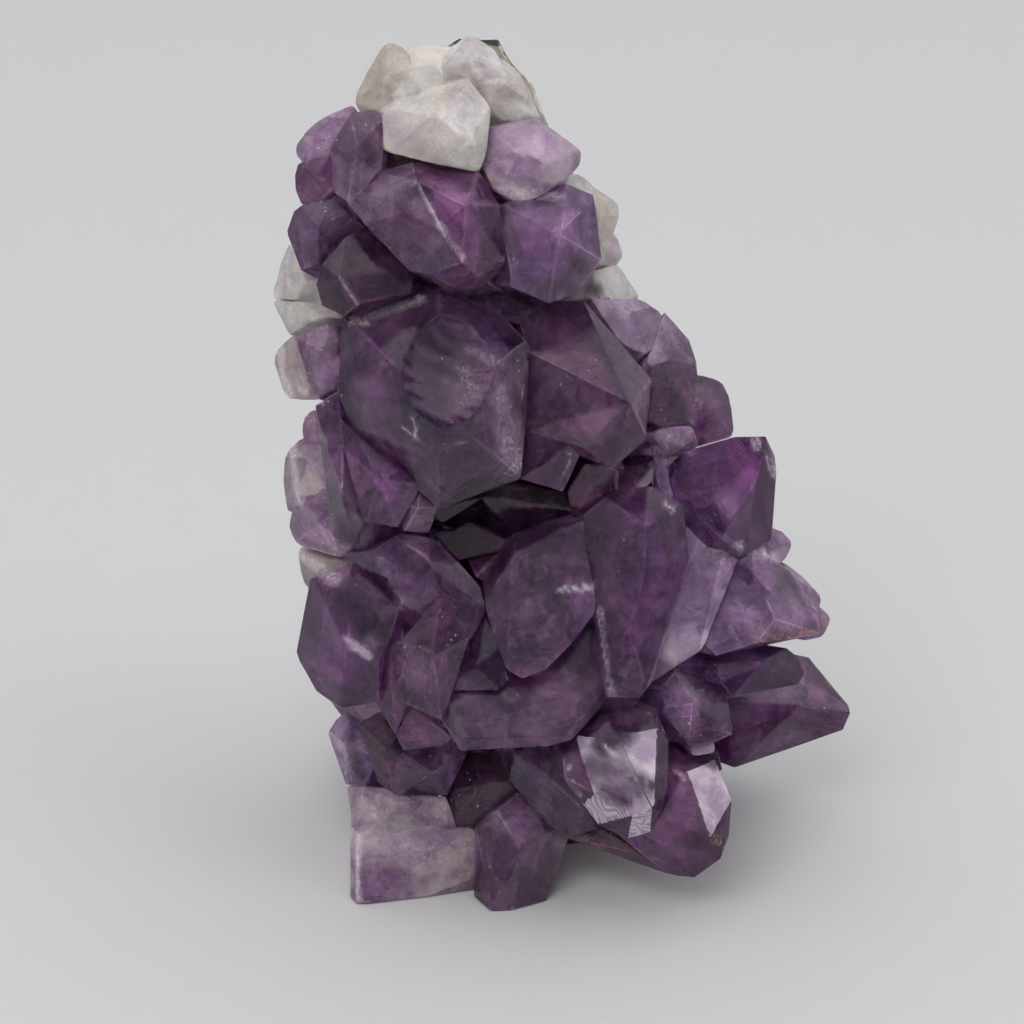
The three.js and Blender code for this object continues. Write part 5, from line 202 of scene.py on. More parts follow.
    ["l_str", 135, "a", -0.754, -0.526, 0.392, [[-35.15, -14.07, 72.2], [-31.89, -14.34, 74.5], [-21.47, -5.57, 63.92], [-35.15, -14.11, 72.11], [-31.17, -18.63, 67.58], [-31.19, -22.2, 61.29], [-30.94, -22.74, 60.03], [-15.59, -11.9, 51.53], [-28.75, -20.58, 61.24], [-28.22, -21.43, 57.29], [-30.26, -22.47, 59.7], [-17.41, -11.56, 47.71], [-17.16, -11.78, 47.59], [-19.64, -10.6, 48.77], [-32.88, -19.93, 54.28], [-32.85, -19.98, 54.27], [-29.97, -21.29, 52.89], [-16.74, -11.91, 54.59], [-15.59, -11.89, 51.56], [-18.6, -6.11, 64.86], [-19.03, -6.01, 66.1], [-18.82, -5.78, 65.77]]],
    ["l_brn", 136, "a", -0.25, -0.968, -0.026, [[-26.95, -3.76, 70.53], [-20.24, -7.72, 57.98], [-17.29, -7.13, 63.31], [-28.17, -21.69, 57.31], [-27, -3.75, 70.57], [-24.09, -7.68, 58.64], [-24.49, -8.22, 58.62], [-27.89, -21.81, 57.24], [-23.34, -21.85, 56.47], [-19.88, -21.16, 62.74], [-19.98, -7.72, 65.62], [-31.54, -16.98, 71.44], [-29.1, -19.21, 69.59], [-22.97, -21.85, 65.38], [-22.91, -21.83, 65.35], [-27.35, -4.11, 70.75], [-27.03, -3.77, 70.6], [-25.98, -23.22, 64.97], [-30.99, -19.11, 67.91], [-29.27, -21.48, 60.7], [-25.75, -23.43, 64.71]]],
    ["l_clr", 137, "p", -0.866, -0.453, 0.211, [[-33.86, -15.74, 59.94], [-39.06, -12.03, 54.83], [-40.44, -8.53, 58.15], [-39.68, -11.33, 53.98], [-23.15, -9.25, 57.28], [-28.08, -5.51, 52.22], [-28.65, -3.07, 55.78], [-34.43, -12.2, 65.41], [-22.9, -8.29, 59.92], [-33.89, -15.69, 60.17], [-33.61, -14.64, 63.06], [-34.04, -14.15, 63.72], [-36.57, -13.42, 62.31], [-36.59, -13.17, 62.88], [-36.83, -12.65, 63.24], [-40.07, -7.99, 61.3], [-39.84, -7.79, 62.02], [-37.37, -9.78, 65.28], [-37.01, -10.4, 65.39], [-25.99, -4.11, 61.78], [-23.73, -6.29, 61.97], [-23.66, -6.4, 61.84], [-28.25, -2.5, 59.06], [-28.44, -2.85, 56.77]]],
    ["l_sm", 138, "p", -0.754, -0.526, 0.392, [[-27.98, -8.12, 62.59], [-34.31, -13.13, 65.85], [-30.42, -4.87, 64.73], [-29.14, -5.58, 66.11], [-37.18, -9.3, 68.38], [-35.68, -10.13, 70], [-30.71, -5.24, 63.06], [-30.25, -6.23, 61.72], [-37.53, -9.74, 66.4], [-36.99, -10.9, 64.83]]],
    ["l_lil", 139, "p", -0.819, -0.508, 0.268, [[-23.56, -8.6, 55.45], [-26.55, -6.39, 53.47], [-38.17, -12.6, 57.03], [-37.68, -12.73, 57.6], [-35.18, -16.84, 55.64], [-31.86, -17.93, 49.85], [-39.23, -11.45, 54.14], [-39.65, -11.15, 51.44], [-28, -5.38, 50.57], [-28.39, -5.15, 48.29], [-27.08, -6.74, 46.58], [-28.19, -5.31, 48.07], [-21.73, -10.89, 46.94], [-20.42, -11.17, 49.08], [-20.24, -11.55, 48.47], [-35.07, -17.04, 55.28], [-31.88, -17.92, 49.86], [-38.57, -12.8, 49.83], [-38.13, -13.03, 49.43], [-32.62, -18.42, 53.58], [-32.64, -18.42, 53.6], [-33.94, -15.19, 59.84], [-30.07, -18.69, 51.65]]],
    ["l_bt", 140, "w", -0.865, -0.44, 0.239, [[-30.16, -17.1, 48.18], [-34.82, -15.53, 47.49], [-38.39, -10.94, 48.44], [-38.52, -11.05, 48.26], [-31.94, -15.99, 49.24], [-31.89, -16.09, 49.2], [-31.23, -17.8, 44.67], [-31.24, -17.81, 44.84], [-34.77, -15.62, 47.3], [-36.18, -14.17, 42.89], [-36.57, -13.91, 42.95], [-38.25, -11.64, 45.55], [-37.45, -12.84, 43.05], [-27.66, -6.31, 45.29], [-20.99, -11.7, 45.16], [-21.52, -12.07, 42.07], [-25.78, -9.03, 40.58], [-22.16, -10.56, 45.95], [-27.02, -7.99, 40.76], [-27.65, -6.94, 42.86]]],
    ["c_gr", 141, "a", 0, -0.996, 0.087, [[-19.04, -20.3, 54.93], [-22.29, -10.6, 55], [-22.26, -10.48, 58.38], [-17.87, -11.34, 58.68], [-19.23, -10.35, 54.55], [-20.19, -10.33, 60.45], [-20.33, -10.25, 60.29], [-20.52, -21.92, 59.66], [-22.66, -20.73, 55.47], [-22.51, -20.83, 55.45], [-22.63, -20.47, 59.44], [-20.45, -21.93, 59.71], [-17.46, -21.62, 59.77], [-17.45, -21.6, 59.8], [-20.19, -20.29, 61.87]]],
    ["m_a", 142, "a", -0.25, -0.602, 0.758, [[-31.57, -17.57, 50.64], [-27.9, -10.95, 41.82], [-21.03, -13.03, 45.35], [-26.17, -12.49, 40.96], [-23.41, -19.86, 54.59], [-24.99, -22.26, 48.76], [-21.2, -14.96, 41.84], [-22.38, -15.09, 40.41], [-23.68, -22.32, 50.69], [-25.6, -22.11, 49.09], [-27.04, -21.44, 52.54], [-26.91, -21.52, 52.4], [-31.35, -18, 50.7], [-29.47, -19.26, 49.48]]],
    ["m_b", 143, "a", 0.25, -0.602, 0.758, [[-25.8, -15.14, 34.88], [-22, -11.68, 42.02], [-22.83, -24.3, 45.77], [-17.42, -16.84, 30.67], [-13.11, -25.88, 40.33], [-27.39, -13.79, 37.87], [-26.23, -11.51, 42.67], [-24.87, -22.17, 48.64], [-18.81, -23.97, 52.3], [-23.41, -19.8, 54.72], [-23.46, -20.26, 54.51], [-18.62, -24.31, 51.8], [-22.85, -24.3, 45.85], [-23.23, -24.02, 46.7], [-11.62, -22.31, 47.43], [-16.08, -13.93, 36.79], [-15.58, -15.3, 33.83], [-12.9, -25.95, 40.73], [-18.2, -24.54, 51.19], [-17.56, -25.51, 47.21], [-10.91, -24.05, 45.07], [-10.85, -24.26, 44.28], [-14.42, -21.6, 50.67], [-18.4, -19.88, 53.76], [-19.26, -20.05, 54.2]]],
    ["f_m1", 144, "a", -0.1, -0.504, 0.858, [[-17.01, -30.14, 29.81], [-22.85, -27.19, 41.47], [-20.37, -18.45, 26.05], [-15.9, -17.5, 31.44], [-12.26, -18.95, 26.56], [-15.59, -17.5, 31.96], [-17.17, -25.98, 48.34], [-13.27, -27.73, 42.06], [-15.42, -20.92, 16.08], [-12.46, -19.02, 25.76], [-19.31, -18.4, 19.15], [-20.1, -18.58, 17.61], [-17.28, -30.26, 30.23], [-22.45, -27.06, 31.12], [-22.89, -27.43, 41.09], [-13.28, -27.73, 42.09], [-17.09, -26.07, 48.28], [-18.2, -30.34, 40.47], [-18.52, -30.17, 41.04]]],
    ["f_b2", 145, "a", -0.639, -0.723, 0.263, [[-36.42, -16, 45.56], [-24.68, -25.27, 40.06], [-23.93, -7.76, 26.23], [-38.63, -16.65, 34.07], [-14.73, -12.57, 34.35], [-13.36, -9.6, 38.04], [-13.3, -9.34, 38.7], [-23.31, -22.22, 44.09], [-26.22, -26.86, 38.02], [-36.12, -16.3, 45.89], [-20.48, -10.51, 25.33], [-15.89, -12.66, 27.45], [-16, -13.25, 27.69], [-31.65, -23.47, 28.23], [-26.35, -26.1, 30.74], [-13.71, -8.92, 39.03], [-18.99, -5.74, 43.03], [-24.25, -3.92, 39.95], [-26.41, -4.75, 30.31], [-25.52, -5.39, 29.11], [-32.42, -23.14, 28.43], [-35.62, -20.06, 29.27], [-38.09, -17.74, 32.92], [-36.04, -16.42, 45.86], [-31.54, -24.2, 40.47], [-30.41, -25.21, 40.56], [-30.6, -25.11, 40.43], [-24.87, -21.45, 45.25], [-30.79, -21.81, 45.18], [-31.11, -21.02, 45.93], [-29.64, -17.64, 48.96], [-30.37, -17.79, 48.85]]],
    ["f_m2", 146, "a", 0, -0.985, -0.174, [[-22.86, -25.45, 40.46], [-24.75, -24.95, 38.9], [-24.57, -25.12, 39.03], [-21.92, -26.74, 31.06], [-21.43, -26.69, 37.86], [-21.56, -26.71, 38.1], [-23.85, -26.95, 25.69], [-26.15, -12.64, 32.84], [-24.59, -12.25, 40.41], [-23.82, -13.86, 29.22], [-22.19, -13.88, 33.73], [-23.87, -26.96, 25.72], [-24.4, -26.94, 33.08], [-24.27, -27.02, 32.99], [-26.58, -25.27, 30.01], [-21.76, -13.83, 39.52], [-22.14, -13.81, 34.4], [-22.98, -12.8, 41.73], [-23.32, -12.56, 41.46]]],
    ["f_m3", 147, "a", 0, -0.996, -0.087, [[-21.19, -13.9, 31.47], [-17.38, -14.43, 33.02], [-22.71, -27.34, 23.45], [-23.19, -14.1, 27.11], [-22.23, -14.54, 25.2], [-22.31, -27.45, 23.56], [-16.9, -28.54, 25.05], [-16.02, -29.38, 26.7], [-15.58, -29.39, 26.65], [-17.56, -15.28, 26.51], [-17.29, -15.49, 26.57], [-16.17, -16.21, 27.92], [-17.31, -14.48, 32.73], [-23.85, -26.97, 25.69], [-23.71, -27.12, 25.4], [-18.85, -28.65, 28.94], [-18.97, -28.61, 28.93], [-17.01, -27.23, 32.65], [-21.49, -26.81, 30.81]]],
    ["f_e1", 148, "a", -0.72, -0.472, 0.509, [[-34.29, -13.46, 18.73], [-17.9, -13.39, 11.46], [-31.62, -18.74, 13.34], [-22.17, -12.31, 7.48], [-20.03, -13.98, 7.8], [-31.37, -19.11, 13.47], [-29.13, -20.75, 13.74], [-34.18, -13.48, 19.45], [-31.14, -18.26, 19.24], [-30.56, -18.62, 19.66], [-30.53, -18.61, 19.72], [-30.54, -18.49, 19.81], [-26.6, -20.03, 18.02], [-29.18, -15.37, 21.85], [-33.08, -13.12, 21.16], [-31.59, -13.47, 22.52], [-31.8, -13.49, 22.47], [-22.14, -7.81, 15.28], [-20.07, -9.41, 14.7], [-19.81, -9.75, 14.35], [-23.44, -7.54, 14.15], [-24.51, -7.85, 12.13], [-23.21, -9.8, 9.83]]],
    ["f_e2", 149, "a", -0.287, -0.532, 0.796, [[-25.74, -11.96, 13.38], [-19.73, -16.15, 11.04], [-22.49, -13.04, 16], [-20.18, -15.22, 13.25], [-23.28, -15.4, 6.81], [-21.35, -16.73, 6.08], [-29.68, -17.67, 23.07], [-26.74, -21.65, 15.23], [-25.8, -18.86, 26], [-23.14, -21.55, 22.97], [-25.46, -22.6, 21.39], [-24.51, -23.28, 14.46], [-22.56, -22.52, 20.19]]],
    ["f_M", 150, "a", 0.25, -0.968, -0.026, [[-16.63, -24.71, 14.59], [-24.3, -23.42, 13.4], [-27.24, -9.46, 14.48], [-28.28, -8.2, 18.41], [-18.83, -26.54, 19.57], [-25.52, -21.93, 18.05], [-16.55, -24.76, 14.68], [-18.64, -26.57, 19.61], [-13.52, -22.34, 20.59], [-20.71, -10.54, 15.5], [-27.01, -9.47, 14.51], [-18.06, -8.58, 20.57], [-18.68, -26.58, 19.63], [-18.77, -26.56, 19.61], [-17, -22.87, 22.19], [-22.99, -22.59, 20.72], [-21.03, -8.99, 21.93], [-26.13, -8.76, 20.69], [-18.33, -8.54, 20.51], [-18.11, -8.55, 20.59]]],
    ["f_ol", 151, "a", 0.1, -0.504, 0.858, [[-8.04, -15.7, 1.66], [-8.66, -13.27, 6.27], [-14.76, -13.69, 6.48], [-17.11, -16.26, 2.07], [-13.69, -20.55, 19.63], [-16.46, -23.6, 14.47], [-5.8, -22.82, 14.06], [-5.81, -22.82, 13.79], [-11.79, -25.32, 16.82], [-11.86, -25.35, 16.73], [-14.01, -17.82, -1.32], [-16.11, -17.92, -1.17], [-11.62, -25.25, 16.84], [-7.65, -23.59, 16.3], [-6.51, -20.04, 19.35], [-11.97, -25.39, 16.41], [-12.06, -25.44, 11.22], [-12.8, -25.45, 10.49], [-15.29, -25.45, 10.49]]],
    ["f_g1", 152, "a", 0.354, -0.9, -0.256, [[-1.8, -13.82, 17.12], [-7.58, -24.48, 17.12], [-6.76, -25.6, 21.97], [-6.81, -25.4, 22.23], [-5.36, -11.49, 27.52], [-5.34, -11.49, 27.45], [-12.11, -10.12, 25.81], [-12.49, -9.41, 21.12], [-12.75, -9.4, 21.4], [-2.47, -27.49, 11.87], [-5.65, -12.56, 15.13], [-5.67, -12.73, 15.01], [-10.87, -10.18, 19.44], [-8.68, -11.7, 17.21], [-2.28, -28.56, 20.23], [3.47, -29.97, 15.16], [1.14, -27.01, 24.24], [5.38, -29.86, 11.96], [-2.27, -28.57, 20.21], [2.72, -29.87, 15.57], [1.1, -28.56, 9.69], [0.75, -28.41, 9.53]]],
    ["f_N0", 153, "p", -0.056, -0.424, 0.904, [[-29.55, -13.14, -0.97], [-16.96, -17.76, 0.14], [-16.73, -24.65, 14.84], [-31.53, -19.21, 13.53], [-30.93, -19.52, 13.79], [-15.17, -25.72, 10.45], [-16.71, -24.69, 14.83], [-23.32, -25.6, 13.66], [-18, -18.43, -4.02], [-15.64, -18.72, -3.46], [-15.76, -18.57, -3.29], [-29.51, -13.17, -1.19], [-30.48, -22.92, 8.69], [-25.02, -18.41, -4.03], [-28.64, -16.23, -5.22], [-28.56, -16.26, -5.23], [-15.25, -25.72, 10.46], [-23.37, -25.64, 13.52], [-26.13, -25.23, 9.55], [-26.59, -25.25, 9.93]]],
    ["f_N", 154, "p", 0.073, -0.997, 0.006, [[-26.21, -30.7, -1.57], [-10.51, -25.85, 2.43], [-25.83, -30.61, -1.57], [-30.89, -21.27, 9.54], [-30.61, -14.56, -0.91], [-30.62, -11.08, 1.91], [-19.35, -10.54, -0.98], [-10.48, -25.83, 1.47], [-12.13, -26.33, -1.67], [-30.9, -23.01, 8.97], [-30.79, -29.67, -1.44], [-30.28, -30.7, -1.49], [-26.97, -24.87, 10.13], [-19.19, -24.3, 10.77], [-28.87, -27.22, 8.51], [-10.78, -24.91, 6.04], [-30.7, -7.7, 8.23], [-13.63, -9.3, 5.57], [-13.37, -10.1, 1.7], [-18.24, -10.34, -0.99], [-14.81, -10.57, -1.06], [-17.72, -24.79, 10.49], [-12.82, -24.52, 9.21], [-12.95, -24.47, 9.4], [-28.79, -27.47, 8.35], [-28.33, -30.71, 0.23], [-29.56, -30.71, 0.72], [-20.59, -9.58, 9.63], [-30.71, -8.03, 8.64], [-30.7, -7.69, 8.29], [-15.52, -8.63, 8.41], [-15.51, -8.61, 8.39]]],
    ["f_O", 155, "a", 0.145, -0.989, 0.023, [[-2.61, -30.28, -1.4], [-7.15, -32.77, -1.23], [1.3, -26.36, 8.88], [-5.11, -12.7, 0.37], [-5.48, -13.73, -0.89], [-13.83, -11.65, 1.87], [-13.78, -13.55, -0.48], [-12.49, -24.48, 10.45], [-13.66, -9.53, 9.47], [-8.55, -8.97, 12.79], [-10.32, -33.05, -1.09], [-10.15, -32.62, 0.69], [-12.64, -28.97, -0.89], [-12.49, -24.91, 9.8], [-6.37, -23.76, 14.42], [-9.2, -25.49, 12.6], [-5.47, -9.33, 12.28], [-4.73, -9.95, 12.23], [-2.31, -10.97, 7.26], [-1.93, -11.43, 7.92], [-1.83, -24.8, 13.74], [-2.57, -24.89, 13.89], [0.21, -26.61, 10.94], [-5.89, -30.39, 8.66], [-6.03, -30.39, 8.71], [-6.06, -30.28, 8.85]]],
    ["l_b", 156, "w", -0.893, -0.317, 0.321, [[-27.64, 4.12, 86.54], [-40.5, 0.62, 88.24], [-39.23, 0.4, 91.29], [-25.62, -1.45, 83.91], [-26.23, 0.57, 86.16], [-37.79, -3.86, 90.94], [-26.13, -0.76, 81.6], [-26.51, -0.63, 80.95], [-29.68, 2.86, 79.64], [-28.76, 4.29, 83.96], [-27.72, 4.18, 86.06], [-36.72, -6.1, 88.15], [-37.78, -4.24, 90.6], [-38.03, -5.24, 84.76], [-41.66, -0.96, 83.71], [-41.66, -1.09, 83.19]]],
    ["l_c", 157, "w", -0.906, -0.383, 0.179, [[-39.12, -5.04, 79.07], [-41.85, -0.44, 82.78], [-29.57, 3.83, 80.41], [-25.76, -1.66, 82.38], [-29.41, 3.76, 80.31], [-27.07, -0.19, 77.12], [-22.65, -3.65, 81.14], [-37.36, -6.9, 85.1], [-39.02, -5.2, 79.22], [-41.74, -0.63, 82.85], [-38.84, -5.51, 83.58], [-37.4, -6.86, 85.09], [-33.97, -9.09, 83.75], [-36.26, -7.81, 82.13], [-37.31, -6.95, 85.08]]],
    ["u_pr1", 158, "w", 0.77, -0.401, 0.496, [[8.37, 6.46, 94.86], [-4.25, 5.27, 92.22], [-4.45, 8.43, 92.37], [4.29, 0.08, 98.46], [-3.45, 5.31, 83.62], [-3.43, 5.3, 83.56], [-1.24, 8.99, 86.51], [-0.92, 10.65, 89.09], [-4.44, 8.71, 92.05], [-2.11, 10.23, 90.56], [5.29, -0.34, 95.86], [5.36, 0.05, 88.31], [8.51, 5.4, 93.64], [7.98, 4.54, 91.86], [4.15, 3.86, 98.71], [4.33, 0.22, 98.5], [6.75, 6.05, 96.48], [8.15, 6.33, 95.26]]],
    ["u_pr2", 159, "w", 0.853, -0.39, 0.348, [[-4.41, 4.88, 86.81], [-2.25, 8.76, 87], [-1.05, 8.22, 84.04], [-1.83, 6.9, 83.5], [-1.35, 8.76, 85.29], [-2.18, 8.79, 86.71], [-4, 4.59, 83.91], [-4.04, 4.62, 84.01], [8.74, 4.59, 89.33], [9.05, 3.96, 87.84], [7.65, 4.6, 91.33], [8.06, 4.53, 90.93], [5.11, 0.03, 91.1], [8.39, 2.3, 87.3], [8.5, 2.41, 87.37], [5.51, -0.26, 87.66], [5.29, -0.07, 90.89], [6.68, 1.12, 90.31]]],
    ["u_pr3", 160, "w", 0.754, -0.526, 0.392, [[0.3, 8.07, 80.9], [6.56, -3.36, 83.67], [9.88, 2.15, 85.03], [11.53, 0.63, 82.48], [11.15, 0.14, 82.66], [3.51, -4.26, 84.64], [6.4, -3.43, 83.68], [2.21, 6.38, 78.42], [0.86, 7.46, 79.45], [-2.18, 3.14, 79.34], [-4.57, 2.39, 80.2], [8.15, 2.75, 87.22], [5.91, -0.94, 87.86], [5.25, -1.49, 87.85], [5.4, -1.41, 87.87], [-0.56, 8.32, 82.3], [-0.58, 8.31, 82.41], [-4.56, 2.44, 80.23], [-3.1, 4.75, 82.91]]],
    ["r_l1", 161, "p", 0.492, -0.335, 0.803, [[8.69, 3.4, 71.04], [3.21, -2.99, 69.81], [-0.76, -0.28, 74.66], [5.56, 3.4, 73.2], [11.34, 0.03, 82.85], [8.03, -0.4, 68.53], [5.96, -2.63, 68.21], [12.01, -7.13, 77.16], [8.6, -7.44, 78.82], [4.04, -4.33, 84.73], [4.6, -4.06, 84.68], [14.35, -4.43, 77.4], [12.33, -6.86, 77.27], [9.62, -3.74, 82.11], [15.08, 0.02, 80.28], [13.42, -0.04, 81.69]]],
    ["r_l2", 162, "a", 0.492, -0.335, 0.803, [[15.02, 0.27, 80.72], [19.73, -2.89, 73.91], [18.64, -0.54, 76.64], [12.79, 1.29, 63.66], [11.87, 3.35, 66.17], [13.51, -4.98, 78.41], [16.51, -6.79, 74.23], [12.24, -7.39, 76.32], [13.54, -9.09, 73.39], [8.81, 4.06, 69.44], [9.37, 3.96, 68.59], [6.51, -2.54, 65.8], [7.66, -3.65, 63.06], [7.48, -3.87, 63.08]]],
    ["r_l3", 163, "a", 0.707, -0.641, 0.299, [[19.1, -8.33, 66.54], [7.16, 2.08, 62.44], [18.93, -8.55, 66.6], [13.04, -10.32, 73.14], [15.88, -5.72, 75.92], [4.25, 0.44, 62.75], [12.28, -11.13, 68.56], [15.36, -10.03, 66.81], [1.6, -0.46, 64.22], [1.56, -0.36, 64.16], [4.5, 4.27, 70.41], [1.57, 0.12, 64.93], [7.93, 6.33, 68.47], [8, 6.46, 68.7], [16.08, -5.65, 75.86], [16.6, -8.95, 71.96], [16.28, -9.05, 72.28], [19.8, -3.67, 72.93], [19.74, -2.89, 73.77], [2.18, 0.44, 68.48], [12.91, -10.02, 73.54], [12.85, -7.98, 75.65], [2.03, 2.26, 70.23], [1.99, 2.16, 70.05]]],
    ["r_l4", 164, "p", 0.574, -0.742, 0.346, [[8.67, -1.02, 58.57], [15.31, -10.12, 67.17], [6.83, -1.17, 61.65], [15.1, -9.65, 62.23], [15.58, -9.68, 62.22], [12.94, -9.82, 65.86], [15.25, -10.14, 67.14], [18.87, -8.46, 66.75], [15.57, -10.05, 67.16], [11.86, -0.01, 62.41], [11.85, 0.01, 62.39], [8.86, -1.47, 62.78], [6.91, -1.15, 61.69], [12.9, 0.01, 59.58], [10.78, -0.57, 58.22], [17.59, -9.11, 61.82], [20.08, -8.42, 63.41], [19.73, -8.64, 63.18]]],
    ["r_rnd", 165, "p", 0.77, -0.401, 0.496, [[24.83, -1.53, 67.56], [12.42, 2, 55.73], [12.17, 4.39, 59.7], [23.61, -1.4, 70.24], [19.41, -6.33, 69.82], [8.06, -1.47, 55.98], [20.04, -8.46, 63.26], [7.86, 3.39, 63.7], [10.62, 4.68, 62.14], [19.69, -2.68, 72.26], [23.22, -1.3, 70.62], [20.18, -8.41, 63.28], [25.12, -4.32, 62.92], [25.26, -4.09, 63.54], [21.88, -6.1, 68.14], [21.84, -6.13, 68.14], [19.28, -6.44, 69.63], [18.74, -7.74, 66.48], [6.86, -0.8, 58.56], [6.89, -0.82, 58.68], [7.81, 3.26, 63.58], [7.49, 0.2, 61.45]]],
    ["t_lump", 166, "w", 0.133, -0.264, 0.955, [[-12.88, 8.41, 120.11], [-13.27, 8.1, 120.21], [-16.35, 6.61, 118.33], [-13.31, 8.08, 120.2], [-15.01, 12.19, 104.62], [-17.9, 10.67, 103.14], [-17.89, 10.69, 103.18], [-8.78, 7.01, 117.25], [-10.11, 8.27, 118.48], [-11.5, 11.05, 102], [-12.63, 12.13, 102.94], [-12.48, 12, 102.56], [-18.72, 7.02, 101.91], [-17.29, 2.28, 117.08], [-17.25, 2.28, 117.1], [-17.27, 2.27, 117.09], [-7.96, 3.45, 115.44], [-10.77, 7.97, 100.68], [-13.9, 5.78, 100.47], [-8.15, 3.3, 115.49], [-12.62, 3.73, 118.2], [-13.05, 2.91, 117.77], [-11.63, 0.83, 115.36]]],
    ["t_back", 167, "w", 0, -0.259, 0.966, [[-15.43, 10.23, 105.74], [-22.34, 5.37, 104.07], [-16.82, 5.68, 103.83], [-14.79, 7.14, 118.52], [-22.94, 1.38, 116.48], [-16.44, 1.75, 116.21], [-22.33, 6.47, 118.73], [-20.87, 7.21, 118.97], [-21.82, 9.7, 105.94], [-20.66, 10.3, 106.12]]],
    ["t_right", 168, "w", 0.492, -0.335, 0.803, [[-18.5, 6.72, 102.13], [-17.37, 5.19, 100.01], [-16.46, 12.77, 103.75], [-6.16, 8.07, 114.75], [-8.88, 8.13, 116.86], [-8.78, 8.11, 116.84], [-9.93, -0.82, 112.51], [-11.06, 0.83, 115.36], [-15.84, 5.86, 98.83], [-15.45, 5.95, 98.71], [-12.87, 9.03, 99.3], [-13.18, 11.22, 100.64], [-15.11, 12.82, 102.37], [-14.15, 12.73, 101.91], [-8.14, 1.54, 114.97], [-8.02, 1.65, 114.98], [-7.71, 0.1, 110.92], [-9.39, -0.73, 112.38], [-7.73, 1.82, 114.78], [-4.96, 6.24, 113.31], [-5.15, 6.58, 113.67], [-4.54, 3.64, 111.83], [-4.78, 3.14, 111.91]]],
    ["t_rim", 169, "w", 0.694, -0.446, 0.565, [[-16.16, 13.77, 103.64], [-4.92, 7.15, 113.03], [-4.96, 7.07, 113.03], [-2.63, 3.52, 108.7], [-20.04, 7.22, 102.43], [-14.09, 10.61, 100.02], [-15.58, 12.63, 101.93], [-18.39, 7.38, 100.95], [-18.99, 7.4, 101.32], [-9.65, -0.36, 111.45], [-2.68, 3.47, 108.72], [-7.67, -0.2, 109.74], [-6.67, 1.21, 112.09]]],
    ["r_b1", 170, "p", 0.814, -0.328, 0.48, [[30.19, -10.27, 47.79], [30.5, -7.65, 50.13], [33.16, -6.48, 48.42], [33.11, -8.72, 45.15], [34.04, -6.89, 46.82], [33.91, -6.82, 47.24], [31.39, -10.6, 45.03], [30.52, -10.38, 47.32], [22.96, -2.76, 40.53], [19.7, -5.62, 41.35], [20.21, -3.5, 43.5], [22.29, -2.44, 41.93], [20.91, -5.98, 39.12], [22.34, -4.38, 39.22]]],
    ["r_b2", 171, "p", 0.858, -0.504, 0.102, [[33.31, -9.28, 43.11], [32.56, -8.2, 44.71], [33.26, -9.13, 43.43], [35.39, -6.49, 41.74], [38.79, -5.76, 37.64], [38.24, -6.4, 36.3], [38.8, -5.86, 37.59], [38.81, -5.8, 37.6], [37.68, -8.39, 36.14], [23.75, -0.21, 35.08], [20.01, -0.95, 41], [19.52, -0.12, 42.38], [24.29, 1.45, 35.23], [24.78, 1.98, 36.37], [21.76, 1.43, 39.84], [21.4, 1.33, 40.11]]],
    ["r_b3", 172, "p", 0.858, -0.504, 0.102, [[22.63, -3.55, 32.14], [26.17, 1.62, 32.8], [25.06, -0.77, 31.32], [36.12, -12.19, 33.58], [40.3, -6.09, 34.35], [39, -8.88, 32.61], [22.26, -1.81, 35.86], [24.49, 0.62, 34.92], [35.68, -10.14, 37.97], [38.3, -7.27, 36.86]]],
    ["f_und", 173, "d", 0.296, -0.797, -0.526, [[5.4, -28.85, 11.39], [10.73, -22.4, 13.61], [7.17, -22.15, 16.33], [15.58, -33.58, 6.57], [5.93, -22.84, 5.66], [15.5, -33.63, 6.62], [0.79, -26.88, 8.79], [11.42, -33.1, 9.8], [4.99, -15.7, 13.47], [2.57, -13.39, 12.76], [2.51, -18.72, 17.65], [-1.89, -16.81, 15.5], [2.42, -13.43, 12.88], [2.04, -18.49, 17.71]]],
    ["c_re1", 174, "d", 0.25, -0.968, -0.026, [[-17.87, -15.88, 56.99], [-11.55, -15.79, 58.54], [-18.77, -16, 53.25], [-18.74, -16.02, 53.34], [-15.31, -14.8, 52.63], [-11.86, -14.77, 55.22], [-11.55, -15.8, 58.33], [-14.49, -6.55, 55.46], [-19.61, -7.47, 56.97], [-14.28, -7.23, 58.28], [-20.38, -7.55, 53.79], [-19.66, -7.43, 56.81], [-17.45, -6.44, 53.27], [-17.15, -6.34, 53.52]]],
    ["c_re2", 175, "d", 0.171, -0.983, -0.06, [[-2, -5.27, 58.45], [-5.94, -13.81, 49.81], [-7.27, -5.4, 51.18], [2.71, -13.74, 54.73], [-0.16, -13.63, 52.27], [0.01, -5.06, 55.39], [-2.37, -5.15, 53.29], [2.24, -13.91, 55.49], [0.22, -13.57, 58.34], [-8.07, -14.62, 60.25], [-11.55, -15.7, 58.54], [-11.86, -14.53, 55.1], [-5.98, -13.81, 49.84], [-11.56, -15.74, 58.39], [-11.32, -15.73, 58.24], [-9.03, -5.76, 60.05], [-9.11, -5.82, 60.07], [-12.04, -7.04, 58.61], [-12.3, -5.96, 55.69], [-12.17, -5.83, 55.57]]],
    ["c_re3", 176, "d", 0, -0.707, 0.707, [[-9.41, -9.74, 43.57], [-12.1, -12.93, 41.97], [-13.46, -10.14, 43.89], [-9.04, -12.72, 40.09], [-13.9, -15.02, 49.26], [-8.69, -18.06, 44.79], [-9.13, -14.56, 48.88], [-12.29, -18.31, 47]]],
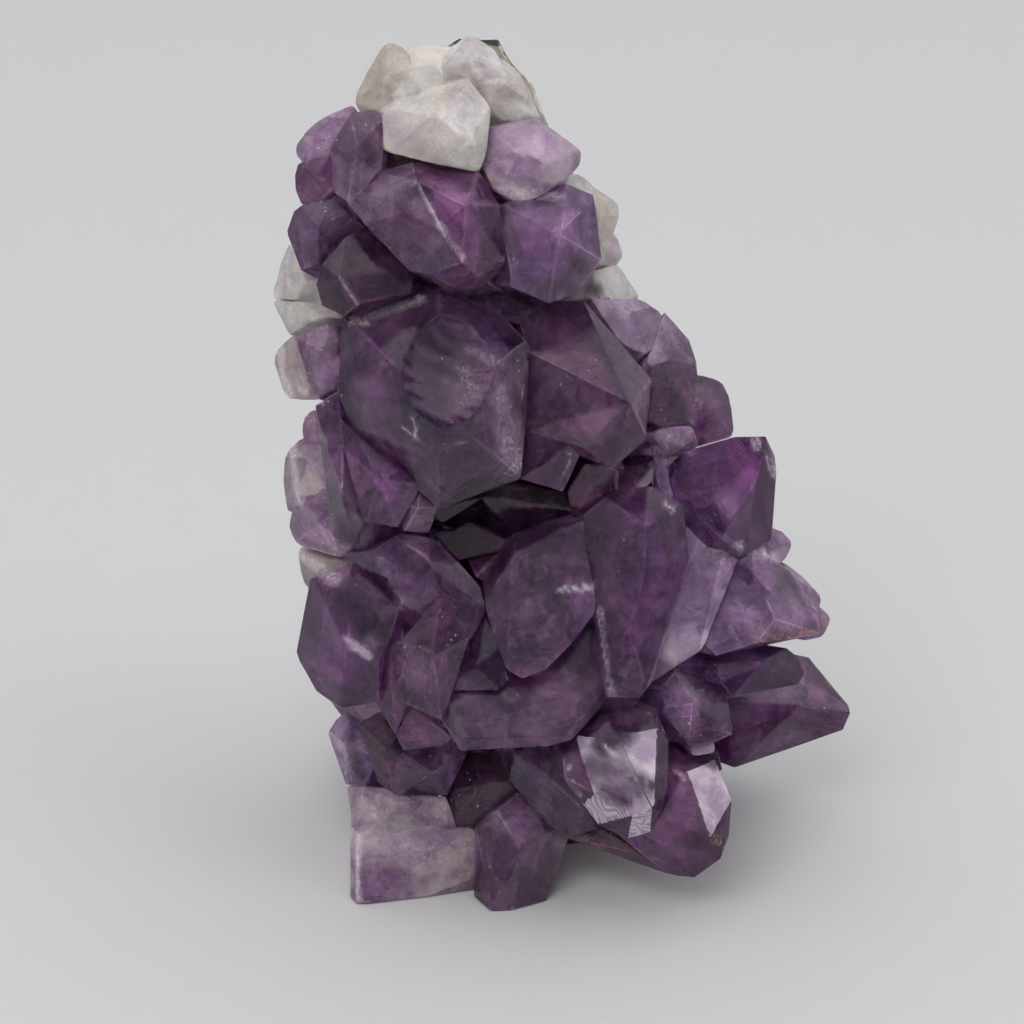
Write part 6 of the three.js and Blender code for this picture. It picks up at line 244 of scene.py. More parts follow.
    ["c_re5", 177, "d", 0, -0.707, 0.707, [[-14.84, -17.12, 49.12], [-5.91, -13.55, 49.61], [-14.43, -11.61, 44.23], [-9.12, -11.46, 53.71], [-18.77, -15.48, 52.98], [-14.51, -11.49, 44.24], [-6.84, -8.59, 44.65], [-9.35, -8.75, 43.73], [-10.17, -6.95, 48.06], [-9.61, -6.76, 48.15], [-9.44, -6.83, 47.87], [-13.59, -9.44, 44.17], [-9.98, -8.65, 43.8], [-14.08, -8.51, 46.76], [-13.84, -9.41, 44.4], [-17.82, -10.21, 47.56]]],
    ["u_fill", 178, "w", 0.754, -0.526, 0.392, [[-6.82, 10.95, 90.31], [-11.76, 6.87, 93.16], [-9.06, 6.98, 90.54], [-9.95, 11.46, 94.43], [-11.39, 8.13, 93.43], [-7.4, 11.88, 91.37], [-0.28, -2.07, 99.56], [2.92, -1.95, 96.48], [1.82, 3.36, 101.03], [-7.48, 12.04, 91.61], [-8.42, 12.44, 93.22], [3.54, 4.24, 99.9], [3.76, 4.41, 99.69], [4.88, 3.94, 97.79], [5.49, 2.77, 96.18], [3.71, -0.79, 96.46]]],
    ["l_fill", 179, "w", -0.754, -0.526, 0.392, [[-26.51, 5.55, 79.31], [-24.67, 3.14, 80.54], [-26.83, 8.38, 83.7], [-26.46, 5.88, 79.69], [-25.4, 7.07, 84.71], [-23.21, 3.87, 83.92], [-23.29, 3.84, 83.66], [-38.74, -2.85, 85], [-36.53, -5.64, 86.43], [-39.02, 0.54, 90.13], [-37.5, -1.11, 91.4], [-37.67, -0.99, 91.31], [-34.79, -4.76, 90.39], [-36.5, -5.63, 86.53]]],
]
# shell-shaped fractures: crystal, middle, half sizes across, in depth, upwards, tilt
FRACTURES = [
    ["c_big", -14.92, -23.24, 81.52, 8.66, 5.49, 12.71, 59],
]


def jitter(seed, k):
    v = math.sin(seed * 12.9898 + k * 78.233) * 43758.5453
    return (v - math.floor(v)) * 2 - 1


# ---- repeatable noise on many points at once ----------------------------------------
def lattice(i, j, k, seed):
    h = (i * 374761393 + j * 668265263 + k * 1442695041 + seed * 974634777) & 0xFFFFFFFF
    h = ((h ^ (h >> 13)) * 1274126177) & 0xFFFFFFFF
    h = h ^ (h >> 16)
    return (h & 0xFFFF) / 32767.5 - 1.0


def noise(P, seed=0):
    i = np.floor(P).astype(np.int64)
    f = P - i
    f = f * f * (3 - 2 * f)
    r = np.zeros(len(P))
    for a in (0, 1):
        wa = f[:, 0] if a else 1 - f[:, 0]
        for b in (0, 1):
            wb = wa * (f[:, 1] if b else 1 - f[:, 1])
            for c in (0, 1):
                r += wb * (f[:, 2] if c else 1 - f[:, 2]) * lattice(i[:, 0] + a, i[:, 1] + b, i[:, 2] + c, seed)
    return r


def fractal(P, octaves=3, seed=0, gain=0.5):
    r, g, s = np.zeros(len(P)), 1.0, 0.0
    for o in range(octaves):
        r += g * noise(P * 2.0 ** o, seed + 17 * o)
        s += g
        g *= gain
    return r / s


def smooth(x, lo, hi):
    t = np.clip((x - lo) / (hi - lo), 0, 1)
    return t * t * (3 - 2 * t)


# ---- shapes ------------------------------------------------------------------------
def to_metres(P):
    return (np.asarray(P, float) - np.array([MIDDLE[0], MIDDLE[1], 0.0])) * MM


def to_table(P):
    return np.asarray(P, float) / MM + np.array([MIDDLE[0], MIDDLE[1], 0.0])


def new_object(name, V, F):
    me = bpy.data.meshes.new(name)
    me.from_pydata([tuple(v) for v in V], [], [tuple(f) for f in F])
    me.update()
    ob = bpy.data.objects.new(name, me)
    scene.collection.objects.link(ob)
    return ob


def hull_mesh(P):
    bm = bmesh.new()
    for p in P:
        bm.verts.new(p)
    bmesh.ops.remove_doubles(bm, verts=bm.verts, dist=2e-6)
    r = bmesh.ops.convex_hull(bm, input=bm.verts)
    junk = list({e for e in r["geom_interior"] + r["geom_unused"] + r["geom_holes"] if isinstance(e, bmesh.types.BMVert) and e.is_valid})
    if junk:
        bmesh.ops.delete(bm, geom=junk, context="VERTS")
    bmesh.ops.triangulate(bm, faces=bm.faces)
    bmesh.ops.recalc_face_normals(bm, faces=bm.faces)
    return bm


def hull_object(name, P):
    """the closed convex body round the points P (metres)"""
    me = bpy.data.meshes.new(name)
    bm = hull_mesh(P)
    bm.to_mesh(me)
    bm.free()
    ob = bpy.data.objects.new(name, me)
    scene.collection.objects.link(ob)
    return ob


def crystal_frame(axis):
    a = axis / np.linalg.norm(axis)
    c = float(FRONT @ a)
    v = np.cross(FRONT, a)
    s = np.linalg.norm(v)
    if s < 1e-9:
        return FRONT_X.copy(), FRONT_Y.copy(), a
    k = v / s
    turn = lambda p: p * c + np.cross(k, p) * s + k * (k @ p) * (1 - c)
    return turn(FRONT_X), turn(FRONT_Y), a


class Crystal:
    """planes N.p = D of a convex crystal, with K = 0 prism, 1 pyramid, 2 root, 3 chip"""

    def polygons(self, grow=0.0):
        N, D = self.N, self.D + grow
        n = len(N)
        I = np.array([(i, j, k) for i in range(n) for j in range(i + 1, n) for k in range(j + 1, n)])
        A = N[I]
        det = np.linalg.det(A)
        ok = np.abs(det) > 1e-5
        P = np.linalg.solve(A[ok], D[I[ok]][..., None])[..., 0]
        P = P[(P @ N.T <= D + 4e-3).all(1)]
        corners = []
        for p in P:
            if not corners or min(float(((p - q) ** 2).sum()) for q in corners) > 1e-4:
                corners.append(p)
        C = np.array(corners)
        faces, kept = [], []
        if len(C) < 4:
            return C, faces, kept
        for f in range(n):
            on = np.where(np.abs(C @ N[f] - D[f]) < 1.5e-2)[0]
            if len(on) < 3:
                continue
            m = C[on].mean(0)
            u = C[on[0]] - m
            if np.linalg.norm(u) < 1e-6:
                continue
            u /= np.linalg.norm(u)
            w = np.cross(N[f], u)
            ang = np.arctan2((C[on] - m) @ w, (C[on] - m) @ u)
            faces.append([int(x) for x in on[np.argsort(ang)]])
            kept.append(f)
        return C, faces, kept


def habit_crystal(row):
    c = Crystal()
    c.name = row[0]
    c.tip = np.array(row[1:4], float)
    c.ex, c.ey, c.a = crystal_frame(np.array(row[4:7], float))
    R, roll, L, c.seed, c.zone = row[7], row[8], row[9], row[10], row[11]
    pyr = row[12] if len(row) > 12 else None
    pri = row[13] if len(row) > 13 else None
    chips = row[14] if len(row) > 14 else []
    inr = R * math.cos(math.pi / 6)
    N, D, K = [], [], []
    for i in range(6):
        t = math.radians(roll + 30 + 60 * i)
        e = math.cos(t) * c.ex + math.sin(t) * c.ey
        po = pri[i] if pri else PRISM_IRREGULARITY * jitter(c.seed, i)
        yo = pyr[i] if pyr else PYRAMID_IRREGULARITY * max(-0.2, jitter(c.seed, 10 + i))
        N.append(e); D.append(e @ c.tip + inr * (1 + po)); K.append(0)
        n = math.cos(BETA) * c.a + math.sin(BETA) * e
        N.append(n); D.append(n @ c.tip + inr * yo); K.append(1)
    N.append(-c.a); D.append(-c.a @ c.tip + L); K.append(2)
    for u, v, w, depth in chips or []:
        n = u * c.ex + v * c.ey + w * c.a
        n /= np.linalg.norm(n)
        N.append(n); D.append(n @ c.tip - depth * R); K.append(3)
    c.N, c.D, c.K = np.array(N), np.array(D), K
    c.R = R
    return c


def crowded_crystal(row):
    c = Crystal()
    c.name, c.seed, c.zone = row[0], row[1], row[2]
    c.ex, c.ey, c.a = crystal_frame(np.array(row[3:6], float))
    P = np.array(row[6], float)
    bm = hull_mesh(P * 1.0)
    bm.normal_update()
    tri = [(f.calc_area(), np.array(f.normal), np.array([v.co for v in f.verts]).mean(0), [np.array(v.co) for v in f.verts]) for f in bm.faces]
    bm.free()
    tri = [t for t in tri if t[0] > 1e-4]
    tri.sort(key=lambda t: -t[0])
    groups = []
    for s, n, m, vs in tri:
        for g in groups:
            if g[1] @ n > 0.9985 and abs(g[1] @ (m - g[2])) < 0.08:
                g[0] += s
                g[3] += s * n
                g[4].extend(vs)
                break
        else:
            groups.append([s, n, m, s * n, list(vs)])
    N, D, K = [], [], []
    for s, n, m, sn, vs in groups:
        if s < 0.15:
            continue
        n = sn / np.linalg.norm(sn)
        N.append(n)
        D.append(max(n @ v for v in vs))
        d = n @ c.a
        K.append(0 if abs(d) < 0.35 else 2 if d < -0.7 else 1)
    c.N, c.D, c.K = np.array(N), np.array(D), K
    far = P @ c.a
    c.tip = P[int(np.argmax(far))]
    c.R = 0.5 * float(np.ptp(P[far > far.max() - 12] @ c.ex)) + 1.0
    return c


def inset(P, normal, w):
    """corners of a convex polygon whose sides are moved in by w, or None if nothing is left"""
    out = [p for p in P]
    n = len(P)
    for i in range(n):
        p0, p1 = P[i], P[(i + 1) % n]
        d = p1 - p0
        l = np.linalg.norm(d)
        if l < 0.02:
            continue
        inwards = np.cross(normal, d / l)
        s = [float(inwards @ (q - p0)) - w for q in out]
        new = []
        for k in range(len(out)):
            a, b = out[k], out[(k + 1) % len(out)]
            sa, sb = s[k], s[(k + 1) % len(out)]
            if sa >= 0:
                new.append(a)
            if (sa > 0 > sb) or (sa < 0 < sb):
                new.append(a + (b - a) * (sa / (sa - sb)))
        out = new
        if len(out) < 3:
            return None
    return np.array(out)


def crystal_object(c, grow=0.0, bevel=0.0):
    V, F, K = c.polygons(grow)
    if bevel <= 0:
        return hull_object("c_" + c.name, to_metres(V))
    pts = []
    for q, (f, k) in enumerate(zip(F, K)):
        for w in (bevel * (1 + 0.6 * jitter(c.seed, 40 + q)), 0.5 * bevel, 0.2 * bevel, 0.0):
            r = inset(V[f], c.N[k], w) if w else V[f]
            if r is not None:
                pts.extend(r)
                break
    return hull_object("c_" + c.name, to_metres(pts))


def loft_object(name, rings):
    n = len(rings[0])
    V = [p for r in rings for p in r]
    F = []
    for s in range(len(rings) - 1):
        for k in range(n):
            a, b = s * n + k, s * n + (k + 1) % n
            F.append((a, b, b + n, a + n))
    F.append(tuple(range(n))[::-1])
    F.append(tuple(range((len(rings) - 1) * n, len(rings) * n)))
    ob = new_object(name, to_metres(V), F)
    bm = bmesh.new(); bm.from_mesh(ob.data)
    bmesh.ops.triangulate(bm, faces=bm.faces)
    bmesh.ops.recalc_face_normals(bm, faces=bm.faces)
    bm.to_mesh(ob.data); bm.free()
    return ob


def apply(ob):
    dg = bpy.context.evaluated_depsgraph_get()
    me = bpy.data.meshes.new_from_object(ob.evaluated_get(dg), depsgraph=dg)
    ob.modifiers.clear()
    old = ob.data
    ob.data = me
    bpy.data.meshes.remove(old)
    return ob


def sound(me):
    bm = bmesh.new(); bm.from_mesh(me)
    ok = len(bm.faces) > 3 and all(e.is_manifold for e in bm.edges) and all(v.is_manifold for v in bm.verts)
    vol = bm.calc_volume(signed=True) if ok else 0.0
    bm.free()
    return ok, vol


def pair(ob, other, operation):
    ok1, v1 = sound(ob.data)
    ok2, v2 = sound(other.data)
    mod = ob.modifiers.new("b", "BOOLEAN")
    mod.operation = operation
    mod.solver = "MANIFOLD"
    mod.object = other
    apply(ob)
    ok3, v3 = sound(ob.data)
    if not (ok1 and ok2 and ok3) or (operation == "UNION" and v3 < max(v1, v2) * 0.999):
        print("BOOLEAN", operation, ob.name, other.name, ok1, ok2, ok3, v1 * 1e9, v2 * 1e9, v3 * 1e9)
    me = other.data
    bpy.data.objects.remove(other)
    bpy.data.meshes.remove(me)
    return ob


def joined(obs):
    """one solid from overlapping ones, joined two by two"""
    while len(obs) > 1:
        obs = [pair(obs[i], obs[i + 1], "UNION") if i + 1 < len(obs) else obs[i] for i in range(0, len(obs), 2)]
    return obs[0]


def boolean(ob, others, operation):
    if not isinstance(others, list):
        others = [others]
    return pair(ob, joined(others), operation) if others else ob


def box_object(name, lo, hi):
    x0, y0, z0 = lo
    x1, y1, z1 = hi
    V = [(x, y, z) for x in (x0, x1) for y in (y0, y1) for z in (z0, z1)]
    F = [(0, 1, 3, 2), (4, 6, 7, 5), (0, 4, 5, 1), (2, 3, 7, 6), (0, 2, 6, 4), (1, 5, 7, 3)]
    return new_object(name, V, F)


def ring(z, cx, cy, rx, ry, sides, inset=0.0):
    return [(cx + (rx - inset) * math.cos(2 * math.pi * k / sides), cy + (ry - inset) * math.sin(2 * math.pi * k / sides), z) for k in range(sides)]


def core_objects(inset=0.0):
    return [
        loft_object("core", [ring(max(z, inset) if z <= 0 else z, cx, cy, rx, ry, 16, inset) for z, cx, cy, rx, ry in CORE]),
        loft_object("core_back", [ring(max(z, inset) if z <= 0 else z, cx, cy, rx, ry, 16, RIND_THICKNESS + 0.32 + inset) if rx > 5 + inset else ring(z, cx, cy, 0.4, 0.4, 16) for z, cx, cy, rx, ry in RIND[:-2]]),
    ]


def fracture_object(row, grow=0.0, detail=5):
    """the hollow that a blow left: a shell with fine ripples that spread from the blow"""
    _, x, y, z, sx, sy, sz, tilt = row
    bm = bmesh.new()
    bmesh.ops.create_icosphere(bm, subdivisions=detail, radius=1.0)
    V = np.array([v.co for v in bm.verts])
    S = V * np.array([sx, sy, sz])
    if detail > 3:
        blow = np.array([-0.55 * sx, 0.6 * sy, -0.55 * sz])
        d = np.linalg.norm(S - blow, axis=1)
        wob = 1.2 * noise(S / 5.0, 71)
        ripple = 0.10 * np.sin((d + wob) * 2.4) * smooth(d, 1.5, 6.0) + 0.22 * fractal(S / 3.2, 3, 72)
        S = S + V * ripple[:, None]
    S = S + V * grow
    t = math.radians(-tilt)
    S = np.stack([S[:, 0], S[:, 1] * math.cos(t) - S[:, 2] * math.sin(t), S[:, 1] * math.sin(t) + S[:, 2] * math.cos(t)], 1)
    S = to_metres(S + np.array([x, y, z]))
    for v, s in zip(bm.verts, S):
        v.co = s
    me = bpy.data.meshes.new("fracture")
    bm.to_mesh(me); bm.free()
    ob = bpy.data.objects.new("fracture", me)
    scene.collection.objects.link(ob)
    return ob


crystals = [habit_crystal(r) for r in CRYSTALS] + [crowded_crystal(r) for r in CROWDED]
for c in crystals:
    V = c.polygons()[0]
    c.middle, c.reach = (V.min(0) + V.max(0)) / 2, np.ptp(V, axis=0) / 2 + 0.1
note(len(crystals), "crystals")
BEVEL = 0.16
GAP = 0.06


def group(zones):
    return [c for c in crystals if c.zone in zones]


def bodies(cs, grow=0.0, bevel=0.0, shell=0.0, detail=5):
    out = []
    for c in cs:
        if grow < 0 and len(c.polygons(grow)[1]) < 4:
            continue
        ob = crystal_object(c, grow, bevel)
        if grow < 0 and not sound(ob.data)[0]:
            bpy.data.objects.remove(ob)
            continue
        for f in FRACTURES:
            if f[0] == c.name:
                pair(ob, fracture_object(f, shell, detail), "DIFFERENCE")
        out.append(ob)
    return out


def cut_to_box(ob):
    lo, hi = CAD_BOX
    m = 0.00002
    return boolean(ob, box_object("limits", (lo[0] + m, lo[1] + m, lo[2]), (hi[0] - m, hi[1] - m, hi[2] - m)), "INTERSECT")


rind_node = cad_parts["host_rock_rind"]


def rind_copy():
    copy = rind_node.copy(); copy.data = rind_node.data.copy(); copy.parent = None
    scene.collection.objects.link(copy)
    b = bmesh.new(); b.from_mesh(copy.data)
    bmesh.ops.remove_doubles(b, verts=b.verts, dist=1e-6)
    b.to_mesh(copy.data); b.free()
    return copy


milky = joined(bodies(group("w"), 0, BEVEL)); milky.name = "milky_quartz"
pale = joined(bodies(group("p"), 0, BEVEL)); pale.name = "pale_amethyst"
purple = joined(bodies(group("ad"), 0, BEVEL) + core_objects()); purple.name = "amethyst"
boolean(pale, bodies(group("w"), GAP), "DIFFERENCE")
boolean(purple, bodies(group("wp"), GAP), "DIFFERENCE")
for ob in (milky, pale, purple):
    boolean(ob, rind_copy(), "DIFFERENCE")
    cut_to_box(ob)
note("glass joined", [len(o.data.polygons) for o in (milky, pale, purple)])

# clouds sealed in the crystals: the same bodies, smaller, later softened
haze = joined(bodies(crystals, -1.0, 0, 1.1, 3) + core_objects(1.2))
deep = joined(bodies(crystals, -3.2, 0, 3.0, 3) + core_objects(3.0))
note("clouds joined", len(haze.data.polygons), len(deep.data.polygons))


# ---- finer meshes --------------------------------------------------------------------
def buried(P, cs, margin=0.9):
    """which points lie inside the growth, deeper than the margin"""
    deep = np.zeros(len(P), bool)
    for c in cs:
        todo = np.where(~deep)[0]
        near = todo[(np.abs(P[todo] - c.middle) < c.reach).all(1)]
        if len(near):
            deep[near[(P[near] @ c.N.T - c.D).max(1) < -margin]] = True
    for z0, z1 in zip(CORE[:-1], CORE[1:]):
        on = (P[:, 2] >= z0[0]) & (P[:, 2] < z1[0]) & (P[:, 2] > 0.5)
        f = (P[on, 2] - z0[0]) / (z1[0] - z0[0])
        row = [z0[q] + (z1[q] - z0[q]) * f for q in range(1, 5)]
        deep[on] |= ((P[on, 0] - row[0]) / (row[2] - margin)) ** 2 + ((P[on, 1] - row[1]) / (row[3] - margin)) ** 2 < 0.94
    return deep


def refine(ob, longest, cs=(), rounds=8):
    """shorter edges on what can be seen"""
    bm = bmesh.new(); bm.from_mesh(ob.data)
    bmesh.ops.dissolve_limit(bm, angle_limit=math.radians(0.25), use_dissolve_boundaries=False, verts=bm.verts, edges=bm.edges)
    bmesh.ops.triangulate(bm, faces=bm.faces)
    for _ in range(rounds):
        far = [e for e in bm.edges if e.calc_length() > longest]
        if cs and far:
            C = to_table(np.array([f.calc_center_median() for f in bm.faces]))
            hid = buried(C, cs)
            for f, h in zip(bm.faces, hid):
                f.tag = bool(h)
            far = [e for e in far if not all(f.tag for f in e.link_faces)]
        if not far:
            break
        bmesh.ops.subdivide_edges(bm, edges=far, cuts=1, use_grid_fill=False)
        bmesh.ops.triangulate(bm, faces=[f for f in bm.faces if len(f.verts) > 3])
    bm.to_mesh(ob.data); bm.free()
    return ob


def coords(me):
    V = np.empty(len(me.vertices) * 3)
    me.vertices.foreach_get("co", V)
    return V.reshape(-1, 3)


def triangles(me):
    T = np.empty(len(me.loops), dtype=np.int64)
    me.loops.foreach_get("vertex_index", T)
    return T.reshape(-1, 3)


def owners(P, level=0.0, cs=crystals):
    """for each point the crystal on whose surface (moved by level) it lies, and the facet"""
    best = np.full(len(P), 1e9); who = np.full(len(P), -1); which = np.zeros(len(P), int)
    for q, c in enumerate(cs):
        H = P @ c.N.T - c.D
        k = H.argmax(1)
        h = np.abs(H[np.arange(len(P)), k] - level)
        b = h < best
        best[b] = h[b]; who[b] = q; which[b] = k[b]
    return who, which, best


FINE = {"milky_quartz": 1.0, "pale_amethyst": 1.4, "amethyst": 1.6}
for ob in (milky, pale, purple):
    refine(ob, FINE[ob.name] * MM, crystals)
    V = to_table(coords(ob.data))
    rounds, grain = {"milky_quartz": (2, 0.15), "pale_amethyst": (1, 0.03), "amethyst": (0, 0.0)}[ob.name]
    E = np.empty(len(ob.data.edges) * 2, dtype=np.int64); ob.data.edges.foreach_get("vertices", E); E = E.reshape(-1, 2)
    fixed = V[:, 2:3] < 0.02
    for _ in range(rounds):
        total = np.zeros_like(V); count = np.zeros(len(V))
        for a, b in ((0, 1), (1, 0)):
            for d in range(3):
                total[:, d] += np.bincount(E[:, a], weights=V[E[:, b], d], minlength=len(V))
            count += np.bincount(E[:, a], minlength=len(V))
        V = np.where(fixed, V, V + 0.5 * (total / np.maximum(count, 1)[:, None] - V))
    if grain:
        V = V + np.where(fixed, 0.0, np.stack([fractal(V / 1.6, 2, s) for s in (21, 22, 23)], 1) * grain)
    # slight waviness, the same on both sides of a joint between two pieces
    wave = np.stack([fractal(V / 4.5, 2, s) for s in (11, 12, 13)], 1) * 0.035
    amount = np.where(V[:, 2:3] < 0.02, 0.0, 1.0)
    V2 = to_metres(V + wave * amount)
    lo, hi = np.array(CAD_BOX[0]) + 1e-5, np.array(CAD_BOX[1]) - 1e-5
    lo[2] = CAD_BOX[0][2]
    V2 = np.clip(V2, lo, hi)
    ob.data.vertices.foreach_set("co", V2.ravel())
    ob.data.update()
note("refined", [len(o.data.polygons) for o in (milky, pale, purple)])

# ---- what each crystal looks like ------------------------------------------------------
# tones of the classes of crystal: tint of the glass and of its haze, and how clear it is
TONES = {
    "w": ((0.93, 0.90, 0.85), 0.48),
    "q": ((0.66, 0.57, 0.60), 0.60),
    "p": ((0.66, 0.47, 0.64), 0.66),
    "g": ((0.43, 0.262, 0.425), 0.78),
    "a": ((0.36, 0.16, 0.345), 0.82),
    "v": ((0.25, 0.085, 0.27), 0.88),
    "d": ((0.27, 0.085, 0.22), 0.86),
    # d: the crystals in recesses and crevices, darker than the rest, partly their own deep colour and partly painted
    # shade
    "m": ((0.44, 0.20, 0.42), 0.80),
    "o": ((0.33, 0.18, 0.25), 0.82),
    "c": ((0.33, 0.165, 0.335), 0.82),
    "b": ((0.29, 0.135, 0.27), 0.84),
    "e": ((0.50, 0.31, 0.49), 0.76),
    "l": ((0.93, 0.80, 0.93), 0.52),
}
CLASS = dict(
    c_big="c", c_rt="b", c_top="g", c_sm="a", c_dk="d", f_F="a", f_dp="v", f_H="c", r_G="a", r_D="v", r_col="p",
    r_I="e", r_fr="p", r_J="v", r_K="a", r_L="g", r_L2="p", r_L3="d", f_P="a", f_Q="a", r_thin="p", l_drk="b",
    u_prs="g", u_mag="m", u_pur="e", t_big="w", t_lil="l", t_left="w", t_fac="w", t_l2="p", u_l1="m", u_rnd="e",
    l_a="g", l_gry="p", l_wht="q", l_str="g", l_brn="a", l_clr="q", l_sm="p", l_lil="p", l_bt="q", c_gr="g",
    m_a="g", m_b="g", f_m1="m", f_b2="a", f_m2="a", f_m3="a", f_e1="p", f_e2="d", f_M="g", f_ol="o", f_g1="e",
    f_N0="q", f_N="q", f_O="e", r_l1="p", r_l2="p", r_l3="a", r_l4="p", r_rnd="a", f_und="o", c_re1="d", c_re2="d",
    c_re3="d", c_re5="d", u_pr1="w", u_pr2="w", u_pr3="w",
)
for c in crystals:
    k = CLASS.get(c.name, c.zone)
    tone, clear = TONES[k]
    j = 1 + 0.13 * jitter(c.seed, 61)
    warm = 0.05 * jitter(c.seed, 62)
    c.tone = np.array([tone[0] * (1 + warm), tone[1], tone[2] * (1 - warm)]) * j
    c.clear = clear + 0.07 * jitter(c.seed, 63)
    c.kind = k
CORE_TONE = np.array([0.30, 0.15, 0.26])

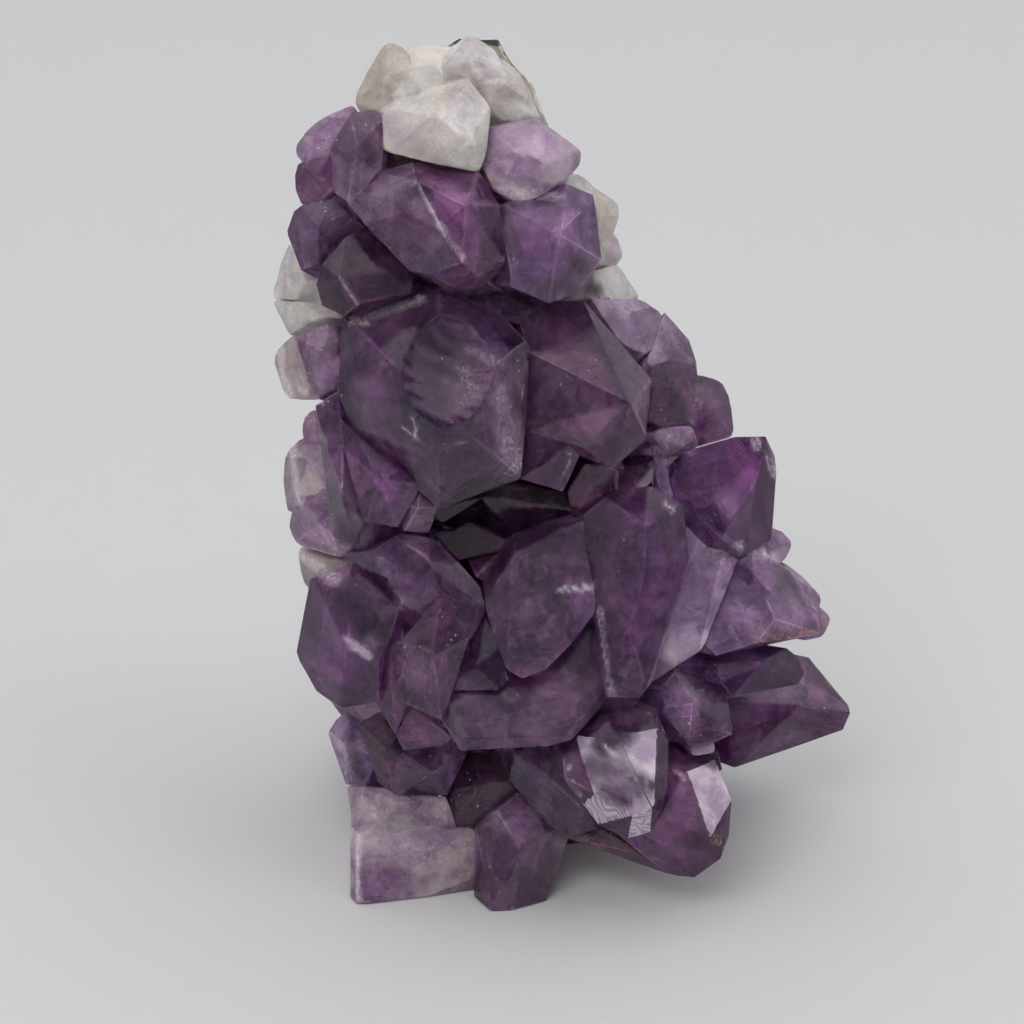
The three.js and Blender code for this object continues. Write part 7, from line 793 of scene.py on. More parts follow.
# marks on the crystals, by where they show from the front: stroke from one point to
# another with its half width, in pixels of the 1024 frame, kind and strength
MARKS = [
    (365, 318, 420, 299, 9, "veil", 0.9),
    (353, 320, 366, 323, 6, "veil", 1),
    (402, 426, 420, 442, 2.5, "veil", 0.8),
    (446, 446, 468, 441, 4, "veil", 0.6),
    (412, 414, 418, 436, 3, "veil", 0.8),
    (419, 436, 432, 446, 3, "veil", 0.7),
    (500, 395, 510, 470, 20, "veil", 0.55),
    (521, 385, 521, 470, 3, "veil", 0.8),
    (470, 350, 500, 365, 10, "veil", 0.45),
    (455, 400, 480, 420, 8, "veil", 0.4),
    (430, 320, 480, 330, 14, "veil", 0.25),
    (462, 366, 474, 392, 12, "veil", 0.45),
    (448, 384, 470, 400, 14, "veil", 0.35),
    (422, 410, 432, 345, 36, "dark", 0.95),
    (408, 400, 440, 432, 20, "dark", 1),
    (450, 340, 470, 420, 26, "dark", 0.55),
    (440, 330, 400, 370, 18, "dark", 0.5),
    (450, 455, 480, 480, 20, "dark", 0.5),
    (500, 300, 520, 360, 10, "dark", 0.35),
    (365, 330, 365, 420, 20, "lilac", 0.18),
    (600, 332, 628, 400, 10, "dark", 0.9),
    (540, 345, 600, 330, 14, "dark", 0.35),
    (560, 380, 600, 420, 16, "lilac", 0.3),
    (533, 370, 545, 430, 8, "veil", 0.25),
    (570, 450, 561, 490, 4, "veil", 0.6),
    (585, 465, 612, 498, 10, "dark", 0.9),
    (655, 375, 680, 405, 10, "dark", 0.9),
    (612, 350, 640, 400, 8, "veil", 0.15),
    (450, 515, 590, 545, 30, "dark", 0.8),
    (470, 540, 560, 595, 16, "dark", 0.7),
    (560, 505, 600, 560, 12, "dark", 0.5),
    (505, 553, 508, 590, 6, "dark", 1),
    (455, 50, 510, 70, 22, "veil", 0.55),
    (400, 60, 430, 75, 20, "veil", 0.35),
    (400, 110, 470, 150, 26, "veil", 0.5),
    (385, 120, 400, 140, 12, "lilac", 0.5),
    (410, 130, 420, 150, 10, "lilac", 0.35),
    (500, 135, 560, 165, 20, "lilac", 0.55),
    (520, 150, 545, 190, 14, "dark", 0.12),
    (497, 190, 560, 196, 8, "veil", 0.7),
    (560, 150, 580, 165, 10, "veil", 0.3),
    (480, 125, 495, 140, 8, "veil", 0.5),
    (365, 145, 372, 160, 12, "dark", 0.8),
    (345, 130, 360, 190, 12, "dark", 0.4),
    (310, 170, 320, 195, 10, "dark", 0.6),
    (300, 150, 330, 160, 8, "lilac", 0.4),
    (415, 180, 440, 225, 3.5, "veil", 0.7),
    (440, 225, 465, 260, 5, "veil", 0.8),
    (430, 170, 470, 180, 10, "dark", 0.6),
    (445, 190, 480, 215, 12, "lilac", 0.35),
    (475, 205, 495, 250, 12, "dark", 0.5),
    (575, 262, 595, 290, 10, "dark", 0.9),
    (515, 215, 560, 230, 16, "lilac", 0.35),
    (510, 290, 560, 296, 8, "veil", 0.6),
    (520, 240, 560, 280, 20, "lilac", 0.25),
    (580, 195, 592, 250, 8, "veil", 0.35),
    (355, 180, 400, 200, 14, "lilac", 0.25),
    (400, 230, 440, 262, 12, "dark", 0.3),
    (385, 175, 410, 215, 10, "dark", 0.3),
    (300, 215, 330, 230, 10, "dark", 0.5),
    (330, 245, 400, 290, 26, "dark", 0.4),
    (322, 262, 340, 300, 8, "dark", 0.7),
    (340, 278, 357, 304, 3, "veil", 0.6),
    (280, 250, 290, 290, 8, "veil", 0.5),
    (276, 310, 290, 330, 6, "lilac", 0.5),
    (310, 325, 335, 350, 8, "dark", 0.45),
    (278, 350, 290, 395, 9, "veil", 0.9),
    (300, 390, 320, 402, 5, "veil", 0.7),
    (312, 410, 325, 440, 6, "veil", 0.5),
    (290, 445, 300, 500, 10, "veil", 0.8),
    (310, 448, 320, 470, 7, "lilac", 0.7),
    (330, 495, 350, 540, 12, "dark", 0.8),
    (295, 505, 320, 530, 10, "lilac", 0.5),
    (300, 540, 330, 550, 6, "dark", 0.4),
    (300, 555, 335, 580, 10, "veil", 0.8),
    (350, 400, 352, 440, 8, "lilac", 0.2),
    (360, 440, 372, 470, 8, "lilac", 0.15),
    (345, 595, 380, 635, 18, "dark", 0.95),
    (350, 580, 385, 590, 8, "dark", 0.6),
    (346, 640, 368, 656, 7, "veil", 1),
    (372, 642, 376, 645, 6, "lilac", 1),
    (305, 640, 330, 690, 16, "lilac", 0.35),
    (320, 600, 335, 640, 10, "lilac", 0.25),
    (366, 575, 395, 600, 8, "dark", 0.9),
    (400, 600, 405, 640, 8, "lilac", 0.3),
    (385, 640, 390, 690, 10, "dark", 0.3),
    (360, 540, 390, 560, 12, "veil", 0.25),
    (395, 585, 420, 600, 8, "dark", 0.5),
    (430, 545, 470, 580, 14, "lilac", 0.25),
    (475, 590, 484, 612, 5, "dark", 0.6),
    (510, 655, 575, 655, 16, "dark", 0.85),
    (505, 632, 520, 650, 10, "dark", 0.5),
    (562, 590, 592, 588, 5, "veil", 1),
    (506, 677, 538, 674, 4, "veil", 0.9),
    (530, 600, 580, 615, 18, "lilac", 0.12),
    (450, 660, 505, 680, 16, "dark", 0.75),
    (470, 640, 500, 650, 10, "dark", 0.4),
    (500, 715, 560, 712, 22, "lilac", 0.15),
    (448, 742, 548, 744, 5, "veil", 0.5),
    (600, 610, 612, 695, 7, "veil", 0.65),
    (590, 640, 600, 690, 6, "lilac", 0.3),
    (420, 640, 440, 670, 14, "dark", 0.4),
    (447, 720, 470, 735, 10, "lilac", 0.2),
    (450, 700, 490, 712, 12, "dark", 0.2),
    (640, 530, 646, 582, 6, "dark", 0.8),
    (664, 500, 672, 512, 5, "veil", 0.9),
    (615, 500, 630, 620, 14, "dark", 0.35),
    (655, 620, 680, 590, 6, "lilac", 0.3),
    (625, 640, 650, 690, 12, "dark", 0.3),
    (655, 425, 690, 450, 10, "veil", 0.55),
    (700, 390, 725, 420, 12, "lilac", 0.4),
    (700, 400, 690, 430, 8, "veil", 0.4),
    (755, 442, 775, 474, 8, "veil", 0.9),
    (700, 450, 740, 500, 22, "dark", 0.5),
    (725, 500, 755, 532, 12, "lilac", 0.55),
    (690, 520, 672, 650, 20, "lilac", 0.25),
    (660, 655, 700, 655, 6, "veil", 0.4),
    (738, 545, 775, 558, 7, "veil", 0.85),
    (745, 570, 765, 620, 12, "dark", 0.5),
    (712, 610, 750, 635, 14, "dark", 0.35),
    (765, 554, 815, 608, 3, "veil", 0.8),
    (705, 598, 712, 640, 6, "lilac", 0.5),
    (770, 640, 815, 625, 6, "dark", 0.7),
    (785, 575, 800, 600, 8, "dark", 0.6),
    (733, 715, 795, 690, 9, "lilac", 0.6),
    (745, 748, 790, 735, 9, "lilac", 0.55),
    (800, 700, 840, 712, 10, "dark", 0.6),
    (812, 665, 845, 702, 5, "veil", 0.5),
    (740, 765, 760, 758, 5, "dark", 0.4),
    (690, 748, 713, 750, 4, "lilac", 0.9),
    (688, 762, 716, 764, 7, "dark", 0.9),
    (690, 690, 720, 720, 12, "lilac", 0.2),
    (700, 680, 725, 690, 6, "dark", 0.4),
    (640, 310, 655, 330, 8, "lilac", 0.4),
    (612, 320, 640, 340, 8, "dark", 0.4),
    (675, 345, 690, 360, 6, "veil", 0.4),
    (660, 330, 668, 350, 6, "dark", 0.5),
    (628, 778, 655, 784, 5, "dark", 1),
    (640, 786, 662, 782, 4, "dark", 0.9),
    (603, 745, 622, 735, 14, "dark", 1),
    (590, 765, 612, 770, 12, "dark", 0.8),
    (605, 790, 625, 800, 10, "dark", 0.8),
    (660, 740, 668, 800, 4, "dark", 0.6),
    (757, 642, 821, 637, 6, "rust", 0.9),
    (790, 630, 822, 636, 5, "rust", 0.8),
    (714, 838, 726, 848, 6, "rust", 1),
    (395, 600, 399, 606, 3, "rust", 1),
    (726, 790, 728, 836, 2, "rust", 0.7),
    (600, 750, 640, 790, 14, "dark", 0.6),
    (585, 770, 600, 785, 8, "dark", 0.6),
    (615, 765, 625, 780, 7, "lilac", 0.5),
    (566, 760, 580, 796, 4, "veil", 0.8),
    (603, 745, 618, 758, 4, "veil", 0.8),
    (645, 711, 665, 733, 3, "veil", 0.9),
    (676, 770, 684, 780, 4, "veil", 0.8),
    (690, 840, 722, 848, 12, "dark", 0.7),
    (640, 858, 700, 868, 12, "dark", 0.4),
    (655, 845, 690, 850, 10, "lilac", 0.2),
    (525, 775, 560, 790, 14, "lilac", 0.25),
    (335, 735, 345, 755, 8, "veil", 0.4),
    (350, 735, 360, 778, 7, "dark", 0.9),
    (368, 740, 398, 752, 8, "dark", 0.8),
    (372, 745, 392, 750, 3, "veil", 0.6),
    (430, 770, 445, 760, 10, "lilac", 0.3),
    (405, 785, 430, 792, 8, "dark", 0.5),
    (455, 760, 510, 775, 16, "dark", 0.35),
    (455, 800, 480, 818, 10, "dark", 0.4),
    (358, 835, 358, 900, 6, "veil", 0.9),
    (370, 840, 440, 860, 22, "veil", 0.45),
    (362, 800, 375, 815, 8, "veil", 0.6),
    (440, 860, 485, 880, 18, "dark", 0.35),
    (430, 835, 480, 845, 10, "lilac", 0.3),
    (380, 895, 430, 880, 10, "lilac", 0.5),
    (490, 868, 530, 818, 3, "veil", 0.6),
    (500, 870, 540, 890, 18, "dark", 0.5),
    (485, 880, 530, 905, 12, "dark", 0.5),
    (500, 815, 520, 835, 12, "lilac", 0.3),
    (480, 885, 500, 880, 4, "veil", 0.5),
]
# whole facets that look unlike their crystal: a point on the facet, kind, strength; the mirror-like kind gets a painted
# reflection of a lamp in its colour, and the etched kind's pale colour is partly painted reflection too
FACETS = [
    (600, 765, "mirror", 0.8),
    (645, 790, "mirror", 1),
    (635, 750, "mirror", 0.9),
    (608, 812, "etch", 0.85),
    (643, 825, "etch", 0.9),
    (705, 808, "mirror", 0.8),
    (592, 805, "etch", 0.8),
    (700, 790, "mirror", 0.8),
    (740, 520, "lilac", 0.5),
]
NO = np.array([-1])
parts = {}
start = 0
allV, allT = [], []
for ob in (milky, pale, purple):
    me = ob.data
    V, T = coords(me), triangles(me)
    parts[ob.name] = (start, start + len(T))
    allT.append(T + sum(len(v) for v in allV)); allV.append(V)
    start += len(T)
allV, allT = np.concatenate(allV), np.concatenate(allT)
tree = BVHTree.FromPolygons([tuple(v) for v in allV], [tuple(map(int, t)) for t in allT])
centre = to_table(allV[allT].mean(1))
who, which, off = owners(centre)
note("owners", len(allT), "triangles; far from all crystals:", int((off > 0.5).sum()))


def seen(px, py):
    """what shows at a pixel, or just inside the outline from there"""
    for step in (0.0, 0.02, 0.04, 0.07, 0.1):
        x, y = px + (450 - px) * step, py + (500 - py) * step
        d = (RIGHT * ((x - 512) / FOCAL) + UP * ((512 - y) / FOCAL) - BACK).normalized()
        hit, n, i, dist = tree.ray_cast(camera.location, d)
        if hit is not None:
            return to_table(np.array(hit)), i
    return None, None


KINDS = ["veil", "dark", "lilac", "rust"]
allP = to_table(allV)
STROKES = []
for x0, y0, x1, y1, r, kind, s in MARKS:
    p0, p1 = seen(x0, y0)[0], seen(x1, y1)[0]
    if p0 is None or p1 is None:
        print("MARK misses", x0, y0, x1, y1)
        continue
    STROKES.append((p0, p1 - p0, r * 0.1444, kind, s))


def marks_at(P, spread=1.0):
    out = {k: np.zeros(len(P)) for k in KINDS}
    for p0, d01, r, kind, s in STROKES:
        lo, hi = np.minimum(p0, p0 + d01) - 1.6 * r * spread, np.maximum(p0, p0 + d01) + 1.6 * r * spread
        near = np.where(((P > lo) & (P < hi)).all(1))[0]
        if not len(near):
            continue
        Q = P[near]
        t = np.clip(((Q - p0) @ d01) / max(d01 @ d01, 1e-9), 0, 1)
        d = np.linalg.norm(Q - p0 - t[:, None] * d01, axis=1)
        out[kind][near] = np.maximum(out[kind][near], s * (1 - smooth(d, 0.2 * r * spread, 1.5 * r * spread)))
    return out


soft = marks_at(allP)
# masks of whole facets; the etched ones carry real growth lines and partly a painted reflection
etch = np.zeros(len(allT)); pale_facet = np.zeros(len(allT)); dark_facet = np.zeros(len(allT))
# mask of the mirror-like facets, whose colour is a painted reflection of a lamp
mirror = np.zeros(len(allT))
facet_mask = {"etch": etch, "lilac": pale_facet, "dark": dark_facet, "mirror": mirror}
for px, py, kind, s in FACETS:
    p, i = seen(px, py)
    if p is None:
        print("FACET misses", px, py)
        continue
    on = (who == who[i]) & (which == which[i])
    facet_mask[kind][on] = s
print("facets:", [(px, py, crystals[who[seen(px, py)[1]]].name, int(which[seen(px, py)[1]])) for px, py, k, s in FACETS])


def corner_colour(me, name, data):
    a = me.attributes.new(name, "FLOAT_COLOR", "CORNER")
    a.data.foreach_set("color", np.repeat(data, 3, axis=0).astype(np.float32).ravel())


def tones(centre, who, which, off):
    """tone and clearness of every triangle"""
    out = np.zeros((len(centre), 3)); clear = np.full(len(centre), 0.75)
    grow = np.zeros((len(centre), 3))
    for q, c in enumerate(crystals):
        on = who == q
        if not on.any():
            continue
        P = centre[on]
        tipward = (P - c.tip) @ c.a
        # deeper colour towards the tip, paler towards the root
        t = smooth(-tipward, 0.15 * c.R, 1.9 * c.R)
        tone = c.tone[None] * (1 + 0.28 * t[:, None])
        grey = tone.mean(1, keepdims=True)
        tone = tone + (grey - tone) * (0.30 * t[:, None])
        if c.kind == "w":
            tone = np.repeat(c.tone[None], len(P), 0)
        f = which[on]
        side = np.array([jitter(c.seed, 80 + k) for k in range(len(c.N))])[f]
        tone = tone * (1 + (0.10 if c.kind in "wl" else 0.22) * side[:, None])
        out[on] = tone
        clear[on] = c.clear
        grow[on, 0] = tipward
        grow[on, 1] = (P * np.cross(c.N[f], c.a)).sum(1)
        grow[on, 2] = side + c.seed
    core = off > 0.6
    out[core] = CORE_TONE
    clear[core] = 0.7
    return np.clip(out, 0.01, 0.95), clear, grow


def corner_growth(C, who, which):
    """distance from the tip and across the facet for each corner, and a number of its own for each facet"""
    out = np.zeros((len(C), 3, 4))
    for q, c in enumerate(crystals):
        on = np.where(who == q)[0]
        if not len(on):
            continue
        f = which[on]
        out[on, :, 0] = (C[on] - c.tip) @ c.a
        X = np.cross(c.N, c.a)
        out[on, :, 1] = np.einsum("nij,nj->ni", C[on], X[f])
        out[on, :, 2] = (c.seed + np.array([jitter(c.seed, 80 + k) for k in range(len(c.N))])[f])[:, None]
    return out


tone, clear, grow = tones(centre, who, which, off)
E1, E2 = allP[allT[:, 1]] - allP[allT[:, 0]], allP[allT[:, 2]] - allP[allT[:, 0]]
face_n = np.cross(E1, E2)
face_n /= np.maximum(np.linalg.norm(face_n, axis=1, keepdims=True), 1e-12)
own_n = np.zeros_like(face_n)
for q, c in enumerate(crystals):
    on = who == q
    own_n[on] = c.N[which[on]]
# painted highlight: the chamfer triangles along crystal edges get a lighter, less clear tone on the deep-coloured
# crystals and a touch lighter on the pale ones
edge = ((face_n * own_n).sum(1) < 0.985) & (off < 0.25)
deep_ones = np.array([c.kind not in "wlpq" for c in crystals])[who]
tone[edge & deep_ones] = tone[edge & deep_ones] * 1.22 + 0.02
tone[edge & ~deep_ones] *= 1.03
clear[edge & deep_ones] -= 0.10
for ob in (milky, pale, purple):
    s, e = parts[ob.name]
    me = ob.data
    corner_colour(me, "tone", np.concatenate([tone[s:e], clear[s:e, None]], 1))
    T = allT[s:e]
    at = np.stack([soft["veil"][T], np.maximum(soft["dark"][T], dark_facet[s:e, None]), np.maximum(soft["lilac"][T], pale_facet[s:e, None]), etch[s:e, None] * (1 - soft["dark"][T])], 2)
    a = me.attributes.new("marks", "FLOAT_COLOR", "CORNER")
    a.data.foreach_set("color", at.astype(np.float32).ravel())
    at = corner_growth(allP[allT[s:e]], who[s:e], which[s:e])
    # the alpha of growth carries the mask of the painted reflection on the mirror-like facets
    at[:, :, 3] = (mirror[s:e, None] * (1 - soft["dark"][T])) * (off[s:e, None] < 0.25)
    a = me.attributes.new("growth", "FLOAT_COLOR", "CORNER")
    a.data.foreach_set("color", at.astype(np.float32).ravel())
    a = me.attributes.new("rust", "FLOAT_COLOR", "CORNER")
    a.data.foreach_set("color", np.repeat(soft["rust"][T][:, :, None], 4, 2).astype(np.float32).ravel())
    me.polygons.foreach_set("use_smooth", np.ones(len(me.polygons), dtype=bool))
    me.set_sharp_from_angle(angle=math.radians({"milky_quartz": 26, "pale_amethyst": 14, "amethyst": 6}[ob.name]))
    me.update()
note("attributes")

# the clouds: the crystals' own facets, a little lumpy
def cloud(ob, name, edge, lump, level, seed):
    refine(ob, edge * MM, crystals if level > -2 else ())
    V = to_table(coords(ob.data))
    nrm = np.empty(len(V) * 3); ob.data.vertices.foreach_get("normal", nrm); nrm = nrm.reshape(-1, 3)
    V = V + nrm * (lump * fractal(V / 3.0, 3, seed) - 0.1)[:, None]
    V[:, 2] = np.maximum(V[:, 2], 0.5)
    ob.data.vertices.foreach_set("co", to_metres(V).ravel())
    ob.data.update()
    ob.name = name
    me = ob.data
    P = to_table(coords(me)[triangles(me)].mean(1))
    w, f, o = owners(P, level)
    tone, clear, grow = tones(P, w, f, np.zeros(len(P)))
    m = marks_at(P, 1.3)
    tone = tone * (1 - 0.72 * m["dark"])[:, None] * (1 + 0.5 * np.maximum(m["veil"], m["lilac"]))[:, None]
    corner_colour(me, "tone", np.concatenate([np.clip(tone, 0.01, 0.95), clear[:, None]], 1))
    me.polygons.foreach_set("use_smooth", np.ones(len(me.polygons), dtype=bool))
    me.set_sharp_from_angle(angle=math.radians(22))
    note(name, len(me.polygons))


cloud(haze, "growth_haze", 1.9, 0.30, -1.0, 31)
cloud(deep, "deep_haze", 3.0, 0.6, -3.2, 37)


# ---- materials ------------------------------------------------------------------------
class Nodes:
    """short hand for building a node material"""

    def __init__(self, name):
        self.m = bpy.data.materials.new(name)
        self.m.use_nodes = True
        self.t = self.m.node_tree
        for n in list(self.t.nodes):
            self.t.nodes.remove(n)
        self.out = self.t.nodes.new("ShaderNodeOutputMaterial")

    def put(self, socket, v):
        if isinstance(v, bpy.types.NodeSocket):
            self.t.links.new(v, socket)
        elif v is not None:
            socket.default_value = (*v, 1) if isinstance(v, tuple) and len(v) == 3 and len(socket.default_value) == 4 else v

    def attribute(self, name):
        n = self.t.nodes.new("ShaderNodeAttribute")
        n.attribute_name = name
        return n.outputs["Color"], n.outputs["Alpha"]

    def split(self, c):
        n = self.t.nodes.new("ShaderNodeSeparateColor")
        self.put(n.inputs[0], c)
        return n.outputs[0], n.outputs[1], n.outputs[2]

    def where(self):
        n = self.t.nodes.new("ShaderNodeTexCoord")
        return n.outputs["Object"]

    def math(self, op, a, b=None, c=None, clamp=False):
        n = self.t.nodes.new("ShaderNodeMath")
        n.operation = op
        n.use_clamp = clamp
        self.put(n.inputs[0], a)
        if b is not None:
            self.put(n.inputs[1], b)
        if c is not None:
            self.put(n.inputs[2], c)
        return n.outputs[0]

    def noise(self, v, scale, detail=3.0, rough=0.55, distort=0.0):
        n = self.t.nodes.new("ShaderNodeTexNoise")
        self.put(n.inputs["Vector"], v)
        n.inputs["Scale"].default_value = scale
        n.inputs["Detail"].default_value = detail
        n.inputs["Roughness"].default_value = rough
        n.inputs["Distortion"].default_value = distort
        return n.outputs["Fac"]

    def voronoi(self, v, scale, feature="F1"):
        n = self.t.nodes.new("ShaderNodeTexVoronoi")
        n.feature = feature
        self.put(n.inputs["Vector"], v)
        n.inputs["Scale"].default_value = scale
        return n.outputs["Distance"]

    def wave(self, v, scale, distort, detail=2.0, dscale=1.0):
        n = self.t.nodes.new("ShaderNodeTexWave")
        n.bands_direction = "X"
        self.put(n.inputs["Vector"], v)
        n.inputs["Scale"].default_value = scale
        n.inputs["Distortion"].default_value = distort
        n.inputs["Detail"].default_value = detail
        n.inputs["Detail Scale"].default_value = dscale
        return n.outputs["Fac"]

    def combine(self, x, y, z):
        n = self.t.nodes.new("ShaderNodeCombineXYZ")
        for s, v in zip(n.inputs, (x, y, z)):
            self.put(s, v)
        return n.outputs[0]

    def range(self, v, a, b, c=0.0, d=1.0):
        n = self.t.nodes.new("ShaderNodeMapRange")
        n.interpolation_type = "SMOOTHSTEP"
        for s, x in zip(n.inputs, (v, a, b, c, d)):
            self.put(s, x)
        return n.outputs[0]

    def mix(self, f, a, b, mode="MIX"):
        n = self.t.nodes.new("ShaderNodeMix")
        n.data_type = "RGBA"
        n.blend_type = mode
        self.put(n.inputs[0], f)
        self.put(n.inputs[6], a)
        self.put(n.inputs[7], b)
        return n.outputs[2]

    def blend(self, f, a, b):
        n = self.t.nodes.new("ShaderNodeMix")
        n.data_type = "FLOAT"
        self.put(n.inputs[0], f)
        self.put(n.inputs[2], a)
        self.put(n.inputs[3], b)
        return n.outputs[0]

    def bump(self, h, strength, distance, normal=None):
        n = self.t.nodes.new("ShaderNodeBump")
        n.inputs["Strength"].default_value = strength
        n.inputs["Distance"].default_value = distance
        self.put(n.inputs["Height"], h)
        if normal is not None:
            self.put(n.inputs["Normal"], normal)
        return n.outputs[0]

    def principled(self, **kw):
        p = self.t.nodes.new("ShaderNodeBsdfPrincipled")
        for k, v in kw.items():
            self.put(p.inputs[k.replace("_", " ")], v)
        return p


def glass(name, absorb, density, low, high, haze_gain=1.0, grainy=0.0):
    k = Nodes(name)
    obj = k.where()
    tone, clear = k.attribute("tone")
    marks, etch = k.attribute("marks")
    veil, dark, lilac = k.split(marks)
    growth, mirror = k.attribute("growth")
    rust, _ = k.attribute("rust")
    rust = k.split(rust)[0]
    tipward, across, seed = k.split(growth)
    # cloudy zoning and fine veils inside the surface
    n1 = k.noise(obj, 130, 4, 0.6, 0.6)
    n2 = k.noise(obj, 420, 5, 0.65, 1.2)
    n3 = k.noise(obj, 1500, 3, 0.7, 0.4)
    swirl = k.math("ADD", k.math("MULTIPLY", n1, 0.62), k.math("MULTIPLY", n2, 0.38))
    vein = k.range(k.math("ABSOLUTE", k.math("SUBTRACT", k.noise(obj, 210, 4, 0.6, 2.5), 0.5)), 0.0, 0.035, 1.0, 0.0)
    colour = k.mix(k.range(swirl, 0.38, 0.62), k.mix(1.0, tone, low, "MULTIPLY"), k.mix(1.0, tone, high, "MULTIPLY"))
    if grainy:
        patch = k.math("MULTIPLY", k.range(k.noise(obj, 95, 4, 0.62, 1.6), 0.52, 0.66), k.range(clear, 0.50, 0.56, 0.25, 1.0))
        colour = k.mix(k.math("MULTIPLY", patch, 0.55), colour, k.mix(1.0, colour, (0.74, 0.46, 0.80), "MULTIPLY"))
        crumb = k.math("MULTIPLY", k.range(k.noise(obj, 1100, 4, 0.7, 0.6), 0.50, 0.66), k.range(k.noise(obj, 150, 3, 0.6, 0.8), 0.42, 0.62))
        colour = k.mix(k.math("MULTIPLY", crumb, grainy), colour, (0.95, 0.93, 0.90))
    band = k.noise(k.combine(k.math("MULTIPLY", tipward, 0.20), k.math("MULTIPLY", across, 0.07), k.math("MULTIPLY", seed, 3.7)), 1.0, 1.0, 0.4)
    zone = k.range(band, 0.47, 0.53)
    colour = k.mix(1.0, colour, k.mix(zone, (0.95, 0.92, 0.94) if grainy > 0.5 else (0.76, 0.70, 0.82), (1.10, 1.08, 1.08)), "MULTIPLY")
    # dark, pale and white marks, broken up by noise
    dk = k.math("MULTIPLY", dark, k.range(swirl, 0.30, 0.55, 0.62, 1.0), clamp=True)
    colour = k.mix(dk, colour, (0.085, 0.03, 0.11))
    li = k.math("MULTIPLY", lilac, k.range(swirl, 0.35, 0.6, 0.45, 1.0), clamp=True)
    colour = k.mix(li, colour, (0.66, 0.48, 0.74))
    grain = k.math("ADD", k.math("MULTIPLY", n2, 0.55), k.math("MULTIPLY", n3, 0.45))
    feather = k.math("ADD", k.math("MULTIPLY", k.noise(obj, 560, 8, 0.78, 2.6), 0.6), k.math("MULTIPLY", k.noise(obj, 2600, 4, 0.7, 1.0), 0.4))
    ve = k.range(k.math("ADD", k.math("MULTIPLY", veil, 0.40), feather), 0.52, 1.02)
    ve = k.math("MULTIPLY", ve, k.range(veil, 0.0, 0.5))
    ve = k.math("MAXIMUM", ve, k.math("MULTIPLY", vein, 0.10))
    colour = k.mix(k.math("MULTIPLY", ve, 0.8, clamp=True), colour, (0.80, 0.74, 0.80))
    grains = k.math("MULTIPLY", rust, k.range(k.noise(obj, 1300, 4, 0.75, 0.8), 0.47, 0.56), clamp=True)
    colour = k.mix(grains, colour, k.mix(n3, (0.30, 0.11, 0.02), (0.50, 0.26, 0.06)))
    # fine bright specks
    speck = k.range(k.voronoi(obj, 760), 0.06, 0.14, 1.0, 0.0)
    speck = k.math("MULTIPLY", speck, k.range(k.noise(obj, 85, 5, 0.7), 0.50, 0.62))
    colour = k.mix(k.math("MULTIPLY", speck, 0.7), colour, (0.85, 0.80, 0.84))
    # growth lines of etched facets, whose pale colour is partly a painted reflection of a lamp
    hills = k.math("ADD", k.math("MULTIPLY", k.noise(obj, 230, 2.0, 0.45, 0.4), 46.0), k.math("MULTIPLY", k.math("ADD", tipward, k.math("MULTIPLY", across, 0.5)), 7.0))
    lines = k.math("ADD", k.math("MULTIPLY", k.math("SINE", hills), 0.5), 0.5)
    line = k.range(lines, 0.15, 0.75)
    etch_and_reflection_colour = k.mix(line, (0.56, 0.42, 0.58), (0.93, 0.84, 0.92))
    colour = k.mix(etch, colour, etch_and_reflection_colour)
    # painted reflection: the mirror-like facets get a pale swirled colour in place of a lamp's real reflection
    painted_reflection_sheen = k.range(k.math("ADD", k.math("MULTIPLY", n1, 0.6), k.math("MULTIPLY", n2, 0.4)), 0.40, 0.60)
    colour = k.mix(mirror, colour, k.mix(painted_reflection_sheen, (0.60, 0.47, 0.64), (0.97, 0.88, 0.97)))
    trans = k.math("SUBTRACT", clear, k.math("MULTIPLY", k.math("SUBTRACT", swirl, 0.5), 0.5 * haze_gain))
    trans = k.math("MULTIPLY", trans, k.math("SUBTRACT", 1.0, k.math("MULTIPLY", ve, 0.75)))
    # etched and mirror-like facets let less light through, which on the mirror-like ones is part of the painted
    # reflection
    trans = k.math("MULTIPLY", trans, k.math("SUBTRACT", 1.0, k.math("MULTIPLY", k.math("MAXIMUM", etch, mirror), 0.8)))
    trans = k.math("MULTIPLY", trans, k.math("SUBTRACT", 1.0, grains))
    trans = k.math("MULTIPLY", trans, k.math("SUBTRACT", 1.0, k.math("MULTIPLY", speck, 0.6)), clamp=True)
    rough = k.math("ADD", 0.05, k.math("MULTIPLY", k.range(n2, 0.4, 0.75), 0.10))
    rough = k.math("ADD", rough, k.math("MULTIPLY", ve, 0.3))
    # striations across the prism faces, and pits
    stri = k.wave(k.combine(k.math("MULTIPLY", tipward, 0.4), k.math("MULTIPLY", across, 0.02), seed), 1.6, 2.0, 2.0, 0.7)
    h = k.math("ADD", k.math("MULTIPLY", stri, 0.14), k.math("MULTIPLY", n2, 0.8))
    h = k.math("ADD", h, k.math("MULTIPLY", k.math("MULTIPLY", lines, etch), 0.8))
    h = k.math("ADD", h, k.math("MULTIPLY", k.math("MULTIPLY", n3, ve), 1.4))
    if grainy:
        h = k.math("ADD", h, k.math("MULTIPLY", crumb, 1.2 * grainy))
    normal = k.bump(h, 0.35, 0.00010)
    p = k.principled(Base_Color=colour, Roughness=rough, Normal=normal, Transmission_Weight=trans)
    p.inputs["IOR"].default_value = 1.54
    p.inputs["Specular IOR Level"].default_value = 0.40
    k.t.links.new(p.outputs[0], k.out.inputs["Surface"])
    v = k.t.nodes.new("ShaderNodeVolumeAbsorption")
    v.inputs["Color"].default_value = (*absorb, 1)
    v.inputs["Density"].default_value = density
    k.t.links.new(v.outputs[0], k.out.inputs["Volume"])
    return k.m


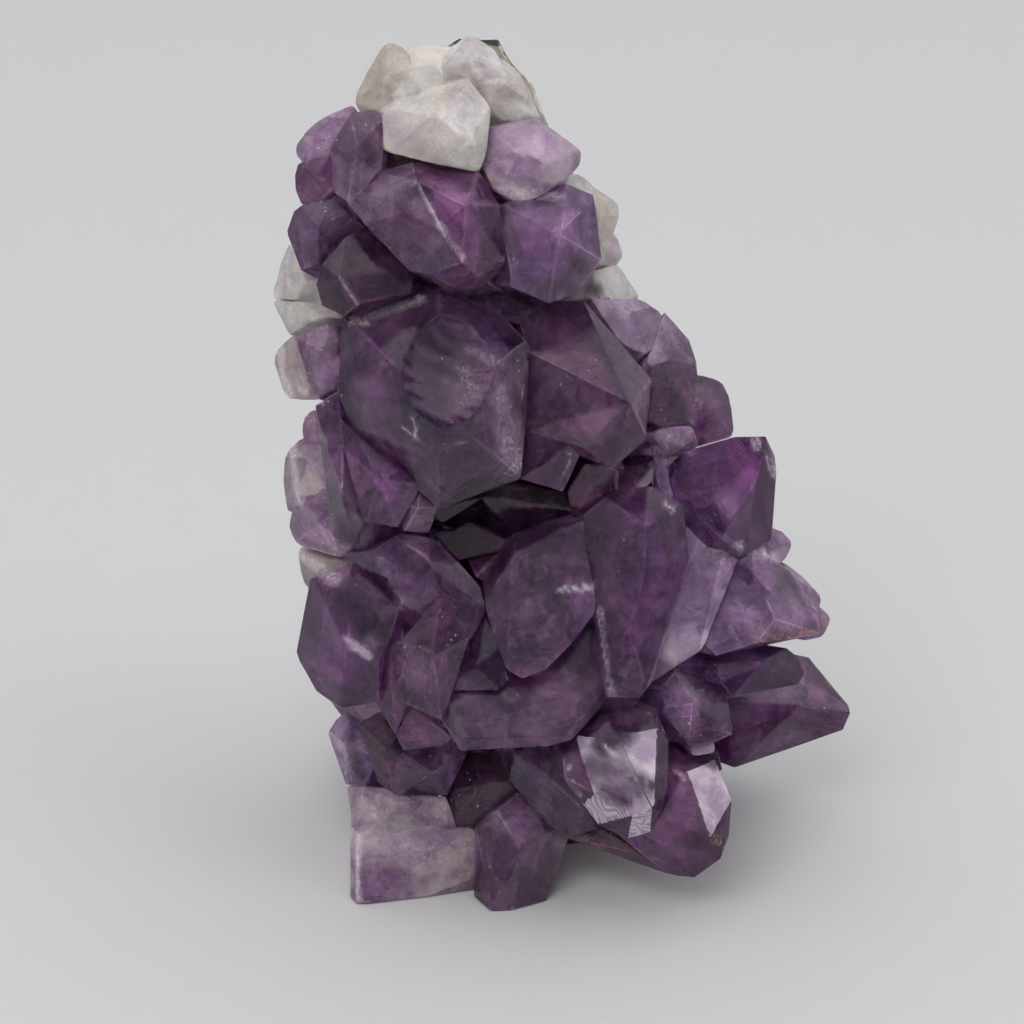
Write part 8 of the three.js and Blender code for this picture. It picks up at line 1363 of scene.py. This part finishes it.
m_purple = glass("amethyst_glass", (0.62, 0.42, 0.72), 70.0, (0.58, 0.44, 0.66), (1.30, 1.28, 1.27))
m_pale = glass("pale_glass", (0.80, 0.68, 0.84), 40.0, (0.70, 0.56, 0.76), (1.22, 1.22, 1.18), 1.0, 0.25)
m_milky = glass("milky_glass", (0.94, 0.92, 0.88), 14.0, (0.84, 0.80, 0.78), (1.10, 1.09, 1.05), 0.8, 0.6)
for ob, m in ((purple, m_purple), (pale, m_pale), (milky, m_milky)):
    ob.data.materials.clear()
    ob.data.materials.append(m)
    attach(ob, "root")
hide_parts("crystal_druse")

def cloud_material(name, gain, holes):
    k = Nodes(name)
    obj = k.where()
    tone, clear = k.attribute("tone")
    n1 = k.noise(obj, 160, 4, 0.6, 0.8)
    n2 = k.noise(obj, 520, 4, 0.65, 1.0)
    s = k.math("ADD", k.math("MULTIPLY", n1, 0.6), k.math("MULTIPLY", n2, 0.4))
    low = tuple(gain * x for x in (0.60, 0.42, 0.68))
    high = tuple(gain * x for x in (1.6, 1.5, 1.55))
    colour = k.mix(k.range(s, 0.36, 0.64), k.mix(1.0, tone, low, "MULTIPLY"), k.mix(1.0, tone, high, "MULTIPLY"))
    p = k.principled(Base_Color=colour, Roughness=0.9)
    p.inputs["Specular IOR Level"].default_value = 0.0
    p.inputs["IOR"].default_value = 1.0
    surface = p.outputs[0]
    if holes:
        tr = k.t.nodes.new("ShaderNodeBsdfTransparent")
        mx = k.t.nodes.new("ShaderNodeMixShader")
        thin = k.range(k.noise(obj, 110, 5, 0.66, 1.8), 0.44, 0.68, 0.05, 0.85)
        k.put(mx.inputs[0], k.math("MULTIPLY", k.math("SUBTRACT", 2.2, k.math("MULTIPLY", clear, 1.9)), thin, clamp=True))
        k.t.links.new(tr.outputs[0], mx.inputs[1])
        k.t.links.new(p.outputs[0], mx.inputs[2])
        surface = mx.outputs[0]
    k.t.links.new(surface, k.out.inputs["Surface"])
    return k.m


for ob, m in ((haze, cloud_material("growth_haze", 1.0, True)), (deep, cloud_material("deep_haze", 1.0, False))):
    ob.data.materials.clear()
    ob.data.materials.append(m)
    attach(ob, "root")

# host rock: dark, rough, with pale quartz at its thin edge
rock = rind_copy()
rock.name = "host_rock"
refine(rock, 1.1 * MM)
V = to_table(coords(rock.data))
rock.data.update()
nrm = np.empty(len(V) * 3); rock.data.vertices.foreach_get("normal", nrm); nrm = nrm.reshape(-1, 3)
lump = 0.5 + 0.5 * fractal(V / 4.0, 4, 51, 0.6)
pit = smooth(fractal(V / 1.7, 2, 57), 0.1, 0.6)
V = V - nrm * (0.55 * lump + 0.25 * pit)[:, None] * np.where(V[:, 2:3] < 0.05, 0.0, np.where(V[:, 2:3] > 106, 0.35, 1.0))
V[:, 2] = np.maximum(V[:, 2], 0.0)
rock.data.vertices.foreach_set("co", to_metres(V).ravel())
rock.data.polygons.foreach_set("use_smooth", np.zeros(len(rock.data.polygons), dtype=bool))
rock.data.update()
me = rock.data
C = to_table(coords(me))[triangles(me)]
n = np.cross(C[:, 1] - C[:, 0], C[:, 2] - C[:, 0])
n /= np.maximum(np.linalg.norm(n, axis=1, keepdims=True), 1e-9)
rim = np.maximum(smooth(-n[:, 1], 0.25, 0.7), smooth(-(C.mean(1)[:, 1] - 11.2 - 0.12 * (C.mean(1)[:, 0] + 5)), -2.2, -0.6)) * smooth(C.mean(1)[:, 2], 20, 60) * (1 - 0.9 * smooth(C.mean(1)[:, 2], 117.0, 117.8))
corner_colour(me, "rim", np.stack([rim, rim, rim, rim], 1))
k = Nodes("host_rock")
obj = k.where()
n1 = k.noise(obj, 90, 6, 0.65, 0.4)
n2 = k.noise(obj, 600, 5, 0.7)
vo = k.voronoi(obj, 380)
colour = k.mix(k.range(n1, 0.35, 0.65), (0.028, 0.034, 0.022), (0.085, 0.092, 0.062))
colour = k.mix(k.range(n2, 0.55, 0.75, 0.0, 0.7), colour, (0.17, 0.14, 0.10))
colour = k.mix(k.range(vo, 0.0, 0.16, 0.35, 0.0), colour, (0.30, 0.31, 0.26))
colour = k.mix(k.range(k.noise(obj, 240, 3, 0.6, 1.5), 0.60, 0.68, 0.0, 0.6), colour, (0.05, 0.085, 0.05))
rim, _ = k.attribute("rim")
rim = k.split(rim)[0]
crust = k.range(k.noise(obj, 170, 4, 0.65, 1.0), 0.36, 0.46)
colour = k.mix(k.math("MULTIPLY", rim, crust), colour, k.mix(k.range(n2, 0.35, 0.65), (0.50, 0.46, 0.38), (0.80, 0.77, 0.70)))
h = k.math("ADD", k.math("MULTIPLY", n2, 0.7), k.math("MULTIPLY", vo, 0.6))
p = k.principled(Base_Color=colour, Roughness=k.range(n2, 0.3, 0.7, 0.72, 0.95), Normal=k.bump(h, 0.8, 0.0006))
k.t.links.new(p.outputs[0], k.out.inputs["Surface"])
rock.data.materials.clear()
rock.data.materials.append(k.m)
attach(rock, "root")
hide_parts("host_rock_rind")
note("rock", len(rock.data.polygons))

# ---- stage and light ---------------------------------------------------------------------
floor = new_object("floor", [(-4, -4, -0.0002), (4, -4, -0.0002), (4, 4, -0.0002), (-4, 4, -0.0002)], [(0, 1, 2, 3)])
k = Nodes("floor")
obj = k.where()
n = k.t.nodes.new("ShaderNodeSeparateXYZ")
k.put(n.inputs[0], obj)
# floor colour a little lighter towards the back: painted light falloff
painted_light_falloff = k.range(n.outputs[1], -0.25, 0.45)
colour = k.mix(painted_light_falloff, (0.635, 0.635, 0.64), (0.655, 0.655, 0.657))
p = k.principled(Base_Color=colour, Roughness=0.85)
k.t.links.new(p.outputs[0], k.out.inputs["Surface"])
floor.data.materials.append(k.m)

world = bpy.data.worlds.new("world")
scene.world = world
world.use_nodes = True
wt = world.node_tree
bg = wt.nodes["Background"]
tc = wt.nodes.new("ShaderNodeTexCoord")
sx = wt.nodes.new("ShaderNodeSeparateXYZ")
wt.links.new(tc.outputs["Generated"], sx.inputs[0])


def wrange(v, a, b, c, d):
    n = wt.nodes.new("ShaderNodeMapRange")
    n.interpolation_type = "SMOOTHSTEP"
    wt.links.new(v, n.inputs[0])
    for s, x in zip(n.inputs[1:5], (a, b, c, d)):
        s.default_value = x
    return n.outputs[0]


def wmath(op, a, b):
    n = wt.nodes.new("ShaderNodeMath")
    n.operation = op
    for s, x in zip(n.inputs, (a, b)):
        if isinstance(x, (int, float)):
            s.default_value = x
        else:
            wt.links.new(x, s)
    return n.outputs[0]


up = wrange(sx.outputs[2], -0.1, 0.95, 0.45, 1.15)
front = wrange(sx.outputs[1], -0.9, 0.3, 0.22, 1.0)
left = wrange(sx.outputs[0], -0.9, 0.9, 0.95, 1.05)
wt.links.new(wmath("MULTIPLY", wmath("MULTIPLY", up, front), left), bg.inputs["Strength"])
bg.inputs["Color"].default_value = (0.985, 0.985, 1.0, 1)


def area(name, loc, size, power, look=(0, 0, 0.05), color=(1, 1, 1)):
    d = bpy.data.lights.new(name, "AREA")
    d.shape = "RECTANGLE"
    d.size, d.size_y = size
    d.energy = power
    d.color = color
    o = bpy.data.objects.new(name, d)
    scene.collection.objects.link(o)
    o.location = loc
    o.rotation_euler = (Vector(loc) - Vector(look)).to_track_quat("Z", "Y").to_euler()
    o.visible_glossy = False
    return o


area("key", (-0.30, -0.75, 0.95), (0.8, 0.5), 4.6)
area("fill", (0.7, -0.3, 0.9), (0.5, 0.7), 1.2)
scene.view_settings.view_transform = "Standard"
scene.view_settings.look = "None"
cy = scene.cycles
cy.use_adaptive_sampling = True
cy.adaptive_threshold = 0.08
cy.adaptive_min_samples = 12
cy.max_bounces = 7
cy.transmission_bounces = 6
cy.transparent_max_bounces = 6
cy.glossy_bounces = 3
cy.diffuse_bounces = 2
cy.volume_bounces = 0
cy.caustics_refractive = True
cy.caustics_reflective = True
cy.blur_glossy = 0.4
cy.sample_clamp_indirect = 5.0

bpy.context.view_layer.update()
note("scene made")
